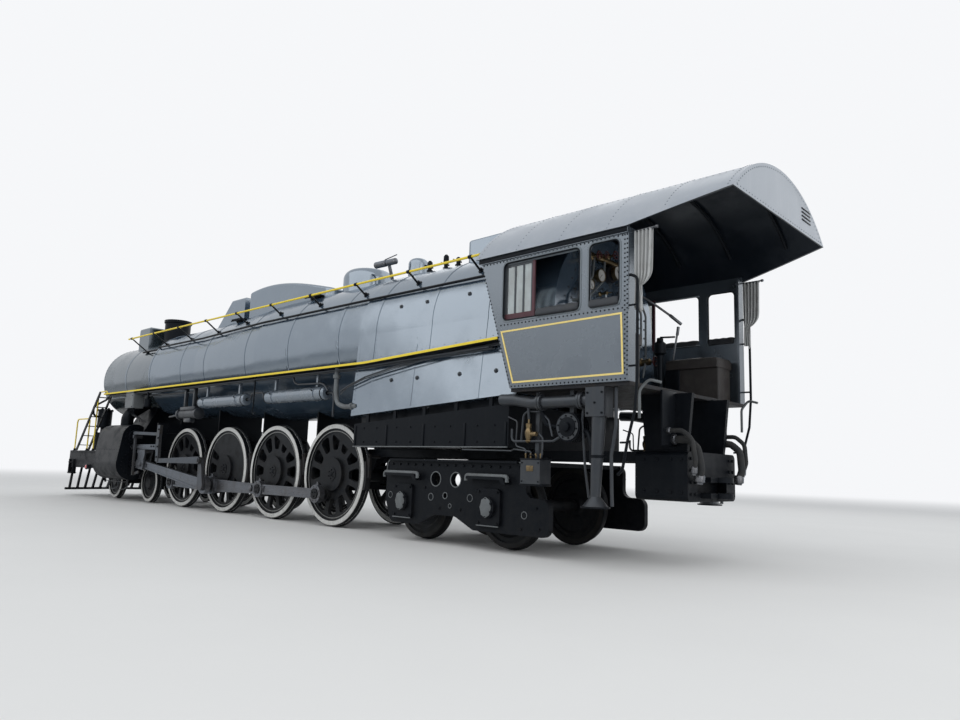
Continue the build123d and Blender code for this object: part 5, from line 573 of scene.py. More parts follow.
def ringed(x, z, rings, colours):
    """Marks for a wheel: painted rings round its axle, each with (inner, outer) radii."""

    def marks(tree, coordinates, body):
        for (inner, outer), colour in zip(rings, colours):
            ring = put(tree, "ShaderNodeGroup", node_tree=RING)
            tree.links.new(coordinates.outputs["Object"], ring.inputs["Place"])
            tree.links.new(coordinates.outputs["Normal"], ring.inputs["Facing"])
            for label, value in (("Axle X", x), ("Axle Z", z), ("Inner", inner), ("Outer", outer)):
                ring.inputs[label].default_value = value
            wear = put(
                tree, "ShaderNodeTexNoise",
                (("Vector", coordinates.outputs["Object"]), ("Scale", 24.0), ("Detail", 6.0), ("Roughness", 0.7)),
            )
            amount = math_node(
                tree, "MULTIPLY", ring.outputs["Mask"], spread(tree, wear.outputs[0], 0.25, 0.5, 0.55, 1.0)
            )
            body = mix_colour(tree, amount, body, colour)
        return body

    return marks


def sideways_band(low_y, colour):
    """Marks for an edge that looks outwards, past a width."""

    def marks(tree, coordinates, body):
        place = put(tree, "ShaderNodeSeparateXYZ", ((0, coordinates.outputs["Object"]),))
        facing = put(tree, "ShaderNodeSeparateXYZ", ((0, coordinates.outputs["Normal"]),))
        wide = math_node(tree, "GREATER_THAN", math_node(tree, "ABSOLUTE", place.outputs[1]), low_y)
        outward = math_node(tree, "GREATER_THAN", math_node(tree, "ABSOLUTE", facing.outputs[1]), 0.6)
        return mix_colour(tree, math_node(tree, "MULTIPLY", wide, outward), body, colour)

    return marks


def painted_underside_shade(colour):
    """Painted shade: faces that look down take the given dark colour."""

    def marks(tree, coordinates, body):
        facing = put(tree, "ShaderNodeSeparateXYZ", ((0, coordinates.outputs["Normal"]),))
        return mix_colour(tree, math_node(tree, "LESS_THAN", facing.outputs[2], -0.15), body, colour)

    return marks


def sash_stiles(colour):
    """Marks for a sash's upper rail and front stiles, past its bottom rail and rear stile."""

    def marks(tree, coordinates, body):
        place = put(tree, "ShaderNodeSeparateXYZ", ((0, coordinates.outputs["Object"]),))
        high = math_node(tree, "GREATER_THAN", place.outputs[2], SASH_RAIL_TOP)
        ahead = math_node(tree, "GREATER_THAN", place.outputs[0], SASH_STILE_FRONT)
        return mix_colour(tree, math_node(tree, "MULTIPLY", high, ahead), body, colour)

    return marks


def above(height, colour):
    """Marks for all that stands above a height."""

    def marks(tree, coordinates, body):
        place = put(tree, "ShaderNodeSeparateXYZ", ((0, coordinates.outputs["Object"]),))
        return mix_colour(tree, math_node(tree, "GREATER_THAN", place.outputs[2], height), body, colour)

    return marks


def brushed(name, colour, roughness, oil=0.4):
    """Bright worked steel: fine scratches along its length, with oil and rust stains."""
    finish, tree, shader, coordinates = begin_finish(name, metallic=0.85)
    place = coordinates.outputs["Object"]
    drawn = put(tree, "ShaderNodeVectorMath", ((0, place), (1, (1.0, 14.0, 14.0))), operation="MULTIPLY")
    scratches = put(
        tree, "ShaderNodeTexNoise",
        (("Vector", drawn.outputs[0]), ("Scale", 9.0), ("Detail", 6.0), ("Roughness", 0.75)),
    )
    weather = put(tree, "ShaderNodeGroup", node_tree=WEATHER)
    tree.links.new(place, weather.inputs["Place"])
    weather.inputs["Size"].default_value = 5.0
    body = mix_colour(tree, spread(tree, scratches.outputs[0], 0.3, 0.7), [c * 0.72 for c in colour], colour)
    body = mix_colour(tree, math_node(tree, "MULTIPLY", weather.outputs["Clouds"], oil), body, (0.07, 0.06, 0.05))
    body = mix_colour(tree, math_node(tree, "MULTIPLY", weather.outputs["Dust"], 0.35), body, (0.16, 0.12, 0.09))
    tree.links.new(body, shader.inputs["Base Color"])
    tree.links.new(
        spread(tree, scratches.outputs[0], 0.2, 0.8, roughness - 0.08, roughness + 0.14), shader.inputs["Roughness"]
    )
    bump = put(tree, "ShaderNodeBump", (("Height", scratches.outputs[0]), ("Distance", 0.0008), ("Strength", 1.0)))
    tree.links.new(bump.outputs[0], shader.inputs["Normal"])
    return finish


# Finishes
YELLOW = (0.80, 0.62, 0.06)
CREAM_YELLOW = (0.84, 0.66, 0.22)
WHITEWASH = (0.62, 0.62, 0.60)

# Jacket colours are lifted and blued: partly the paint's own tone, partly a painted sky reflection.
JACKET = painted(
    "jacket_gloss", (0.036, 0.056, 0.082), (0.062, 0.084, 0.108), 0.07, size=1.7, clouds=0.5, streaks=0.35, dust=0.15,
    dust_top=2.2, wave=0.012, wave_size=1.6, specular=0.5, ior=3.0, gloss_above=(JACKET_LOW_Z, FIREBOX_SKIN_X),
)
SMOKEBOX = painted(
    "smokebox_gloss", (0.020, 0.029, 0.034), (0.042, 0.048, 0.052), 0.13, size=1.6, clouds=0.4, streaks=0.35, dust=0.1,
    wave=0.009, specular=0.5, ior=2.5, gloss_above=(JACKET_LOW_Z, FIREBOX_SKIN_X),
)
CAB_PAINT = painted(
    "cab_gloss", (0.046, 0.056, 0.068), (0.070, 0.080, 0.092), 0.14, size=1.1, clouds=0.4, streaks=0.12, dust=0.1,
    wave=0.004, wave_size=1.1, specular=0.5, ior=2.1,
)
# The roof's light blue-grey is partly its weathered paint and partly a painted sky reflection; faces that look down
# get painted shade.
ROOF = painted(
    "roof_enamel_sheen_and_shade", (0.27, 0.30, 0.34), (0.37, 0.39, 0.42), 0.30, size=2.4, clouds=0.6, streaks=0.25, dust=0.0,
    wave=0.003, specular=0.5, marks=painted_underside_shade((0.004, 0.006, 0.010)),
)
FRAME_BLACK = painted(
    "frame_black", (0.004, 0.005, 0.007), (0.009, 0.010, 0.012), 0.38, size=4.5, clouds=0.5, streaks=0.35, dust=0.15,
    dust_top=1.3, specular=0.11, grain=0.0012,
)
BOARD_PAINT = painted(
    "board_black", (0.006, 0.007, 0.009), (0.02, 0.02, 0.021), 0.45, size=5.0, clouds=0.5, dust=0.0, specular=0.16,
    marks=sideways_band(BOARD_EDGE_Y, YELLOW),
)
RAIL_PAINT = painted(
    "rail_yellow", (0.008, 0.009, 0.011), (0.02, 0.02, 0.02), 0.4, size=7.0, clouds=0.4, dust=0.0, specular=0.2,
    marks=above(RAIL_YELLOW_Z, YELLOW),
)
CYLINDER_PAINT = painted(
    "cylinder_gloss", (0.004, 0.005, 0.007), (0.008, 0.010, 0.012), 0.30, size=2.5, clouds=0.4, streaks=0.3, dust=0.1,
    dust_top=1.2, wave=0.004, specular=0.14, ior=1.45,
)
STEEL = brushed("rod_steel", (0.165, 0.172, 0.188), 0.30)
GEAR_STEEL = brushed("gear_steel", (0.105, 0.110, 0.120), 0.40, oil=0.7)
IRON = painted(
    "cast_iron", (0.016, 0.016, 0.018), (0.045, 0.038, 0.032), 0.55, size=8.0, clouds=0.7, dust=0.35, grain=0.0025,
    specular=0.2,
)
SASH = painted(
    "sash_maroon", (0.080, 0.030, 0.036), (0.07, 0.03, 0.035), 0.38, size=9.0, clouds=0.4, dust=0.0,
    marks=sash_stiles((0.055, 0.060, 0.066)),
)
LEATHER = painted(
    "seat_leather", (0.035, 0.030, 0.028), (0.06, 0.055, 0.05), 0.46, size=6.0, clouds=0.6, dust=0.0, grain=0.003
)
DULL_BRASS = painted(
    "valve_brass", (0.21, 0.155, 0.085), (0.07, 0.055, 0.035), 0.36, size=9.0, clouds=0.7, dust=0.0, metallic=1.0
)
BRASS = painted(
    "bell_brass", (0.62, 0.42, 0.14), (0.30, 0.19, 0.08), 0.22, size=7.0, clouds=0.6, dust=0.0, metallic=1.0
)
LAMP_METAL = painted("lamp_gloss", (0.015, 0.017, 0.02), (0.04, 0.04, 0.04), 0.2, size=4.0, dust=0.0, specular=0.5)
GREY = painted("window_grey", (0.155, 0.180, 0.200), (0.20, 0.215, 0.225), 0.34, size=3.0, clouds=0.4, dust=0.0)
STRIPE = painted("cab_stripe", CREAM_YELLOW, (0.62, 0.46, 0.15), 0.38, coat=0.3, size=6.0, clouds=0.25, dust=0.0)
RAIL_YELLOW = painted("step_yellow", YELLOW, (0.5, 0.38, 0.07), 0.40, coat=0.3, size=6.0, clouds=0.3, dust=0.1)
PIPE_DARK = painted(
    "pipe_dark", (0.022, 0.024, 0.028), (0.040, 0.039, 0.038), 0.28, size=5.0, clouds=0.5, dust=0.25, grain=0.0015,
    specular=0.5,
)
PIPE_GREY = painted(
    "pipe_grey", (0.13, 0.14, 0.145), (0.08, 0.08, 0.078), 0.42, size=5.0, clouds=0.5, dust=0.25, grain=0.0015
)
TANK_GREY = painted(
    "tank_gloss", (0.12, 0.145, 0.175), (0.16, 0.17, 0.18), 0.16, size=4.0, clouds=0.4, dust=0.0, specular=0.5, ior=2.2
)
PAD_VINYL = painted(
    "arm_rest_vinyl", (0.030, 0.032, 0.036), (0.06, 0.06, 0.06), 0.5, size=9.0, clouds=0.5, dust=0.0, grain=0.002
)
GAUGE_WHITE = painted(
    "gauge_face", (0.46, 0.46, 0.44), (0.30, 0.30, 0.28), 0.4, coat=0.5, size=12.0, clouds=0.2, dust=0.0
)
WHEEL_RED = painted("handwheel_red", (0.075, 0.016, 0.015), (0.03, 0.012, 0.012), 0.4, size=14.0, clouds=0.5, dust=0.0)
CANVAS = painted(
    "curtain_canvas", (0.42, 0.43, 0.43), (0.27, 0.27, 0.26), 0.85, size=5.0, clouds=0.6, streaks=0.4, dust=0.0,
    grain=0.0012, specular=0.15,
)
RED_LENS = painted("red_lens", (0.60, 0.03, 0.03), (0.4, 0.02, 0.02), 0.15, coat=1.0, size=12.0, dust=0.0)
LAMP_LENS = painted(
    "lamp_lens", (0.72, 0.76, 0.78), (0.6, 0.64, 0.66), 0.06, coat=1.0, size=12.0, clouds=0.2, dust=0.0
)
HOSE = painted("rubber_hose", (0.02, 0.02, 0.02), (0.06, 0.055, 0.05), 0.7, size=9.0, dust=0.4)

PANE, pane_tree, pane_shader, pane_place = begin_finish("sash_pane")
pane_shader.inputs["Transmission Weight"].default_value = 0.55
pane_shader.inputs["Roughness"].default_value = 0.12
pane_dirt = put(
    pane_tree, "ShaderNodeTexNoise", (("Vector", pane_place.outputs["Object"]), ("Scale", 4.0), ("Detail", 5.0))
)
pane_tree.links.new(
    mix_colour(pane_tree, spread(pane_tree, pane_dirt.outputs[0], 0.35, 0.7), (0.72, 0.78, 0.78), (0.60, 0.63, 0.62)),
    pane_shader.inputs["Base Color"],
)


def wheel_finish(name, x, z, radius, face, colours):
    """A wheel's black paint, with its tyre face and a thin line inside the rim in other colours."""
    rings = ((radius - face, radius + 0.002), (radius - face - 0.055, radius - face - 0.042))
    return painted(
        name, (0.006, 0.007, 0.009), (0.022, 0.021, 0.020), 0.40, size=6.0, clouds=0.5,
        dust=0.3, dust_top=1.7, specular=0.16, marks=ringed(x, z, rings, colours),
    )


FINISHES = {
    "air_pumps": FRAME_BLACK, "air_tanks": TANK_GREY, "ashpan": FRAME_BLACK, "backhead": IRON,
    "bell": BRASS, "boiler_barrel": JACKET, "boiler_housings": JACKET, "brake_shoes": IRON,
    "cab_floor": IRON, "cab_front": CAB_PAINT, "cab_glass": PANE, "cab_piping": PIPE_DARK,
    "cab_roof": ROOF, "cab_sashes": SASH, "cab_seats": LEATHER, "cab_side_left": CAB_PAINT,
    "cab_side_right": CAB_PAINT, "crossheads": STEEL, "cylinders": CYLINDER_PAINT, "drag_beam": FRAME_BLACK,
    "driving_boxes": FRAME_BLACK, "feedwater_heater": SMOKEBOX, "firebox_casing": JACKET,
    "front_coupler": IRON, "front_deck": FRAME_BLACK, "guides": STEEL, "guide_yoke": FRAME_BLACK,
    "handrails": RAIL_PAINT, "headlight": LAMP_METAL, "ladders": FRAME_BLACK,
    "lead_truck_frame": FRAME_BLACK, "lubricators": PIPE_GREY, "main_frame": FRAME_BLACK,
    "main_rods": STEEL, "pilot": FRAME_BLACK, "running_boards": BOARD_PAINT, "side_rod_left": STEEL,
    "side_rod_right": STEEL, "smokebox": SMOKEBOX, "smokebox_door": SMOKEBOX,
    "smokebox_front": SMOKEBOX, "spring_rigging": FRAME_BLACK, "stack": FRAME_BLACK, "steam_domes": JACKET,
    "trail_truck_frame": FRAME_BLACK, "valve_gear": GEAR_STEEL,
}
WHITE_TYRE = (WHITEWASH, (0.25, 0.25, 0.24))
BARE_TYRE = ((0.020, 0.019, 0.018), (0.012, 0.012, 0.012))
WHEEL_ROWS = (
    ("driver", DRIVER_X, DRIVER_Z, DRIVER_RADIUS, 0.076, WHITE_TYRE),
    ("lead_axle", LEAD_X, LEAD_Z, LEAD_RADIUS, 0.064, WHITE_TYRE),
    ("trail_axle", TRAIL_X, TRAIL_Z, TRAIL_RADIUS, 0.064, BARE_TYRE),
)
for row_name, axles, height, radius, face, colours in WHEEL_ROWS:
    for place, x in enumerate(axles, 1):
        FINISHES[f"{row_name}_{place}"] = wheel_finish(f"{row_name}_paint_{place}", x, height, radius, face, colours)
for node, finish in FINISHES.items():
    solid = nodes.get(node)
    if solid is not None:
        solid.data.materials.clear()
        solid.data.materials.append(finish)


def fit(piece, finish, body="engine"):
    """Give a piece its finish and the body that it rides on."""
    piece.data.materials.clear()
    piece.data.materials.append(finish)
    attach(piece, body)
    return piece


def dress(name, pieces, finish, body="engine"):
    """Join pieces into one and fit it."""
    return fit(joined(name, pieces), finish, body)


def dress_both(name, pieces, finish, body="engine"):
    """Join pieces with their mirror images and fit the whole."""
    return fit(both_sides(name, pieces), finish, body)


# Boiler jacket: bands over the seams of its sheets
SEAMS = (
    ("smokebox", 6.98), ("boiler_barrel", 5.2), ("boiler_barrel", 3.5), ("boiler_barrel", 2.28),
    ("boiler_barrel", 0.28), ("boiler_barrel", -1.35), ("boiler_barrel", -2.95), ("firebox_casing", -4.0),
    ("firebox_casing", -5.32), ("firebox_casing", -6.46),
)
bands = [
    strip_of(node, "jacket_band", x - 0.032, x + 0.032, 0.006, keep=(((0, 0, 2.76), DOWNWARD),)) for node, x in SEAMS
]
dress("jacket_bands", bands, JACKET)

# Cab: yellow border round the blank panel, on both sides
BORDER_WIDTH = 0.022
BORDER_CORNERS = ((-7.018, 2.895), (-8.876, 2.925), (-8.902, 2.206), (-7.245, 2.194))


def border_strip(corners, width, y, name):
    """Flat closed frame of strips through four corners, mitred, standing on a side wall."""
    pick_nothing()
    bpy.ops.mesh.primitive_plane_add(size=1)
    piece = settled(name)
    for corner, (x, z) in zip(piece.data.vertices, (corners[3], corners[2], corners[0], corners[1])):
        corner.co = (x, y, z)
    bpy.ops.object.mode_set(mode="EDIT")
    bpy.ops.mesh.select_all(action="SELECT")
    bpy.ops.mesh.inset(thickness=width, depth=0)
    bpy.ops.mesh.delete(type="FACE")
    bpy.ops.mesh.select_all(action="SELECT")
    bpy.ops.mesh.normals_make_consistent(inside=False)
    bpy.ops.object.mode_set(mode="OBJECT")
    shell = piece.modifiers.new("thickness", "SOLIDIFY")
    shell.thickness = 0.006
    shell.offset = 0
    bpy.ops.object.modifier_apply(modifier=shell.name)
    return piece


dress_both(
    "cab_borders", [border_strip(BORDER_CORNERS, BORDER_WIDTH, CAB_Y + 0.002, "border")], STRIPE
)

# Boiler jacket: rivets of the firebox wrapper, the screws and bands of its low sheet seams, washout plugs
LOW_SEAMS_X = (-5.05, -6.45)
wrapper = [spot for x in (-3.66, -4.06) for spot in spaced((x, 2, 1.95), (x, 2, 3.32), 0.07)]
low_seams = [spot for x in LOW_SEAMS_X for spot in spaced((x, 2, 2.16), (x, 2, 3.05), 0.16)]
low_seams += spaced((-3.75, 2, 2.80), (-7.1, 2, 2.95), 0.24)
dress_both("wrapper_rivets", [rivets(on_skin("firebox_casing", wrapper, RIGHTWARD), 0.012)], JACKET)
dress_both("jacket_screws", [rivets(on_skin("firebox_casing", low_seams, RIGHTWARD), 0.008)], PIPE_DARK)
low_bands = [
    strip_of(
        "firebox_casing", "low_seam", x - 0.02, x + 0.02, 0.005, keep=(((0, 0, 2.0), DOWNWARD), ((0, 0, 2.95), UPWARD))
    )
    for x in LOW_SEAMS_X
]
dress("low_seams", low_bands, JACKET)
plug_places = [(x, 2, z) for x in (-4.55, -5.15, -6.05, -6.75) for z in (2.42, 3.62)]
plugs = studded(
    "washout_plugs", ((-0.004, 0.034), (0.006, 0.034), (0.010, 0.024), (0.024, 0.021), (0.028, 0.014)), 12,
    on_skin("firebox_casing", plug_places, RIGHTWARD),
)
dress_both("washout_plugs", [plugs], PIPE_DARK)

# Handrails: foot flanges, clamps on the rail and the pipe along the posts' feet
FIRST_POST_X, LAST_POST_X, POSTS = 6.26, -6.06, 10
FOOT_LEAN = math.radians(40)
clamps, feet = [], []
for x in [FIRST_POST_X + (LAST_POST_X - FIRST_POST_X) / (POSTS - 1) * k for k in range(POSTS)]:
    clamps.append(collar("rail_clamp", (x, 1.2, 4.17), AHEAD, 0.035, 0.022, 0.030, 0.005, 16))
    node = "smokebox" if x > SMOKEBOX_REAR_X else "boiler_barrel" if x > FIREBOX_FRONT_X else "firebox_casing"
    beside = (x, 2.2, BOILER_Z + 2.2 * math.tan(FOOT_LEAN))
    feet += on_skin(node, [beside], (0, -math.cos(FOOT_LEAN), -math.sin(FOOT_LEAN)))
dress_both("rail_clamps", clamps, FRAME_BLACK)
dress_both(
    "rail_feet", [studded("foot", ((-0.01, 0.052), (0.012, 0.052), (0.018, 0.030), (0.05, 0.026)), 14, feet)],
    FRAME_BLACK,
)
foot_pipe = pipe(
    "foot_pipe",
    (
        (6.45, 0.80, 3.87), (5.32, 0.80, 3.87), (5.14, 0.945, 3.87), (2.75, 0.945, 3.87), (-0.15, 1.125, 3.87),
        (-3.4, 1.125, 3.87), (-6.3, 1.10, 3.87),
    ),
    0.022, 0.1, 12,
)
dress_both("foot_pipe", [foot_pipe], FRAME_BLACK)

# Fittings on top: sand hatches, ribbed steps, whistle and valves
STEPS = ((1.62, 4.20), (-1.30, 4.33))
hatches = [
    turned(
        "sand_hatch", (x, 0, z), UPWARD,
        ((-0.03, 0.15), (0.018, 0.15), (0.026, 0.135), (0.030, 0.05), (0.052, 0.045), (0.058, 0.03)), 24,
    )
    for x, z in ((1.15, 4.925), (0.15, 4.885))
]
dress("sand_hatches", hatches, JACKET)
treads = [
    plate("dome_step", (x - 0.21 + 0.07 * k, 0.60, z), (x - 0.17 + 0.07 * k, 0.78, z + 0.03), 0.004)
    for x, z in STEPS for k in range(6)
]
treads += [
    plate("dome_step", (x - 0.23, y, z - 0.02), (x + 0.23, y + 0.02, z + 0.012), 0.004)
    for x, z in STEPS for y in (0.61, 0.75)
]
props = [
    bar("step_prop", (x + dx, 0.60, z - 0.1), (x + dx, 0.73, z + 0.002), 0.010, 10)
    for x, z in STEPS for dx in (-0.08, 0.08)
]
dress_both("dome_steps", treads + props, FRAME_BLACK)
whistle = [
    turned(
        "whistle", (-2.74, 0.35, 4.80), (-1, 0, -0.02),
        (
            (0, 0.030), (0.02, 0.062), (0.30, 0.062), (0.31, 0.045), (0.34, 0.045), (0.36, 0.058), (0.58, 0.058),
            (0.60, 0.02),
        ),
        24,
    ),
    bar("whistle_foot", (-3.10, 0.33, 4.80), (-3.10, 0.22, 4.50), 0.032, 16),
    bar("whistle_lever", (-3.02, 0.36, 4.86), (-3.36, 0.36, 4.90), 0.010, 10),
]
dress("whistle", whistle, STEEL)
valves = []
for x, y, height in ((-3.05, -0.22, 0.20), (-4.20, 0.30, 0.20), (-4.52, 0.22, 0.26), (-4.86, 0.26, 0.16)):
    spot = skin("firebox_casing" if x < FIREBOX_FRONT_X else "boiler_barrel", (x, y, 6), DOWNWARD)
    valves.append(
        turned(
            "valve", spot[0], UPWARD,
            (
                (-0.03, 0.055), (0.03, 0.055), (0.04, 0.036), (0.10, 0.036), (0.11, 0.050), (height - 0.03, 0.046),
                (height, 0.022),
            ),
            18,
        ),
    )
    valves.append(bar("valve_stem", spot[0] + Vector((0, -0.07, 0.09)), spot[0] + Vector((0, 0.12, 0.09)), 0.016, 12))
dress("top_valves", valves, FRAME_BLACK)

# Cab outside: rivet rows, window frames with their dark edges, sash rails and arm rests
WALL_ROWS = (
    ((-7.23, 2.155), (-8.92, 2.155), 0.06), ((-8.945, 2.20), (-8.945, 3.84), 0.055),
    ((-8.912, 2.22), (-8.912, 3.84), 0.055), ((-7.19, 2.20), (-6.66, 3.80), 0.055),
    ((-6.68, 3.84), (-8.88, 3.84), 0.06), ((-7.02, 2.975), (-8.88, 2.975), 0.06),
)
wall = []
for (x, z), (end_x, end_z), pitch in WALL_ROWS:
    wall += spaced((x, CAB_Y, z), (end_x, CAB_Y, end_z), pitch)
dress_both("cab_rivets", [rivets([(place, LEFTWARD) for place in wall], 0.012)], FRAME_BLACK)
WINDOWS = ((-8.28, -7.05), (-8.84, -8.42))
inner = [
    rounded_frame("window_edge", (a - 0.004, 3.026), (b + 0.004, 3.814), CAB_Y, 0.075, 0.016, 0.022)
    for a, b in WINDOWS
]
dress_both("window_edges", inner, FRAME_BLACK)
frames = [
    rounded_frame("window_frame", (a - 0.026, 3.004), (b + 0.026, 3.836), CAB_Y, 0.095, 0.022, 0.014)
    for a, b in WINDOWS
]
dress_both("window_frames", frames, GREY)
rails = [
    plate("sash_rail", (-8.30, CAB_Y - 0.052, z), (-7.03, CAB_Y - 0.026, z + 0.018), 0.003) for z in (3.034, 3.790)
]
dress_both("sash_rails", rails, GREY)


def cushion_bar(name, start, end, radius, droop):
    """Long padded rest over a window sill: a round body that sags over its edge, with sewn ends."""
    pick_nothing()
    run = Vector(end) - Vector(start)
    bpy.ops.mesh.primitive_cylinder_add(
        vertices=28, radius=radius, depth=run.length, location=(Vector(start) + Vector(end)) / 2,
        rotation=run.to_track_quat("Z", "Y").to_euler(),
    )
    piece = settled(name)
    middle = (start[1] + end[1]) / 2
    bpy.ops.object.mode_set(mode="EDIT")
    bpy.ops.mesh.select_all(action="SELECT")
    bpy.ops.mesh.subdivide(number_cuts=1)
    bpy.ops.object.mode_set(mode="OBJECT")
    remesh = piece.modifiers.new("even", "REMESH")
    remesh.mode = "VOXEL"
    remesh.voxel_size = 0.009
    bpy.ops.object.modifier_apply(modifier=remesh.name)
    for point in piece.data.vertices:
        along = (point.co.x - start[0]) / run.x
        low = start[2] - radius
        outer = (point.co.y - middle) / radius
        point.co.z -= droop * max(0.0, abs(outer) - 0.3) ** 1.5
        wrinkle = 0.0025 * math.sin(along * 61) * max(0, outer) + 0.003 * math.sin(along * 23 + 1.3)
        point.co.z += wrinkle * (point.co.z - low) / (2 * radius)
        pinch = max(0.0, 1 - min(along, 1 - along) / 0.05)
        point.co.y = middle + (point.co.y - middle) * (1 - 0.28 * pinch ** 2)
        point.co.z = start[2] + (point.co.z - start[2]) * (1 - 0.22 * pinch ** 2)
    smooth = piece.modifiers.new("soft", "SMOOTH")
    smooth.iterations = 6
    bpy.ops.object.modifier_apply(modifier=smooth.name)
    bpy.ops.object.shade_smooth()
    return piece


rests = {
    "front": ((-7.62, 1.548, 3.078), (-8.27, 1.548, 3.078)), "rear": ((-8.43, 1.548, 3.074), (-8.83, 1.548, 3.074))
}
for place, (start, end) in rests.items():
    rest = cushion_bar(f"arm_rest_{place}_left", start, end, 0.052, 0.05)
    other = mirrored(rest)
    other.name = f"arm_rest_{place}_right"
    for piece in (rest, other):
        fit(piece, PAD_VINYL)

# Cab roof: rivet rows, the end plate's rivets and louvres, the hatch, black strips along the cab sides under the
# eaves, ribs and lamps beneath
roof_spots = []
for x in (-6.62, -7.28, -7.98, -8.68, -9.38, -10.08):
    reach = 56 if x > -9 else 52 - (-9 - x) * 6
    for k in range(49):
        turn = math.radians(-reach + 2 * reach * k / 48)
        outward = (0, math.sin(turn), math.cos(turn))
        roof_spots.append((Vector((x, 0, ROOF_CENTRE_Z)) + Vector(outward) * (ROOF_RADIUS - 0.001), outward))
for y in (0.0, 0.95, -0.95):
    rise = math.sqrt(ROOF_RADIUS ** 2 - y * y)
    roof_spots += [
        ((p.x, y, ROOF_CENTRE_Z + rise - 0.001), (0, y, rise)) for p in spaced((-6.66, 0, 0), (-10.04, 0, 0), 0.08)
    ]
dress("roof_rivets", [rivets(roof_spots, 0.010)], GREY)
end_spots = []
for k in range(45):
    turn = math.radians(-44 + 2 * k)
    across, rise = math.sin(turn) * END_RIVETS_RADIUS, math.cos(turn) * END_RIVETS_RADIUS
    end_spots.append(((ROOF_END_X, across, ROOF_CENTRE_Z + rise), ASTERN))
end_spots += [(place, ASTERN) for place in spaced((ROOF_END_X, -1.28, 4.225), (ROOF_END_X, 1.28, 4.225), 0.075)]
dress("end_plate_rivets", [rivets(end_spots, 0.010)], GREY)
louvres = [
    plate("louvre", (-10.158, -0.92, 4.36 + 0.05 * k), (-10.146, -0.62, 4.378 + 0.05 * k), 0.003) for k in range(4)
]
dress("end_plate_louvres", louvres, FRAME_BLACK)
hatch = [
    plate("hatch", (-8.20, -0.34, 4.770), (-7.40, 0.34, 4.822), 0.012, 3),
    plate("hatch_rim", (-8.25, -0.39, 4.752), (-7.35, 0.39, 4.792), 0.006),
]
hatch += [bar("hatch_hinge", (x - 0.04, 0.37, 4.80), (x + 0.04, 0.37, 4.80), 0.014, 12) for x in (-8.05, -7.55)]
dress("roof_hatch", hatch, ROOF)
# Black strip along the top of each cab side, under the eave.
strips = [plate("eave_strip", (-8.955, 1.560, 3.866), (-6.605, 1.579, 3.926), 0.004)]
dress_both("eave_strips", strips, FRAME_BLACK)
ribs = []
for x in (-7.3, -8.1, -8.9, -9.7):
    for side in SIDES:
        arc = [
            (x, side * math.sin(math.radians(a)) * 1.852, ROOF_CENTRE_Z + math.cos(math.radians(a)) * 1.852)
            for a in (0, 12, 24, 36, 44)
        ]
        ribs.append(pipe("roof_rib", arc, 0.022, 1.4, 8))
dress("roof_ribs", ribs, FRAME_BLACK)
lamps = [
    turned(
        "cab_lamp", (x, 0.0, 4.775), DOWNWARD,
        ((0, 0.055), (0.03, 0.055), (0.05, 0.075), (0.085, 0.080), (0.10, 0.055)), 20,
    )
    for x in (-9.75, -8.4)
]
dress("cab_lamps", lamps, GAUGE_WHITE)

# Cab rear: grab irons on their brackets and the bent hoses beside them
iron = pipe(
    "grab_iron",
    (
        (-8.965, 1.52, 3.36), (-9.06, 1.52, 3.32), (-9.06, 1.52, 2.2), (-9.03, 1.52, 1.80), (-8.94, 1.52, 1.47),
        (-8.87, 1.52, 1.13), (-8.80, 1.50, 1.08),
    ),
    0.017, 0.09, 12,
)
stays = [bar("iron_stay", (-8.95, 1.52, z), (-9.06, 1.52, z), 0.012, 10) for z in (3.0, 2.3)]
stays.append(bar("iron_stay", (-8.93, 1.50, 1.44), (-8.81, 1.47, 1.44), 0.012, 10))
dress_both("grab_irons", [iron] + stays, FRAME_BLACK)
bent = [
    pipe(
        "cab_hose", ((-8.99, 1.36, 1.72), (-8.99, 1.36, 2.04), (-9.10, 1.34, 2.16), (-9.24, 1.31, 2.12)), 0.017, 0.08,
        12,
    ),
]
dress_both("cab_hoses", bent, PIPE_GREY)

# Weather curtain at the cab's rear edges: pleated canvas, hung by its top hem and tied back low
CURTAIN_X, CURTAIN_Y, CURTAIN_TOP = -8.995, 1.475, 3.88
CURTAIN_DROP, CURTAIN_WIDTH, PLEATS, PLEAT_DEPTH = 0.92, 0.24, 5, 0.021
TIE_SHARE, TIE_SPREAD, TIE_PULL = 0.72, 0.10, 0.62


def curtain(name):
    """Canvas sheet gathered in pleats under a rod, simulated as it hangs."""
    pick_nothing()
    bpy.ops.mesh.primitive_grid_add(x_subdivisions=60, y_subdivisions=48, size=1, location=(0, 0, 0))
    piece = settled(name)
    held = piece.vertex_groups.new(name="held")
    for point in piece.data.vertices:
        across, down = point.co.x + 0.5, 0.5 - point.co.y
        narrow = 1 - TIE_PULL * math.exp(-((down - TIE_SHARE) / TIE_SPREAD) ** 2)
        point.co.x = CURTAIN_X - CURTAIN_WIDTH * (0.05 + (across - 0.05) * narrow)
        point.co.y = CURTAIN_Y + PLEAT_DEPTH * narrow * math.sin(math.tau * PLEATS * across)
        point.co.z = CURTAIN_TOP - CURTAIN_DROP * down
        if down < 0.02 or abs(down - TIE_SHARE) < 0.012:
            held.add([point.index], 1.0, "REPLACE")
    cloth = piece.modifiers.new("hanging", "CLOTH")
    cloth.settings.quality = 6
    cloth.settings.mass = 0.35
    cloth.settings.tension_stiffness = 25
    cloth.settings.bending_stiffness = 0.6
    cloth.settings.vertex_group_mass = "held"
    frames = 22
    cloth.point_cache.frame_end = frames
    for moment in range(1, frames + 1):
        bpy.context.scene.frame_set(moment)
    pick(piece)
    bpy.ops.object.modifier_apply(modifier=cloth.name)
    bpy.context.scene.frame_set(1)
    shell = piece.modifiers.new("thickness", "SOLIDIFY")
    shell.thickness = 0.003
    shell.offset = 0
    bpy.ops.object.modifier_apply(modifier=shell.name)
    bpy.ops.object.shade_smooth()
    return piece


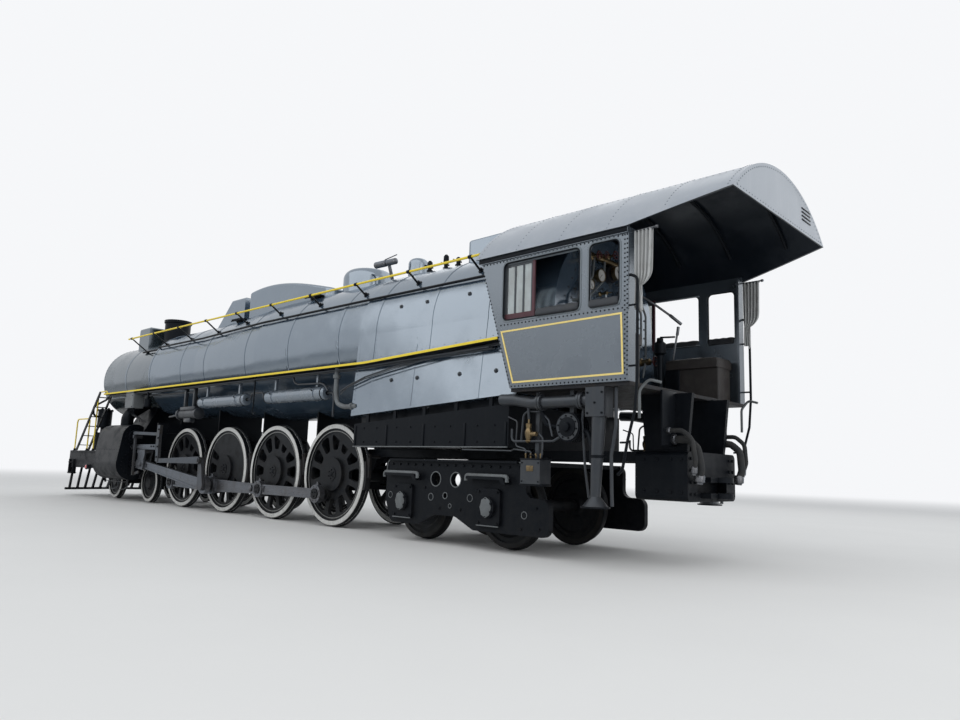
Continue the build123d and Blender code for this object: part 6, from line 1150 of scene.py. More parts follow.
left_curtain = curtain("curtain_left")
right_curtain = mirrored(left_curtain)
right_curtain.name = "curtain_right"
for piece in (left_curtain, right_curtain):
    piece.vertex_groups.clear()
    fit(piece, CANVAS)
ROD_Z, ROD_END_X = CURTAIN_TOP + 0.005, -9.27
rods = [
    bar("curtain_rod", (-8.94, CURTAIN_Y, ROD_Z), (ROD_END_X, CURTAIN_Y, ROD_Z), 0.010, 12),
    turned(
        "rod_end", (ROD_END_X, CURTAIN_Y, ROD_Z), ASTERN, ((-0.01, 0.014), (0, 0.020), (0.02, 0.020), (0.03, 0.012)),
        12,
    ),
]
rods += [
    ring_of("curtain_ring", (-9.0 - 0.048 * k, CURTAIN_Y, CURTAIN_TOP), AHEAD, 0.016, 0.0025, 14) for k in range(6)
]
dress_both("curtain_rods", rods, STEEL)

# Backhead in the cab: staybolt caps, gauges, water glasses, valves, pipes, levers and the fire door's gear
caps = []
for z in [2.32 + 0.135 * k for k in range(13)]:
    half = 1.0 - max(0.0, z - 3.4) * 0.55
    caps += on_skin("firebox_casing", [(-9.4, half * (-1 + 2 * k / 14), z) for k in range(15)], AHEAD)
dress("staybolt_caps", [rivets(caps, 0.016)], IRON)
GAUGES = ((0.34, 3.80, 0.095), (-0.32, 3.84, 0.080), (0.58, 3.62, 0.070), (-0.62, 3.58, 0.085), (0.0, 3.90, 0.105))
FACE_X = -7.66
cases, faces, needles = [], [], []
for y, z, radius in GAUGES:
    reach = 0.17 if y == 0 else 0.12
    cases.append(
        turned(
            "gauge_case", (FACE_X, y, z), ASTERN,
            (
                (-0.01, 0.03), (reach - 0.055, 0.03), (reach - 0.05, radius), (reach + 0.008, radius),
                (reach + 0.008, radius * 0.9), (reach, radius * 0.88),
            ),
            32,
        ),
    )
    faces.append(
        turned(
            "gauge_face", (FACE_X, y, z), ASTERN, ((reach - 0.004, radius * 0.86), (reach + 0.002, radius * 0.86)), 32
        ),
    )
    angle = 0.7 + 5 * y
    tip = Vector((FACE_X - reach - 0.004, y + math.sin(angle) * radius * 0.68, z + math.cos(angle) * radius * 0.68))
    needles.append(
        bar(
            "needle",
            (FACE_X - reach - 0.004, y - math.sin(angle) * radius * 0.15, z - math.cos(angle) * radius * 0.15), tip,
            0.005, 6, 0.001, 0.002,
        ),
    )
dress("gauge_cases", cases, DULL_BRASS)
dress("gauge_faces", faces, GAUGE_WHITE)
dress("gauge_needles", needles, FRAME_BLACK)
glasses, cocks = [], []
for y in (-0.20, 0.20):
    glasses.append(bar("water_glass", (FACE_X - 0.10, y, 3.20), (FACE_X - 0.10, y, 3.56), 0.014, 16))
    for z in (3.18, 3.58):
        cocks.append(
            turned(
                "glass_cock", (FACE_X + 0.01, y, z), ASTERN,
                (
                    (-0.01, 0.035), (0.02, 0.035), (0.03, 0.018), (0.08, 0.018), (0.085, 0.026), (0.13, 0.026),
                    (0.14, 0.012), (0.19, 0.010),
                ),
                16,
            ),
        )
        cocks.append(bar("cock_handle", (FACE_X - 0.18, y, z), (FACE_X - 0.18, y + 0.09, z - 0.02), 0.007, 8))
for k, z in enumerate((3.10, 3.24, 3.38)):
    cocks.append(
        turned(
            "try_cock", (FACE_X + 0.01, -0.40, z), ASTERN,
            ((-0.01, 0.028), (0.02, 0.028), (0.03, 0.014), (0.12, 0.014), (0.13, 0.024), (0.15, 0.020)), 14,
        ),
    )
dress("water_glasses", glasses, LAMP_LENS)
dress("gauge_cocks", cocks, DULL_BRASS)


def handwheel(centre, axis, radius):
    """Valve handwheel: a rim, three spokes, a hub and its stem."""
    way = Vector(axis).normalized()
    stand = way.to_track_quat("Z", "Y")
    pick_nothing()
    bpy.ops.mesh.primitive_torus_add(
        major_radius=radius, minor_radius=radius * 0.13, major_segments=24, minor_segments=7, location=centre,
        rotation=stand.to_euler(),
    )
    rim = settled("handwheel")
    bpy.ops.object.shade_smooth()
    parts = [rim, bar("stem", Vector(centre) + way * 0.012, Vector(centre) - way * radius * 1.7, radius * 0.14, 10)]
    for k in range(3):
        spoke = stand @ Vector((math.cos(math.tau * k / 3), math.sin(math.tau * k / 3), 0)) * radius
        parts.append(bar("spoke", centre, Vector(centre) + spoke, radius * 0.09, 8, 0.001))
    return joined("handwheel", parts)


wheels, bodies = [], []
for k, y in enumerate((-0.62, -0.44, -0.22, 0.22, 0.44, 0.62)):
    z = 4.12 - 0.25 * abs(y) ** 1.5
    wheels.append(handwheel((FACE_X - 0.27, y, z), ASTERN, 0.055 if k % 2 else 0.045))
    bodies.append(
        turned(
            "turret_valve", (FACE_X - 0.02, y, z), ASTERN,
            (
                (0, 0.045), (0.04, 0.045), (0.05, 0.030), (0.11, 0.034), (0.12, 0.045), (0.14, 0.045), (0.15, 0.022),
                (0.20, 0.018),
            ),
            16,
        ),
    )
bodies.append(bar("turret", (FACE_X - 0.06, -0.72, 4.06), (FACE_X - 0.06, 0.72, 4.06), 0.045, 20))
for y, z in ((0.86, 2.9), (-0.9, 2.75), (0.75, 2.5)):
    wheels.append(handwheel((FACE_X - 0.24, y, z), ASTERN, 0.07))
    bodies.append(
        turned(
            "feed_valve", (FACE_X + 0.01, y, z), ASTERN,
            ((0, 0.06), (0.03, 0.06), (0.04, 0.04), (0.12, 0.05), (0.16, 0.05), (0.17, 0.02), (0.20, 0.018)), 18,
        ),
    )
dress("valve_handwheels", wheels, WHEEL_RED)
dress("backhead_valves", bodies, DULL_BRASS)
runs = []
for y, low, way in (
    (-0.72, 2.75, -0.16), (0.72, 2.5, 0.1), (0.62, 2.95, 0.22), (-0.55, 3.05, -0.2), (0.30, 3.0, 0.30)
):
    runs.append(
        pipe(
            "backhead_pipe",
            (
                (FACE_X - 0.10, y * 0.8, 4.02), (FACE_X - 0.10, y * 0.85, 3.75), (FACE_X - 0.09, y + way, 3.45),
                (FACE_X - 0.09, y + way, low), (FACE_X - 0.09, y + way * 0.5, low - 0.25),
            ),
            0.016, 0.08, 10,
        ),
    )
runs.append(
    pipe(
        "blower_pipe", ((FACE_X - 0.05, 0.9, 3.35), (FACE_X - 0.20, 0.9, 3.35), (FACE_X - 0.20, 0.9, 2.35)), 0.022,
        0.09, 12,
    ),
)
dress("backhead_pipes", runs, PIPE_GREY)
levers = [
    pipe(
        "throttle_lever",
        (
            (FACE_X - 0.17, -0.10, 3.66), (FACE_X - 0.19, -0.42, 3.70), (FACE_X - 0.24, -0.80, 3.62),
            (FACE_X - 0.45, -1.00, 3.42),
        ),
        0.017, 0.12, 12,
    ),
    bar("throttle_grip", (FACE_X - 0.43, -0.985, 3.44), (FACE_X - 0.56, -1.10, 3.30), 0.024, 16, 0.01),
    bar("throttle_link", (FACE_X - 0.17, -0.10, 3.72), (FACE_X - 0.17, -0.10, 3.56), 0.024, 14),
    bar("reverse_lever", (FACE_X - 0.42, -1.08, 2.72), (FACE_X - 0.50, -1.08, 3.16), 0.015, 12),
    bar("reverse_grip", (FACE_X - 0.50, -1.08, 3.14), (FACE_X - 0.52, -1.08, 3.27), 0.022, 14, 0.008),
]
dress("cab_levers", levers, STEEL)
stands = [
    plate("reverse_stand", (FACE_X - 0.56, -1.14, 2.20), (FACE_X - 0.34, -1.02, 2.74), 0.012, 3),
    turned(
        "brake_stand", (FACE_X - 0.34, -0.86, 2.20), UPWARD,
        (
            (0, 0.09), (0.03, 0.09), (0.05, 0.045), (0.62, 0.045), (0.65, 0.085), (0.80, 0.085), (0.83, 0.05),
            (0.88, 0.045),
        ),
        22,
    ),
    bar("brake_handle", (FACE_X - 0.34, -0.86, 3.09), (FACE_X - 0.52, -0.98, 3.10), 0.014, 12),
]
dress("brake_stands", stands, FRAME_BLACK)
DOOR_X, STRAPS_Z = -7.76, (2.46, 2.66)
door_gear = [
    bar("door_hinge", (DOOR_X - 0.005, side * 0.26, z - 0.05), (DOOR_X - 0.005, side * 0.26, z + 0.05), 0.020, 14)
    for side in SIDES for z in STRAPS_Z
]
door_gear += [
    plate("door_strap", (DOOR_X - 0.024, -0.24, z - 0.018), (DOOR_X - 0.006, 0.24, z + 0.018), 0.004) for z in STRAPS_Z
]
door_gear += [
    pipe(
        "door_handle",
        (
            (DOOR_X - 0.01, 0.05, 2.53), (DOOR_X - 0.08, 0.05, 2.53), (DOOR_X - 0.08, 0.05, 2.60),
            (DOOR_X - 0.01, 0.05, 2.60),
        ),
        0.012, 0.03, 10,
    ),
]
dress("fire_door_gear", door_gear, STEEL)

# Seats: crowned pads with a welted edge


def seat_pad(name, low, high, crown):
    """Sprung seat pad: a box whose top and sides swell between its corners."""
    pick_nothing()
    middle = [(a + b) / 2 for a, b in zip(low, high)]
    size = [b - a for a, b in zip(low, high)]
    bpy.ops.mesh.primitive_cube_add(size=1, location=middle, scale=size)
    piece = settled(name)
    bpy.ops.object.mode_set(mode="EDIT")
    bpy.ops.mesh.select_all(action="SELECT")
    bpy.ops.mesh.subdivide(number_cuts=9)
    bpy.ops.object.mode_set(mode="OBJECT")
    for point in piece.data.vertices:
        u, v, w = [2 * (c - m) / s for c, m, s in zip(point.co, middle, size)]
        swell = (1 - abs(u) ** 3) * (1 - abs(v) ** 3)
        tuft = 0.35 * max(0.0, 1 - abs(abs(u) - 0.36) / 0.1)
        point.co.z += crown * swell * (w + 1) / 2 * (1 - tuft)
        point.co.x -= u * abs(v) ** 4 * 0.012
        point.co.y -= v * abs(u) ** 4 * 0.010
    return ease_corners(piece, 0.012, 2, 50)


SEAT_LOW, SEAT_HIGH = (-8.81, 1.0, 2.70), (-8.01, 1.46, 2.755)
pad = seat_pad("seat_pad_left", SEAT_LOW, SEAT_HIGH, 0.035)
for side_name, piece in (("left", pad), ("right", mirrored(pad))):
    piece.name = f"seat_pad_{side_name}"
    fit(piece, LEATHER)
WELT_Z = SEAT_LOW[2] + 0.015
welts = [
    pipe(
        "seat_welt",
        (
            (-8.80, 1.01, WELT_Z), (-8.02, 1.01, WELT_Z), (-8.02, 1.45, WELT_Z), (-8.80, 1.45, WELT_Z),
            (-8.80, 1.02, WELT_Z),
        ),
        0.006, 0.03, 8,
    ),
]
dress_both("seat_welts", welts, LEATHER)

# Under the cab and along the firebox: couplings, injector fins, valves, lubricator, chute and pipes
couplings, coupling_spots = [], []
for x in (-7.64, -8.26):
    couplings.append(
        turned(
            "coupling", (x, DELIVERY_Y, DELIVERY_Z), AHEAD,
            (
                (-0.035, 0.078), (-0.034, 0.105), (-0.004, 0.105), (-0.003, 0.098), (0.003, 0.098), (0.004, 0.105),
                (0.034, 0.105), (0.035, 0.078),
            ),
            24,
        ),
    )
    for way in SIDES:
        coupling_spots += ring_spots((x + way * 0.034, DELIVERY_Y, DELIVERY_Z), (way, 0, 0), 0.091, 8)
dress_both("delivery_couplings", couplings + [bolts(coupling_spots, 0.010, 0.010)], PIPE_DARK)
fins = [
    collar("injector_fin", (INJECTOR_X, y, INJECTOR_Z), LEFTWARD, 0.006, 0.158, 0.178, 0.001, 32)
    for y in (1.24, 1.28, 1.32, 1.36, 1.40, 1.43)
]
fins.append(
    turned(
        "injector_cap", (INJECTOR_X, 1.448, INJECTOR_Z), LEFTWARD,
        ((0, 0.12), (0.012, 0.12), (0.02, 0.06), (0.055, 0.055), (0.06, 0.03)), 24,
    ),
)
fins.append(bolts(ring_spots((INJECTOR_X, 1.45, INJECTOR_Z), LEFTWARD, 0.137, 10), 0.011, 0.012))
fins.append(
    pipe(
        "injector_pipe", ((-7.89, 1.34, 1.63), (-7.70, 1.40, 1.66), (-7.62, 1.42, 1.86), (-7.62, 1.44, 1.93)), 0.030,
        0.08, 12,
    ),
)
fins.append(
    pipe(
        "injector_feed", ((-8.19, 1.34, 1.60), (-8.30, 1.36, 1.56), (-8.38, 1.40, 1.42), (-8.39, 1.41, 1.20)), 0.034,
        0.08, 12,
    ),
)
dress_both("injector_fins", fins, FRAME_BLACK)
brass = [
    turned(
        "angle_valve", (-7.43, 1.42, 1.44), UPWARD,
        (
            (0, 0.022), (0.02, 0.045), (0.03, 0.045), (0.04, 0.032), (0.10, 0.050), (0.14, 0.050), (0.18, 0.032),
            (0.22, 0.040), (0.24, 0.040), (0.25, 0.014), (0.31, 0.012),
        ),
        20,
    ),
    bar("valve_arm", (-7.43, 1.42, 1.55), (-7.56, 1.42, 1.55), 0.030, 16),
    plate("oiler_plate", (-7.57, 1.486, 1.085), (-7.46, 1.496, 1.155), 0.003),
]
brass += [
    turned(
        "sight_glass", (x, 1.43, 1.23), UPWARD,
        ((-0.005, 0.020), (0.015, 0.020), (0.02, 0.013), (0.06, 0.013), (0.065, 0.018), (0.075, 0.012)), 12,
    )
    for x in (-7.40, -7.48, -7.56, -7.64)
]
dress_both("brass_valves", brass, DULL_BRASS)
oil_runs = [
    pipe(
        "oil_line", ((-7.15, 1.42, 1.62), (-7.15, 1.42, 1.46), (-7.82, 1.42, 1.46), (-7.92, 1.40, 1.52)), 0.016, 0.06,
        10,
    ),
    pipe(
        "oil_line",
        (
            (-7.30, 1.41, 1.46), (-7.33, 1.41, 1.80), (-7.40, 1.41, 1.84), (-7.62, 1.41, 1.83), (-7.74, 1.41, 1.72),
            (-7.80, 1.41, 1.52),
        ),
        0.014, 0.07, 10,
    ),
    pipe("oil_line", ((-7.43, 1.42, 1.74), (-7.43, 1.44, 1.90)), 0.018, 0.05, 10),
    pipe(
        "oil_line", ((-7.60, 1.42, 1.55), (-7.66, 1.42, 1.50), (-7.66, 1.43, 1.30), (-7.64, 1.43, 1.24)), 0.012, 0.05,
        10,
    ),
    pipe(
        "oil_line",
        ((-7.40, 1.43, 1.29), (-7.40, 1.43, 1.36), (-7.22, 1.42, 1.40), (-7.22, 1.40, 1.72), (-7.05, 1.38, 1.78)),
        0.010, 0.05, 8,
    ),
    pipe(
        "oil_line",
        ((-7.48, 1.43, 1.29), (-7.48, 1.43, 1.33), (-7.18, 1.41, 1.36), (-7.10, 1.36, 1.34), (-6.2, 1.36, 1.35)),
        0.010, 0.05, 8,
    ),
    pipe(
        "drain_line", ((-8.72, 1.42, 2.08), (-8.72, 1.42, 1.62), (-8.66, 1.42, 1.30), (-8.66, 1.40, 0.72)), 0.022,
        0.12, 12,
    ),
    pipe(
        "drain_line", ((-8.24, 1.38, 1.88), (-8.22, 1.38, 1.72), (-8.26, 1.36, 1.12), (-8.30, 1.34, 0.80)), 0.015, 0.1,
        10,
    ),
]
dress_both("oil_lines", oil_runs, PIPE_DARK)
oiler = [
    plate("oiler_lid", (-7.685, 1.262, 1.226), (-7.355, 1.498, 1.246), 0.006),
    bar("lid_hinge", (-7.62, 1.27, 1.25), (-7.42, 1.27, 1.25), 0.010, 10),
    pipe(
        "lid_handle", ((-7.57, 1.46, 1.24), (-7.57, 1.46, 1.285), (-7.47, 1.46, 1.285), (-7.47, 1.46, 1.24)), 0.007,
        0.02, 8,
    ),
    plate("oiler_foot", (-7.70, 1.28, 0.905), (-7.34, 1.48, 0.932), 0.005),
    turned("oiler_drive", (-7.36, 1.38, 1.10), AHEAD, ((-0.01, 0.06), (0.03, 0.06), (0.035, 0.03), (0.07, 0.03)), 18),
]
oiler.append(bolts([((x, 1.49, z), LEFTWARD) for x in (-7.65, -7.39) for z in (0.96, 1.19)], 0.010, 0.010))
dress_both("oiler_details", oiler, FRAME_BLACK)
chute = [collar("chute_band", (-8.48, 1.44, 1.28), UPWARD, 0.018, 0.072, 0.079, 0.002, 24)]
chute.append(
    turned("chute_lip", (-8.46, 1.44, 0.690), UPWARD, ((0, 0.158), (0.001, 0.172), (0.018, 0.172), (0.020, 0.155)), 28)
)
chute.append(plate("chute_hanger", (-8.52, 1.30, 1.28), (-8.44, 1.375, 1.32), 0.004))
chute.append(
    bolts(
        [((x, 1.535, z), LEFTWARD) for x in (-8.60, -8.40) for z in (1.78, 2.02)] + [((-8.50, 1.535, 1.90), LEFTWARD)],
        0.014, 0.012,
    ),
)
dress_both("chute_bands", chute, FRAME_BLACK)
washout = [
    pipe(
        "washout_pipe",
        ((-3.14, 1.35, 2.70), (-3.14, 1.35, 2.30), (-3.20, 1.35, 2.10), (-3.40, 1.35, 2.04), (-3.72, 1.33, 2.04)),
        0.040, 0.12, 16,
    ),
    collar("pipe_collar", (-3.14, 1.35, 2.56), UPWARD, 0.03, 0.042, 0.062, 0.002, 18),
    collar("pipe_collar", (-3.60, 1.34, 2.04), ASTERN, 0.02, 0.042, 0.060, 0.002, 18),
]
dress_both("washout_pipes", washout, PIPE_GREY)
air_runs = [
    pipe(
        "air_line",
        (
            (-1.71, 1.30, 2.69), (-1.78, 1.30, 2.54), (-1.90, 1.30, 2.50), (-2.62, 1.30, 2.48), (-2.74, 1.30, 2.44),
            (-2.84, 1.30, 2.34),
        ),
        0.018, 0.06, 10,
    ),
    pipe(
        "air_line",
        ((1.95, 1.24, 2.31), (2.12, 1.24, 2.31), (2.16, 1.24, 2.46), (2.30, 1.28, 2.56), (5.0, 1.28, 2.60)), 0.018,
        0.06, 10,
    ),
    pipe(
        "air_line",
        (
            (0.0, 1.24, 2.31), (-0.14, 1.24, 2.31), (-0.18, 1.24, 2.42), (-0.60, 1.24, 2.42), (-0.64, 1.24, 2.31),
            (-0.78, 1.24, 2.31),
        ),
        0.018, 0.05, 10,
    ),
    pipe(
        "air_line", ((-2.73, 1.24, 2.31), (-2.90, 1.24, 2.31), (-2.94, 1.24, 2.20), (-2.94, 1.24, 1.90)), 0.018, 0.05,
        10,
    ),
]
for y, z in ((1.42, 2.655), (1.36, 2.645), (1.30, 2.65)):
    air_runs.append(
        pipe("long_line", ((6.7, y, z), (-3.9, y, z), (-4.1, y, z + 0.01), (-6.7, y, z + 0.085)), 0.011, 0.3, 8)
    )
dress_both("air_lines", air_runs, PIPE_DARK)
firebox_lines = [
    pipe(
        "firebox_line",
        (
            (-3.30, 1.37, 2.30), (-3.52, 1.375, 2.38), (-3.95, 1.375, 2.50), (-4.7, 1.375, 2.62), (-5.6, 1.36, 2.72),
            (-6.9, 1.34, 2.80),
        ),
        0.014, 0.2, 10,
    ),
    pipe(
        "firebox_line",
        (
            (-3.30, 1.37, 2.25), (-3.52, 1.405, 2.34), (-3.95, 1.405, 2.46), (-4.7, 1.405, 2.58), (-5.6, 1.39, 2.69),
            (-6.9, 1.37, 2.77),
        ),
        0.009, 0.2, 8,
    ),
]
dress_both("firebox_lines", firebox_lines, PIPE_DARK)

# Ashpan: light lower lip, black panels over the gap to the firebox as painted shade, straps and bolts of its side
# plates
lip = [plate("ashpan_lip", (-7.005, 1.330, 1.380), (-3.685, 1.350, 1.396), 0.003)]
dress_both("ashpan_lips", lip, PIPE_GREY)
# Black sheets fill the gap above the ashpan: painted shade where the gap would show through.
gap_panels = [
    plate("gap_shade_panel", (-5.3, 1.180, 1.60), (-3.69, 1.196, 1.97), 0.004),
    plate("gap_shade_panel", (-7.0, 1.180, 1.60), (-5.3, 1.196, 2.09), 0.004),
]
dress_both("gap_shade_panels", gap_panels, FRAME_BLACK)
plates = [
    plate("ashpan_strap", (x - 0.018, 1.328, 1.40), (x + 0.018, 1.342, 1.72), 0.003)
    for x in (-3.72, -4.5, -5.35, -6.2, -6.96)
]
plates.append(
    bolts(
        on_skin(
            "ashpan",
            [(x + dx, 2, z) for x in (-4.1, -4.9, -5.75, -6.6) for dx in (-0.16, 0.16) for z in (1.46, 1.68)],
            RIGHTWARD,
        ),
        0.013, 0.012,
    ),
)
dress_both("ashpan_straps", plates, FRAME_BLACK)

# Along the running board: power reverse on the left, hook, oil can, lubricators and tank hangers
reverse = [
    turned(
        "reverse_cylinder", (1.90, 1.28, 2.08), AHEAD,
        (
            (0, 0.06), (0.01, 0.125), (0.05, 0.125), (0.055, 0.10), (0.86, 0.10), (0.865, 0.125), (0.905, 0.125),
            (0.915, 0.05), (0.98, 0.045),
        ),
        28,
    ),
    bar("reverse_rod", (2.85, 1.28, 2.08), (3.36, 1.28, 2.04), 0.024, 16),
    plate("reverse_saddle", (2.02, 1.20, 2.16), (2.70, 1.36, 2.24), 0.012),
    plate("reverse_web", (2.12, 1.25, 2.22), (2.18, 1.33, 2.68), 0.008),
    plate("reverse_web", (2.54, 1.25, 2.22), (2.60, 1.33, 2.68), 0.008),
    plate("reverse_valve", (2.22, 1.22, 1.90), (2.52, 1.34, 1.99), 0.012),
    bolts(
        ring_spots((1.908, 1.28, 2.08), ASTERN, 0.108, 8) + ring_spots((2.807, 1.28, 2.08), AHEAD, 0.108, 8), 0.011,
        0.012,
    ),
]
dress("power_reverse", reverse, PIPE_DARK)
fittings = [
    pipe(
        "tool_hook",
        ((-0.55, 1.40, 2.70), (-0.55, 1.40, 2.10), (-0.52, 1.40, 2.02), (-0.60, 1.40, 1.98), (-0.66, 1.40, 2.03)),
        0.014, 0.05, 10,
    ),
    turned(
        "oil_can", (4.47, 1.36, 2.30), UPWARD,
        ((0, 0.05), (0.01, 0.085), (0.18, 0.085), (0.20, 0.05), (0.24, 0.03), (0.36, 0.028)), 22,
    ),
]
dress("small_fittings", fittings, FRAME_BLACK)
boxes = [
    plate("box_lid", (LUBRICATOR_X - 0.262, 1.188, 2.655), (LUBRICATOR_X + 0.262, 1.472, 2.682), 0.008),
    bolts([((LUBRICATOR_X + dx, 1.47, z), LEFTWARD) for dx in (-0.21, 0.21) for z in (2.33, 2.60)], 0.011, 0.012),
]
for k in range(5):
    x, low_x = LUBRICATOR_X - 0.17 + 0.085 * k, LUBRICATOR_X - 0.34 - 0.1 * k
    boxes.append(
        turned(
            "feed_plug", (x, 1.40, 2.29), DOWNWARD, ((-0.005, 0.022), (0.02, 0.022), (0.025, 0.012), (0.06, 0.012)), 10
        ),
    )
    boxes.append(
        pipe(
            "feed_line",
            ((x, 1.40, 2.24), (x, 1.38 - 0.02 * k, 2.14), (low_x, 1.30, 2.06 - 0.03 * k), (low_x, 1.30, 1.95)), 0.008,
            0.05, 8,
        ),
    )
dress_both("lubricator_details", boxes, FRAME_BLACK)
straps = []
for front in TANK_FRONTS:
    for x in (front - 0.29, front - TANK_LENGTH + 0.29):
        straps.append(plate("tank_hanger", (x - 0.02, 1.225, 2.43), (x + 0.02, 1.255, 2.70), 0.003))
        straps.append(bolts([((x, 1.12, 2.33), RIGHTWARD), ((x, 1.365, 2.36), LEFTWARD)], 0.014, 0.016))
    for x, way in ((front, 1), (front - TANK_LENGTH, -1)):
        straps.append(
            collar("tank_rim", (x - way * 0.055, TANK_Y, TANK_Z), (way, 0, 0), 0.014, 0.119, 0.1245, 0.002, 32)
        )
        straps.append(
            turned(
                "tank_plug", (x - way * 0.004, TANK_Y, TANK_Z), (way, 0, 0),
                ((0, 0.034), (0.02, 0.034), (0.024, 0.02)), 12,
            ),
        )
dress_both("tank_hangers", straps, FRAME_BLACK)

# Running gear: oil cups and cap bolts of the rods, axle bolts, cylinder covers and drain cocks
PINS = {1: (0.203, -0.3516), -1: (-0.3516, -0.203)}
for side, side_name in ((1, "left"), (-1, "right")):
    rod = f"side_rod_{side_name}"
    dx, dz = PINS[side]
    cups, heads = [], []
    for place, x in enumerate(DRIVER_X, 1):
        radius = 0.184 if place == 2 else 0.158
        pin = Vector((x + dx, side * ROD_Y, DRIVER_Z + dz))
        cups.append(
            turned(
                "oil_cup", pin + Vector((0, 0, radius)), UPWARD,
                ((-0.012, 0.032), (0.018, 0.032), (0.022, 0.020), (0.040, 0.020), (0.043, 0.026), (0.052, 0.018)), 16,
            ),
        )
        if place != 2:
            heads += ring_spots(pin + Vector((0, side * 0.054, 0)), (0, side, 0), radius - 0.030, 8, 0.4)
    knuckle = Vector((DRIVER_X[2] + dx + 0.30, side * 1.013, DRIVER_Z + dz))
    cups.append(
        turned(
            "knuckle_pin", knuckle, (0, side, 0),
            ((-0.01, 0.062), (0.012, 0.062), (0.018, 0.050), (0.026, 0.048), (0.030, 0.030)), 20,
        ),
    )
    heads += ring_spots(knuckle + Vector((0, side * 0.012, 0)), (0, side, 0), 0.046, 4, 0.5)
    dress(f"side_rod_cups_{side_name}", cups, STEEL, rod)
    dress(f"side_rod_bolts_{side_name}", [bolts(heads, 0.011, 0.012)], STEEL, rod)
for place, x in enumerate(DRIVER_X, 1):
    spots, discs = [], []
    for side in SIDES:
        dx, dz = PINS[side]
        centre = skin(f"driver_{place}", (x + dx, side * 1.7, DRIVER_Z + dz), (0, -side, 0))[0]
        if place != 2:
            spots += ring_spots(centre, (0, side, 0), 0.045, 3, 0.3)
        axle = skin(f"driver_{place}", (x, side * 1.7, DRIVER_Z), (0, -side, 0))[0]
        spots += ring_spots(axle, (0, side, 0), 0.075, 6, 0.2)
        discs.append(turned("axle_plug", axle, (0, side, 0), ((-0.004, 0.040), (0.008, 0.040), (0.011, 0.030)), 20))
    dress(f"driver_bolts_{place}", [bolts(spots, 0.013, 0.013)] + discs, FRAME_BLACK, f"driver_{place}")
for row_name, body_name, axles, height in (
    ("lead_axle", "lead_wheels", LEAD_X, LEAD_Z), ("trail_axle", "trail_wheels", TRAIL_X, TRAIL_Z)
):
    for place, x in enumerate(axles, 1):
        spots = []
        for side in SIDES:
            turns = [math.tau * k / 6 + 0.2 for k in range(6)]
            beside = [(x + math.cos(a) * 0.145, side * 1.05, height + math.sin(a) * 0.145) for a in turns]
            spots += on_skin(f"{row_name}_{place}", beside, (0, -side, 0))
        heads = [bolts(spots, 0.014, 0.014)]
        dress(f"{row_name}_bolts_{place}", heads, FRAME_BLACK, f"{body_name}_{place}")

head_spots = ring_spots((7.13, CYLINDER_Y, CYLINDER_Z), AHEAD, 0.298, 20)
head_spots += ring_spots((5.48, CYLINDER_Y, CYLINDER_Z), ASTERN, 0.298, 20)
covers = [spot for spot in head_spots if spot[0][1] > 0.93 or spot[0][2] > 1.02]
for x, way in ((7.69, 1), (4.92, -1)):
    for reach, count in ((0.235, 14), (0.145, 8)):
        turns = [math.tau * k / count for k in range(count)]
        ahead = [(x, CYLINDER_Y + math.cos(a) * reach, CHEST_Z + math.sin(a) * reach) for a in turns]
        covers += on_skin("cylinders", ahead, (-way, 0, 0))
dress_both("cylinder_bolts", [bolts(covers, 0.016, 0.020)], FRAME_BLACK)
jacket_rows = [(x, 2.2, z) for x in (7.03, 5.58) for z in [0.60 + 0.075 * k for k in range(17)]]
jacket_rows += [(5.70 + 0.11 * k, 2.2, 1.28) for k in range(12)]
dress_both("cylinder_screws", [rivets(on_skin("cylinders", jacket_rows, RIGHTWARD), 0.010)], FRAME_BLACK)
head_caps = [
    turned(
        "head_cap", (7.128, CYLINDER_Y, CYLINDER_Z), AHEAD,
        ((0, 0.235), (0.006, 0.235), (0.026, 0.12), (0.034, 0.06), (0.048, 0.055)), 32,
    ),
    turned(
        "chest_cap", (7.165, CYLINDER_Y, CHEST_Z), AHEAD, ((0, 0.10), (0.02, 0.09), (0.03, 0.05), (0.07, 0.045)), 24
    ),
]
dress_both("cylinder_caps", head_caps, PIPE_DARK)
drains = []
for x in (5.72, 6.305, 6.89):
    drains.append(
        turned(
            "drain_cock", (x, CYLINDER_Y, 0.545), DOWNWARD,
            ((0, 0.034), (0.03, 0.034), (0.035, 0.018), (0.09, 0.018), (0.10, 0.026), (0.13, 0.022)), 14,
        ),
    )
    drains.append(
        pipe(
            "drain_pipe",
            ((x, CYLINDER_Y, 0.43), (x, CYLINDER_Y, 0.36), (x + 0.16, 1.16, 0.30), (x + 0.34, 1.18, 0.28)), 0.014,
            0.05, 10,
        ),
    )
drains.append(bar("drain_rod", (5.60, 1.185, 0.48), (7.0, 1.185, 0.48), 0.009, 8))
dress_both("drain_cocks", drains, PIPE_DARK)
guide_low, guide_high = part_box("guides")
guide_spots = [
    (guide_low.x + reach, 2, (guide_low.z + guide_high.z) / 2 + 0.012) for reach in (0.10, 0.24, 1.24, 1.38)
]
dress_both("guide_bolts", [bolts(on_skin("guides", guide_spots, RIGHTWARD), 0.020, 0.018)], FRAME_BLACK)
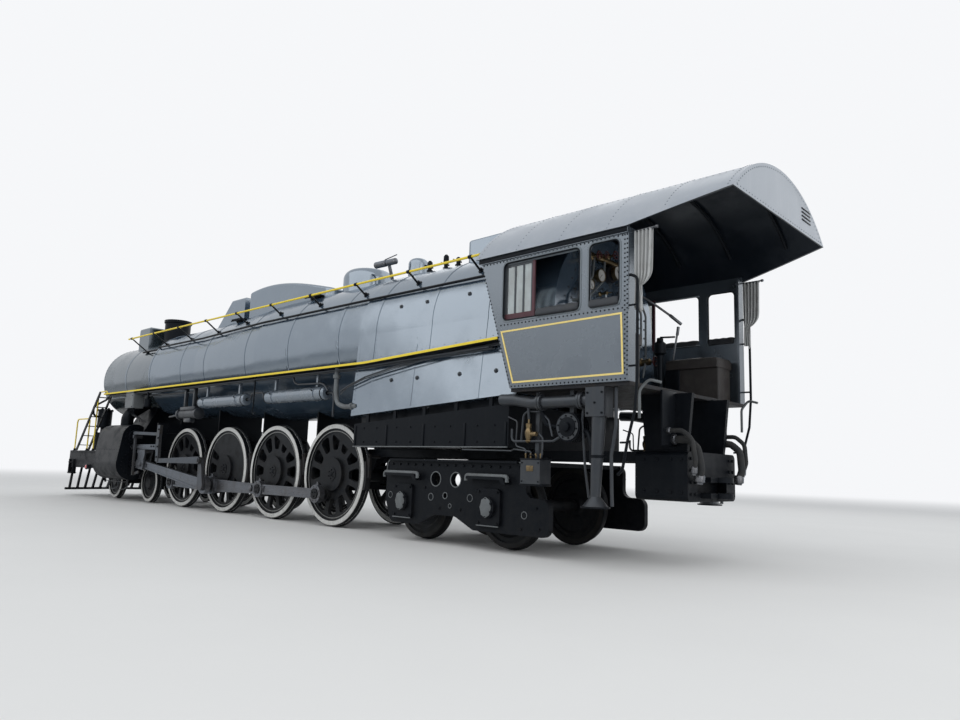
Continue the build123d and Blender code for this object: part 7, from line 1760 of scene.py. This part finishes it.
for side, wrist_x, name in ((1, 4.843, "left"), (-1, 4.302, "right")):
    inward = (0, -side, 0)
    centre = skin("crossheads", (wrist_x, side * 1.7, CYLINDER_Z), inward)[0]
    cap = turned(
        "wrist_cap", centre, (0, side, 0), ((-0.004, 0.055), (0.010, 0.055), (0.016, 0.034), (0.030, 0.032)), 18
    )
    beside = [(wrist_x + dx, side * 1.7, CYLINDER_Z + dz) for dx in (-0.15, 0.15) for dz in (-0.12, 0.12)]
    studs = on_skin("crossheads", beside, inward)
    cup = turned(
        "crosshead_cup", (wrist_x, side * CYLINDER_Y, 1.15), UPWARD,
        ((-0.01, 0.026), (0.02, 0.026), (0.03, 0.018), (0.05, 0.014)), 12,
    )
    dress(
        f"crosshead_studs_{name}", [cap, cup] + ([bolts(studs, 0.015, 0.016)] if studs else []), STEEL,
    )
    pin = Vector((DRIVER_X[1] + PINS[side][0], side * CYLINDER_Y, DRIVER_Z + PINS[side][1]))
    beside = [
        (pin.x + dx, side * 1.7, pin.z + dz) for dx, dz in ((0.20, 0.07), (0.20, -0.03), (-0.17, 0.06), (-0.17, -0.06))
    ]
    ends = on_skin("main_rods", beside, inward)
    grease = turned(
        "big_end_cup", pin + Vector((0, 0, 0.175)), UPWARD,
        ((-0.02, 0.030), (0.02, 0.030), (0.025, 0.020), (0.05, 0.016)), 14,
    )
    dress(f"main_rod_studs_{name}", [grease] + ([bolts(ends, 0.014, 0.014)] if ends else []), STEEL)
link_hits = on_skin("valve_gear", [(3.76, 2, z) for z in (1.36, 1.56, 1.76, 1.12)], RIGHTWARD)
dress_both("link_bolts", [bolts(link_hits, 0.022, 0.018)], FRAME_BLACK)
yoke_spots = [(3.7, y, z) for y in (0.75, 1.0, 1.2) for z in (1.75, 1.86)]
dress_both("yoke_bolts", [bolts(on_skin("guide_yoke", yoke_spots, AHEAD), 0.016, 0.016)], FRAME_BLACK)

# Trailing truck: cover and box bolts, grey hood edges as painted highlights, rims round the holes and flange bolts
spots, rims, edges = [], [], []
for x in TRAIL_X:
    spots += ring_spots((x, TRUCK_COVER_Y, TRAIL_Z), LEFTWARD, 0.112, 6, 0.26)
    spots += [((x + dx, 1.24, TRAIL_Z + dz), LEFTWARD) for dx in (-0.165, 0.165) for dz in (-0.205, 0.205)]
    cap = turned(
        "cover_cap", (x, 1.284, TRAIL_Z), LEFTWARD, ((0, 0.102), (0.010, 0.102), (0.020, 0.085), (0.024, 0.03)), 8
    )
    cap.data.transform(
        Matrix.Translation((0, 0, TRAIL_Z)) @ Matrix.Scale(1.35, 4, UPWARD) @ Matrix.Translation((0, 0, -TRAIL_Z))
    )
    rims.append(cap)
    # Grey strips along the hood tops are painted highlights.
    edges.append(
        pipe(
            "hood_highlight",
            [(x + dx, 1.292, z) for dx, z in ((0.375, 0.93), (0.375, 1.008), (-0.375, 1.008), (-0.375, 0.93))], 0.026,
            0.055, 14,
        ),
    )
    edges.append(plate("box_toe", (x - 0.20, 1.236, 0.335), (x + 0.20, 1.252, 0.350), 0.003))
middle = sum(TRAIL_X) / 2
edges.append(
    pipe(
        "frame_edge", ((-4.415, 1.200, 0.98), (-4.43, 1.200, 1.195), (-7.19, 1.200, 1.195), (-7.21, 1.200, 1.00)),
        0.009, 0.09, 8,
    ),
)
for x, z, radius in (
    (-5.43, 0.67, 0.050), (-6.22, 0.69, 0.050), (-7.20, 0.52, 0.045), (-4.52, 0.66, 0.045), (-5.83, 0.56, 0.030)
):
    rims.append(ring_of("plug_rim", (x, 1.196, z), LEFTWARD, radius, 0.006, 20))
rims.append(ring_of("hole_rim", (middle, TRUCK_FACE_Y, 0.70), LEFTWARD, 0.044, 0.007, 20))
for x in (middle - 0.205, middle + 0.205):
    rims.append(ring_of("hole_rim", (x, TRUCK_FACE_Y, 0.93), LEFTWARD, 0.104, 0.009))
spots += [((x, TRUCK_FACE_Y, 1.13), LEFTWARD) for x in [-4.55 - 0.17 * k for k in range(16)]]
spots += [
    ((x, TRUCK_FACE_Y, z), LEFTWARD)
    for x, z in (
        (-5.62, 0.52), (-6.04, 0.52), (-5.30, 0.80), (-6.36, 0.80), (-7.40, 0.62), (-7.45, 0.36), (-7.15, 0.34),
        (-4.46, 0.36),
    )
]
dress_both("truck_bolts", [bolts(spots, 0.018, 0.018)], FRAME_BLACK, "trail_truck")
dress_both("truck_rims", rims, PIPE_GREY, "trail_truck")
dress_both("truck_edges", edges, PIPE_GREY, "trail_truck")
hub_spots = [((x + dx, 0.602, LEAD_Z + dz), LEFTWARD) for x in LEAD_X for dx in (-0.14, 0.14) for dz in (-0.08, 0.12)]
dress_both("lead_truck_bolts", [bolts(hub_spots, 0.016, 0.016)], FRAME_BLACK, "lead_truck")

# Front: smokebox ring, door dogs and hinges, headlight, lamps, pumps, deck, pilot and coupler
ring = ring_spots((8.55, 0, BOILER_Z), AHEAD, 0.93, 36)
dress("smokebox_ring_bolts", [bolts(ring, 0.017, 0.018)], SMOKEBOX)
seam_spots = []
for x in (8.47, 5.32):
    for k in range(64):
        turn = math.tau * k / 64
        seam_spots.append(
            ((x, math.cos(turn) * 0.984, BOILER_Z + math.sin(turn) * 0.984), (0, math.cos(turn), math.sin(turn)))
        )
shown_spots = [spot for spot in seam_spots if not (spot[0][2] < 2.5 and spot[0][0] < 7)]
dress("smokebox_rivets", [rivets(shown_spots, 0.014)], SMOKEBOX)
dogs = []
for k in range(18):
    turn = math.tau * k / 18
    face = skin("smokebox_door", (10, math.cos(turn) * 0.655, BOILER_Z + math.sin(turn) * 0.655), ASTERN)
    if face and math.cos(turn) < 0.96:
        dog = plate("door_dog", (face[0].x - 0.004, -0.017, 0.615), (face[0].x + 0.022, 0.017, 0.700), 0.005)
        stud = bolts([((face[0].x + 0.022, 0, 0.655), AHEAD)], 0.017, 0.02)
        first = joined("dog", [dog, stud])
        dogs.append(copied(first, Matrix.Translation((0, 0, BOILER_Z)) @ Matrix.Rotation(turn - math.pi / 2, 4, "X")))
        bpy.data.objects.remove(first)
dress("door_dogs", dogs, SMOKEBOX, "door")
hinges = []
for z in (BOILER_Z - 0.26, BOILER_Z + 0.26):
    inner_face = skin("smokebox_door", (10, 0.35, z), ASTERN)[0]
    outer_face = skin("smokebox_door", (10, 0.60, z), ASTERN)[0]
    hinges.append(
        plate("hinge_strap", (outer_face.x - 0.01, 0.52, z - 0.035), (outer_face.x + 0.022, 0.70, z + 0.035), 0.008)
    )
    hinges.append(bar("hinge_strap", (outer_face.x + 0.008, 0.58, z), (inner_face.x + 0.006, 0.30, z), 0.026, 14))
    hinges.append(
        bar("hinge_barrel", (DOOR_HINGE_X, DOOR_HINGE_Y, z - 0.06), (DOOR_HINGE_X, DOOR_HINGE_Y, z + 0.06), 0.032, 18)
    )
hinges.append(
    pipe(
        "door_rail",
        (
            (8.62, -0.52, BOILER_Z + 0.20), (8.78, -0.50, BOILER_Z + 0.26), (8.80, -0.40, BOILER_Z + 0.40),
            (8.66, -0.34, BOILER_Z + 0.50),
        ),
        0.014, 0.08, 10,
    ),
)
dress("door_hinges", hinges, SMOKEBOX, "door")
lamp_face = skin("headlight", (11, 0, BOILER_Z), ASTERN)[0].x
glass = turned(
    "headlight_lens", (lamp_face - 0.002, 0, BOILER_Z), AHEAD,
    ((-0.006, 0.155), (0.006, 0.150), (0.016, 0.115), (0.022, 0.06), (0.024, 0.02)), 40,
)
fit(glass, LAMP_LENS, "door")
rim_x = skin("headlight", (11, 0.185, BOILER_Z), ASTERN)[0].x
screws = [bolts(ring_spots((rim_x, 0, BOILER_Z), AHEAD, 0.186, 10), 0.009, 0.010)]
dress("headlight_screws", screws, LAMP_METAL, "door")
visor = turned(
    "headlight_cap", (rim_x - 0.12, 0, BOILER_Z + 0.185), UPWARD,
    ((0, 0.05), (0.03, 0.05), (0.035, 0.065), (0.05, 0.065), (0.06, 0.03)), 20,
)
fit(visor, LAMP_METAL, "door")


def over_door(x, degrees):
    """Point on the arc of the front rail."""
    return Vector((x, math.sin(math.radians(degrees)) * 0.90, BOILER_Z + math.cos(math.radians(degrees)) * 0.90))


front_rail = [pipe("front_rail", [over_door(8.60, a) for a in range(-60, 61, 12)], 0.016, 1.2, 10)]
front_rail += [bar("rail_post", over_door(8.54, a), over_door(8.60, a), 0.014, 10) for a in (-58, -20, 20, 58)]
dress("front_rail", front_rail, RAIL_YELLOW)
pump_bolts = []
pump_parts = [
    turned(
        "pump_gland", (PUMP_X, PUMP_Y, 1.735), UPWARD,
        ((0, 0.10), (0.03, 0.10), (0.04, 0.07), (0.16, 0.07), (0.17, 0.10), (0.20, 0.10)), 20,
    ),
    pipe(
        "pump_steam_pipe",
        (
            (PUMP_X - 0.02, PUMP_Y + 0.18, 2.20), (PUMP_X - 0.02, PUMP_Y + 0.32, 2.24),
            (PUMP_X - 0.02, PUMP_Y + 0.34, 2.48), (8.30, 0.95, 2.66), (7.9, 0.96, 2.80),
        ),
        0.028, 0.1, 12,
    ),
    pipe(
        "pump_air_pipe",
        (
            (PUMP_X + 0.02, PUMP_Y - 0.20, 1.50), (PUMP_X + 0.02, PUMP_Y - 0.36, 1.50),
            (PUMP_X + 0.02, PUMP_Y - 0.36, 1.26),
        ),
        0.028, 0.08, 12,
    ),
]
for z, radius in ((1.29, 0.235), (1.735, 0.235), (1.935, 0.205), (2.39, 0.205)):
    pump_parts.append(collar("pump_flange", (PUMP_X, PUMP_Y, z), UPWARD, 0.025, radius - 0.02, radius, 0.001, 28))
    pump_bolts += ring_spots((PUMP_X, PUMP_Y, z + 0.024), UPWARD, radius - 0.022, 10)
for dx, dy in ((0.08, 0.06), (-0.08, -0.05)):
    pump_parts.append(
        turned(
            "pump_cap", (PUMP_X + dx, PUMP_Y + dy, 2.41), UPWARD,
            ((0, 0.045), (0.03, 0.045), (0.04, 0.028), (0.06, 0.024)), 14,
        ),
    )
for k in range(6):
    pump_parts.append(collar("pump_fin", (PUMP_X, PUMP_Y, 1.40 + 0.045 * k), UPWARD, 0.005, 0.214, 0.228, 0.001, 28))
dress_both("pump_details", pump_parts + [bolts(pump_bolts, 0.012, 0.014)], FRAME_BLACK)
posts = [
    pipe(
        "deck_rail",
        ((7.59, 1.40, 1.24), (7.59, 1.40, 2.72), (7.50, 1.40, 2.80), (7.02, 1.40, 2.80), (6.98, 1.40, 2.72)), 0.018,
        0.09, 12,
    ),
    bar("deck_post", (8.04, 1.40, 1.24), (8.04, 1.40, 2.06), 0.018, 12),
    pipe(
        "deck_rail",
        ((8.98, 1.40, 1.24), (8.98, 1.40, 2.04), (8.92, 1.40, 2.10), (8.10, 1.40, 2.10), (8.04, 1.40, 2.04)), 0.018,
        0.08, 12,
    ),
]
dress_both("deck_rails", posts, RAIL_YELLOW)
sockets = [
    turned("post_socket", (x, 1.40, 1.235), UPWARD, ((0, 0.045), (0.012, 0.045), (0.016, 0.030), (0.06, 0.028)), 14)
    for x in (7.59, 8.04, 8.98)
]
sockets += [
    plate("deck_step", (x - 0.16, 1.38, z), (x + 0.16, 1.52, z + 0.02), 0.004) for x, z in ((8.86, 0.62), (8.86, 0.90))
]
sockets += [plate("step_side", (x - 0.008, 1.40, 0.60), (x + 0.008, 1.50, 1.0), 0.003) for x in (8.70, 9.02)]
sockets.append(rivets([((7.36 + 0.085 * k, 1.45, z), LEFTWARD) for z in (1.19, 0.82) for k in range(21)], 0.012))
dress_both("deck_fittings", sockets, FRAME_BLACK)
marker = [
    turned("marker_lamp", (7.59, 1.44, 0.81), LEFTWARD, ((0, 0.05), (0.05, 0.07), (0.085, 0.07), (0.09, 0.055)), 22)
]
dress_both("marker_lamps", marker, LAMP_METAL)
dress_both(
    "marker_lenses",
    [turned("marker_lens", (7.59, 1.525, 0.81), LEFTWARD, ((0, 0.054), (0.012, 0.046), (0.020, 0.02)), 22)], RED_LENS,
)
tread_plates = [
    plate("deck_tread", (x0 + 0.01, 0.02, 1.233), (x1 - 0.01, 1.42, 1.240), 0.002)
    for x0, x1 in ((7.32, 7.90), (7.90, 8.50))
]
dress_both("deck_treads", tread_plates, IRON)
lever = [
    pipe(
        "lift_lever",
        ((9.19, 1.42, 0.94), (9.19, 1.36, 1.10), (9.19, 0.30, 1.10), (9.24, 0.16, 1.08), (9.80, 0.05, 1.12)), 0.014,
        0.05, 10,
    ),
    plate("lever_bracket", (9.145, 1.10, 1.06), (9.21, 1.14, 1.13), 0.004),
    plate("lever_bracket", (9.145, 0.40, 1.06), (9.21, 0.44, 1.13), 0.004),
]
dress_both("lift_levers", lever, FRAME_BLACK)
beam_spots = [((9.15, y, z), AHEAD) for y in [0.22 + 0.12 * k for k in range(10)] for z in (0.84, 1.18)]
dress_both("pilot_beam_bolts", [bolts(beam_spots, 0.017, 0.016)], FRAME_BLACK)
hose = [
    pipe(
        "front_hose",
        ((9.14, 0.42, 0.92), (9.26, 0.42, 0.92), (9.34, 0.42, 0.80), (9.36, 0.40, 0.52), (9.30, 0.38, 0.40)), 0.027,
        0.09, 14,
    ),
]
dress_both("front_hoses", hose, HOSE)
tips = [
    turned(
        "hose_end", (9.345, 0.39, 0.47), (-0.5, -0.2, -1),
        ((-0.02, 0.030), (0.0, 0.040), (0.05, 0.040), (0.06, 0.028), (0.10, 0.030), (0.11, 0.02)), 16,
    ),
    turned("hose_cock", (9.15, 0.42, 0.92), AHEAD, ((0, 0.045), (0.05, 0.045), (0.055, 0.034), (0.09, 0.034)), 16),
]
dress_both("hose_ends", tips, STEEL)

# Rear: drag beam bolts, hoses with their ends and plates
drag_spots = [((-9.20, y, z), ASTERN) for y in (-0.56, -0.46, 0.46, 0.56) for z in (0.88, 1.02, 1.16, 1.30)]
drag_spots += [
    ((x, side * 0.64, z), (0, side, 0)) for side in SIDES for x in (-8.62, -8.80, -8.98, -9.12) for z in (0.90, 1.28)
]
dress("drag_beam_bolts", [bolts(drag_spots, 0.019, 0.018)], FRAME_BLACK)
stubs, nuts = [], []
for y, z, radius in ((0.58, 1.52, 0.045), (0.72, 1.62, 0.028), (-0.58, 1.52, 0.045), (-0.72, 1.62, 0.028)):
    stubs.append(
        pipe(
            "rear_hose",
            (
                (-8.98, y, z), (-9.18, y, z), (-9.30, y, z - 0.10), (-9.33, y * 0.96, z - 0.34),
                (-9.30, y * 0.92, z - 0.46),
            ),
            radius, 0.1, 14,
        ),
    )
    nuts.append(
        turned(
            "hose_nut", (-8.96, y, z), ASTERN,
            ((-0.04, radius * 1.2), (0.0, radius * 1.5), (0.06, radius * 1.5), (0.07, radius * 1.1)), 6,
        ),
    )
    nuts.append(
        turned(
            "hose_coupling", (-9.30, y * 0.92, z - 0.43), (0.1, 0, -1),
            ((-0.03, radius * 1.05), (0.0, radius * 1.4), (0.06, radius * 1.4), (0.07, radius), (0.09, radius * 0.9)),
            16,
        ),
    )
dress("rear_hoses", stubs, HOSE)
dress("rear_hose_ends", nuts, STEEL)
mount = [
    plate("hose_plate", (-8.985, side * 0.66 - 0.17, 1.44), (-8.955, side * 0.66 + 0.17, 2.10), 0.004)
    for side in SIDES
]
dress("hose_plates", mount, FRAME_BLACK)

# Camera, floor and light
CAMERA_PLACE = (-13.3288, 8.5809, 1.0868)
CAMERA_LENS = 27.308
yaw, pitch, roll = 0.8118, 0.1491, 0.0339
toward = Vector((math.cos(pitch) * math.cos(yaw), -math.cos(pitch) * math.sin(yaw), math.sin(pitch)))
level = toward.cross(Vector(UPWARD)).normalized()
upward = level.cross(toward)
right = level * math.cos(roll) + upward * math.sin(roll)
up = upward * math.cos(roll) - level * math.sin(roll)
lens = bpy.data.cameras.new("view")
lens.lens = CAMERA_LENS
lens.sensor_width = 36
lens.sensor_fit = "HORIZONTAL"
lens.clip_end = 400
view = bpy.data.objects.new("view", lens)
bpy.context.collection.objects.link(view)
view.matrix_world = Matrix.Translation(CAMERA_PLACE) @ Matrix(
    ((right.x, up.x, -toward.x), (right.y, up.y, -toward.y), (right.z, up.z, -toward.z))
).to_4x4()
bpy.context.scene.camera = view

BACKGROUND = (0.97, 0.98, 1.0, 1.0)
pick_nothing()
bpy.ops.mesh.primitive_plane_add(size=300, location=(0, 0, -0.002))
floor = settled("floor")
floor_finish, floor_tree, floor_shader, floor_place = begin_finish("pale_floor")
floor_shader.inputs["Roughness"].default_value = 0.9
floor_shader.inputs["Specular IOR Level"].default_value = 0.1
floor_cloud = put(
    floor_tree, "ShaderNodeTexNoise", (("Vector", floor_place.outputs["Object"]), ("Scale", 0.6), ("Detail", 4.0))
)
floor_tree.links.new(
    mix_colour(floor_tree, floor_cloud.outputs[0], (0.70, 0.70, 0.69), (0.74, 0.74, 0.73)),
    floor_shader.inputs["Base Color"],
)
floor_reach = put(floor_tree, "ShaderNodeVectorMath", ((0, floor_place.outputs["Object"]),), operation="LENGTH")
floor_rays = put(floor_tree, "ShaderNodeLightPath")
floor_far = math_node(
    floor_tree, "MULTIPLY", spread(floor_tree, floor_reach.outputs["Value"], 15.0, 55.0, 0.0, 1.0),
    floor_rays.outputs["Is Camera Ray"],
)
floor_glow = put(floor_tree, "ShaderNodeEmission", (("Color", BACKGROUND), ("Strength", 0.95)))
floor_both = put(
    floor_tree, "ShaderNodeMixShader", ((0, floor_far), (1, floor_shader.outputs[0]), (2, floor_glow.outputs[0]))
)
floor_tree.links.new(
    floor_both.outputs[0], [node for node in floor_tree.nodes if node.type == "OUTPUT_MATERIAL"][0].inputs["Surface"]
)
floor.data.materials.append(floor_finish)

world = bpy.context.scene.world or bpy.data.worlds.new("studio")
bpy.context.scene.world = world
world.use_nodes = True
sky = world.node_tree
sky.nodes.clear()
rays = put(sky, "ShaderNodeLightPath")
seen = math_node(
    sky, "MAXIMUM", rays.outputs["Is Camera Ray"],
    math_node(sky, "MAXIMUM", rays.outputs["Is Glossy Ray"], rays.outputs["Is Transmission Ray"]),
)
lit = put(sky, "ShaderNodeBackground", (("Color", (0.93, 0.96, 1.0, 1.0)), ("Strength", 0.62)))
shown = put(sky, "ShaderNodeBackground", (("Color", BACKGROUND), ("Strength", 0.95)))
both = put(sky, "ShaderNodeMixShader", ((0, seen), (1, lit.outputs[0]), (2, shown.outputs[0])))
put(sky, "ShaderNodeOutputWorld", ((0, both.outputs[0]),))


def soft_lamp(name, place, aim, size, power):
    """Large soft lamp that looks at a point."""
    lamp = bpy.data.lights.new(name, "AREA")
    lamp.shape = "RECTANGLE"
    lamp.size, lamp.size_y = size
    lamp.energy = power
    holder = bpy.data.objects.new(name, lamp)
    bpy.context.collection.objects.link(holder)
    holder.location = place
    holder.rotation_euler = (Vector(aim) - Vector(place)).to_track_quat("-Z", "Y").to_euler()


soft_lamp("key_left", (-2, 14, 16), (0, 0, 2.5), (46, 20), 2500)
soft_lamp("fill_right", (-2, -16, 15), (0, 0, 2.5), (46, 20), 1600)
soft_lamp("rear_low", (-22, 3, 6), (-6, 0, 2), (9, 8), 400)

bpy.context.scene.view_settings.view_transform = "Standard"
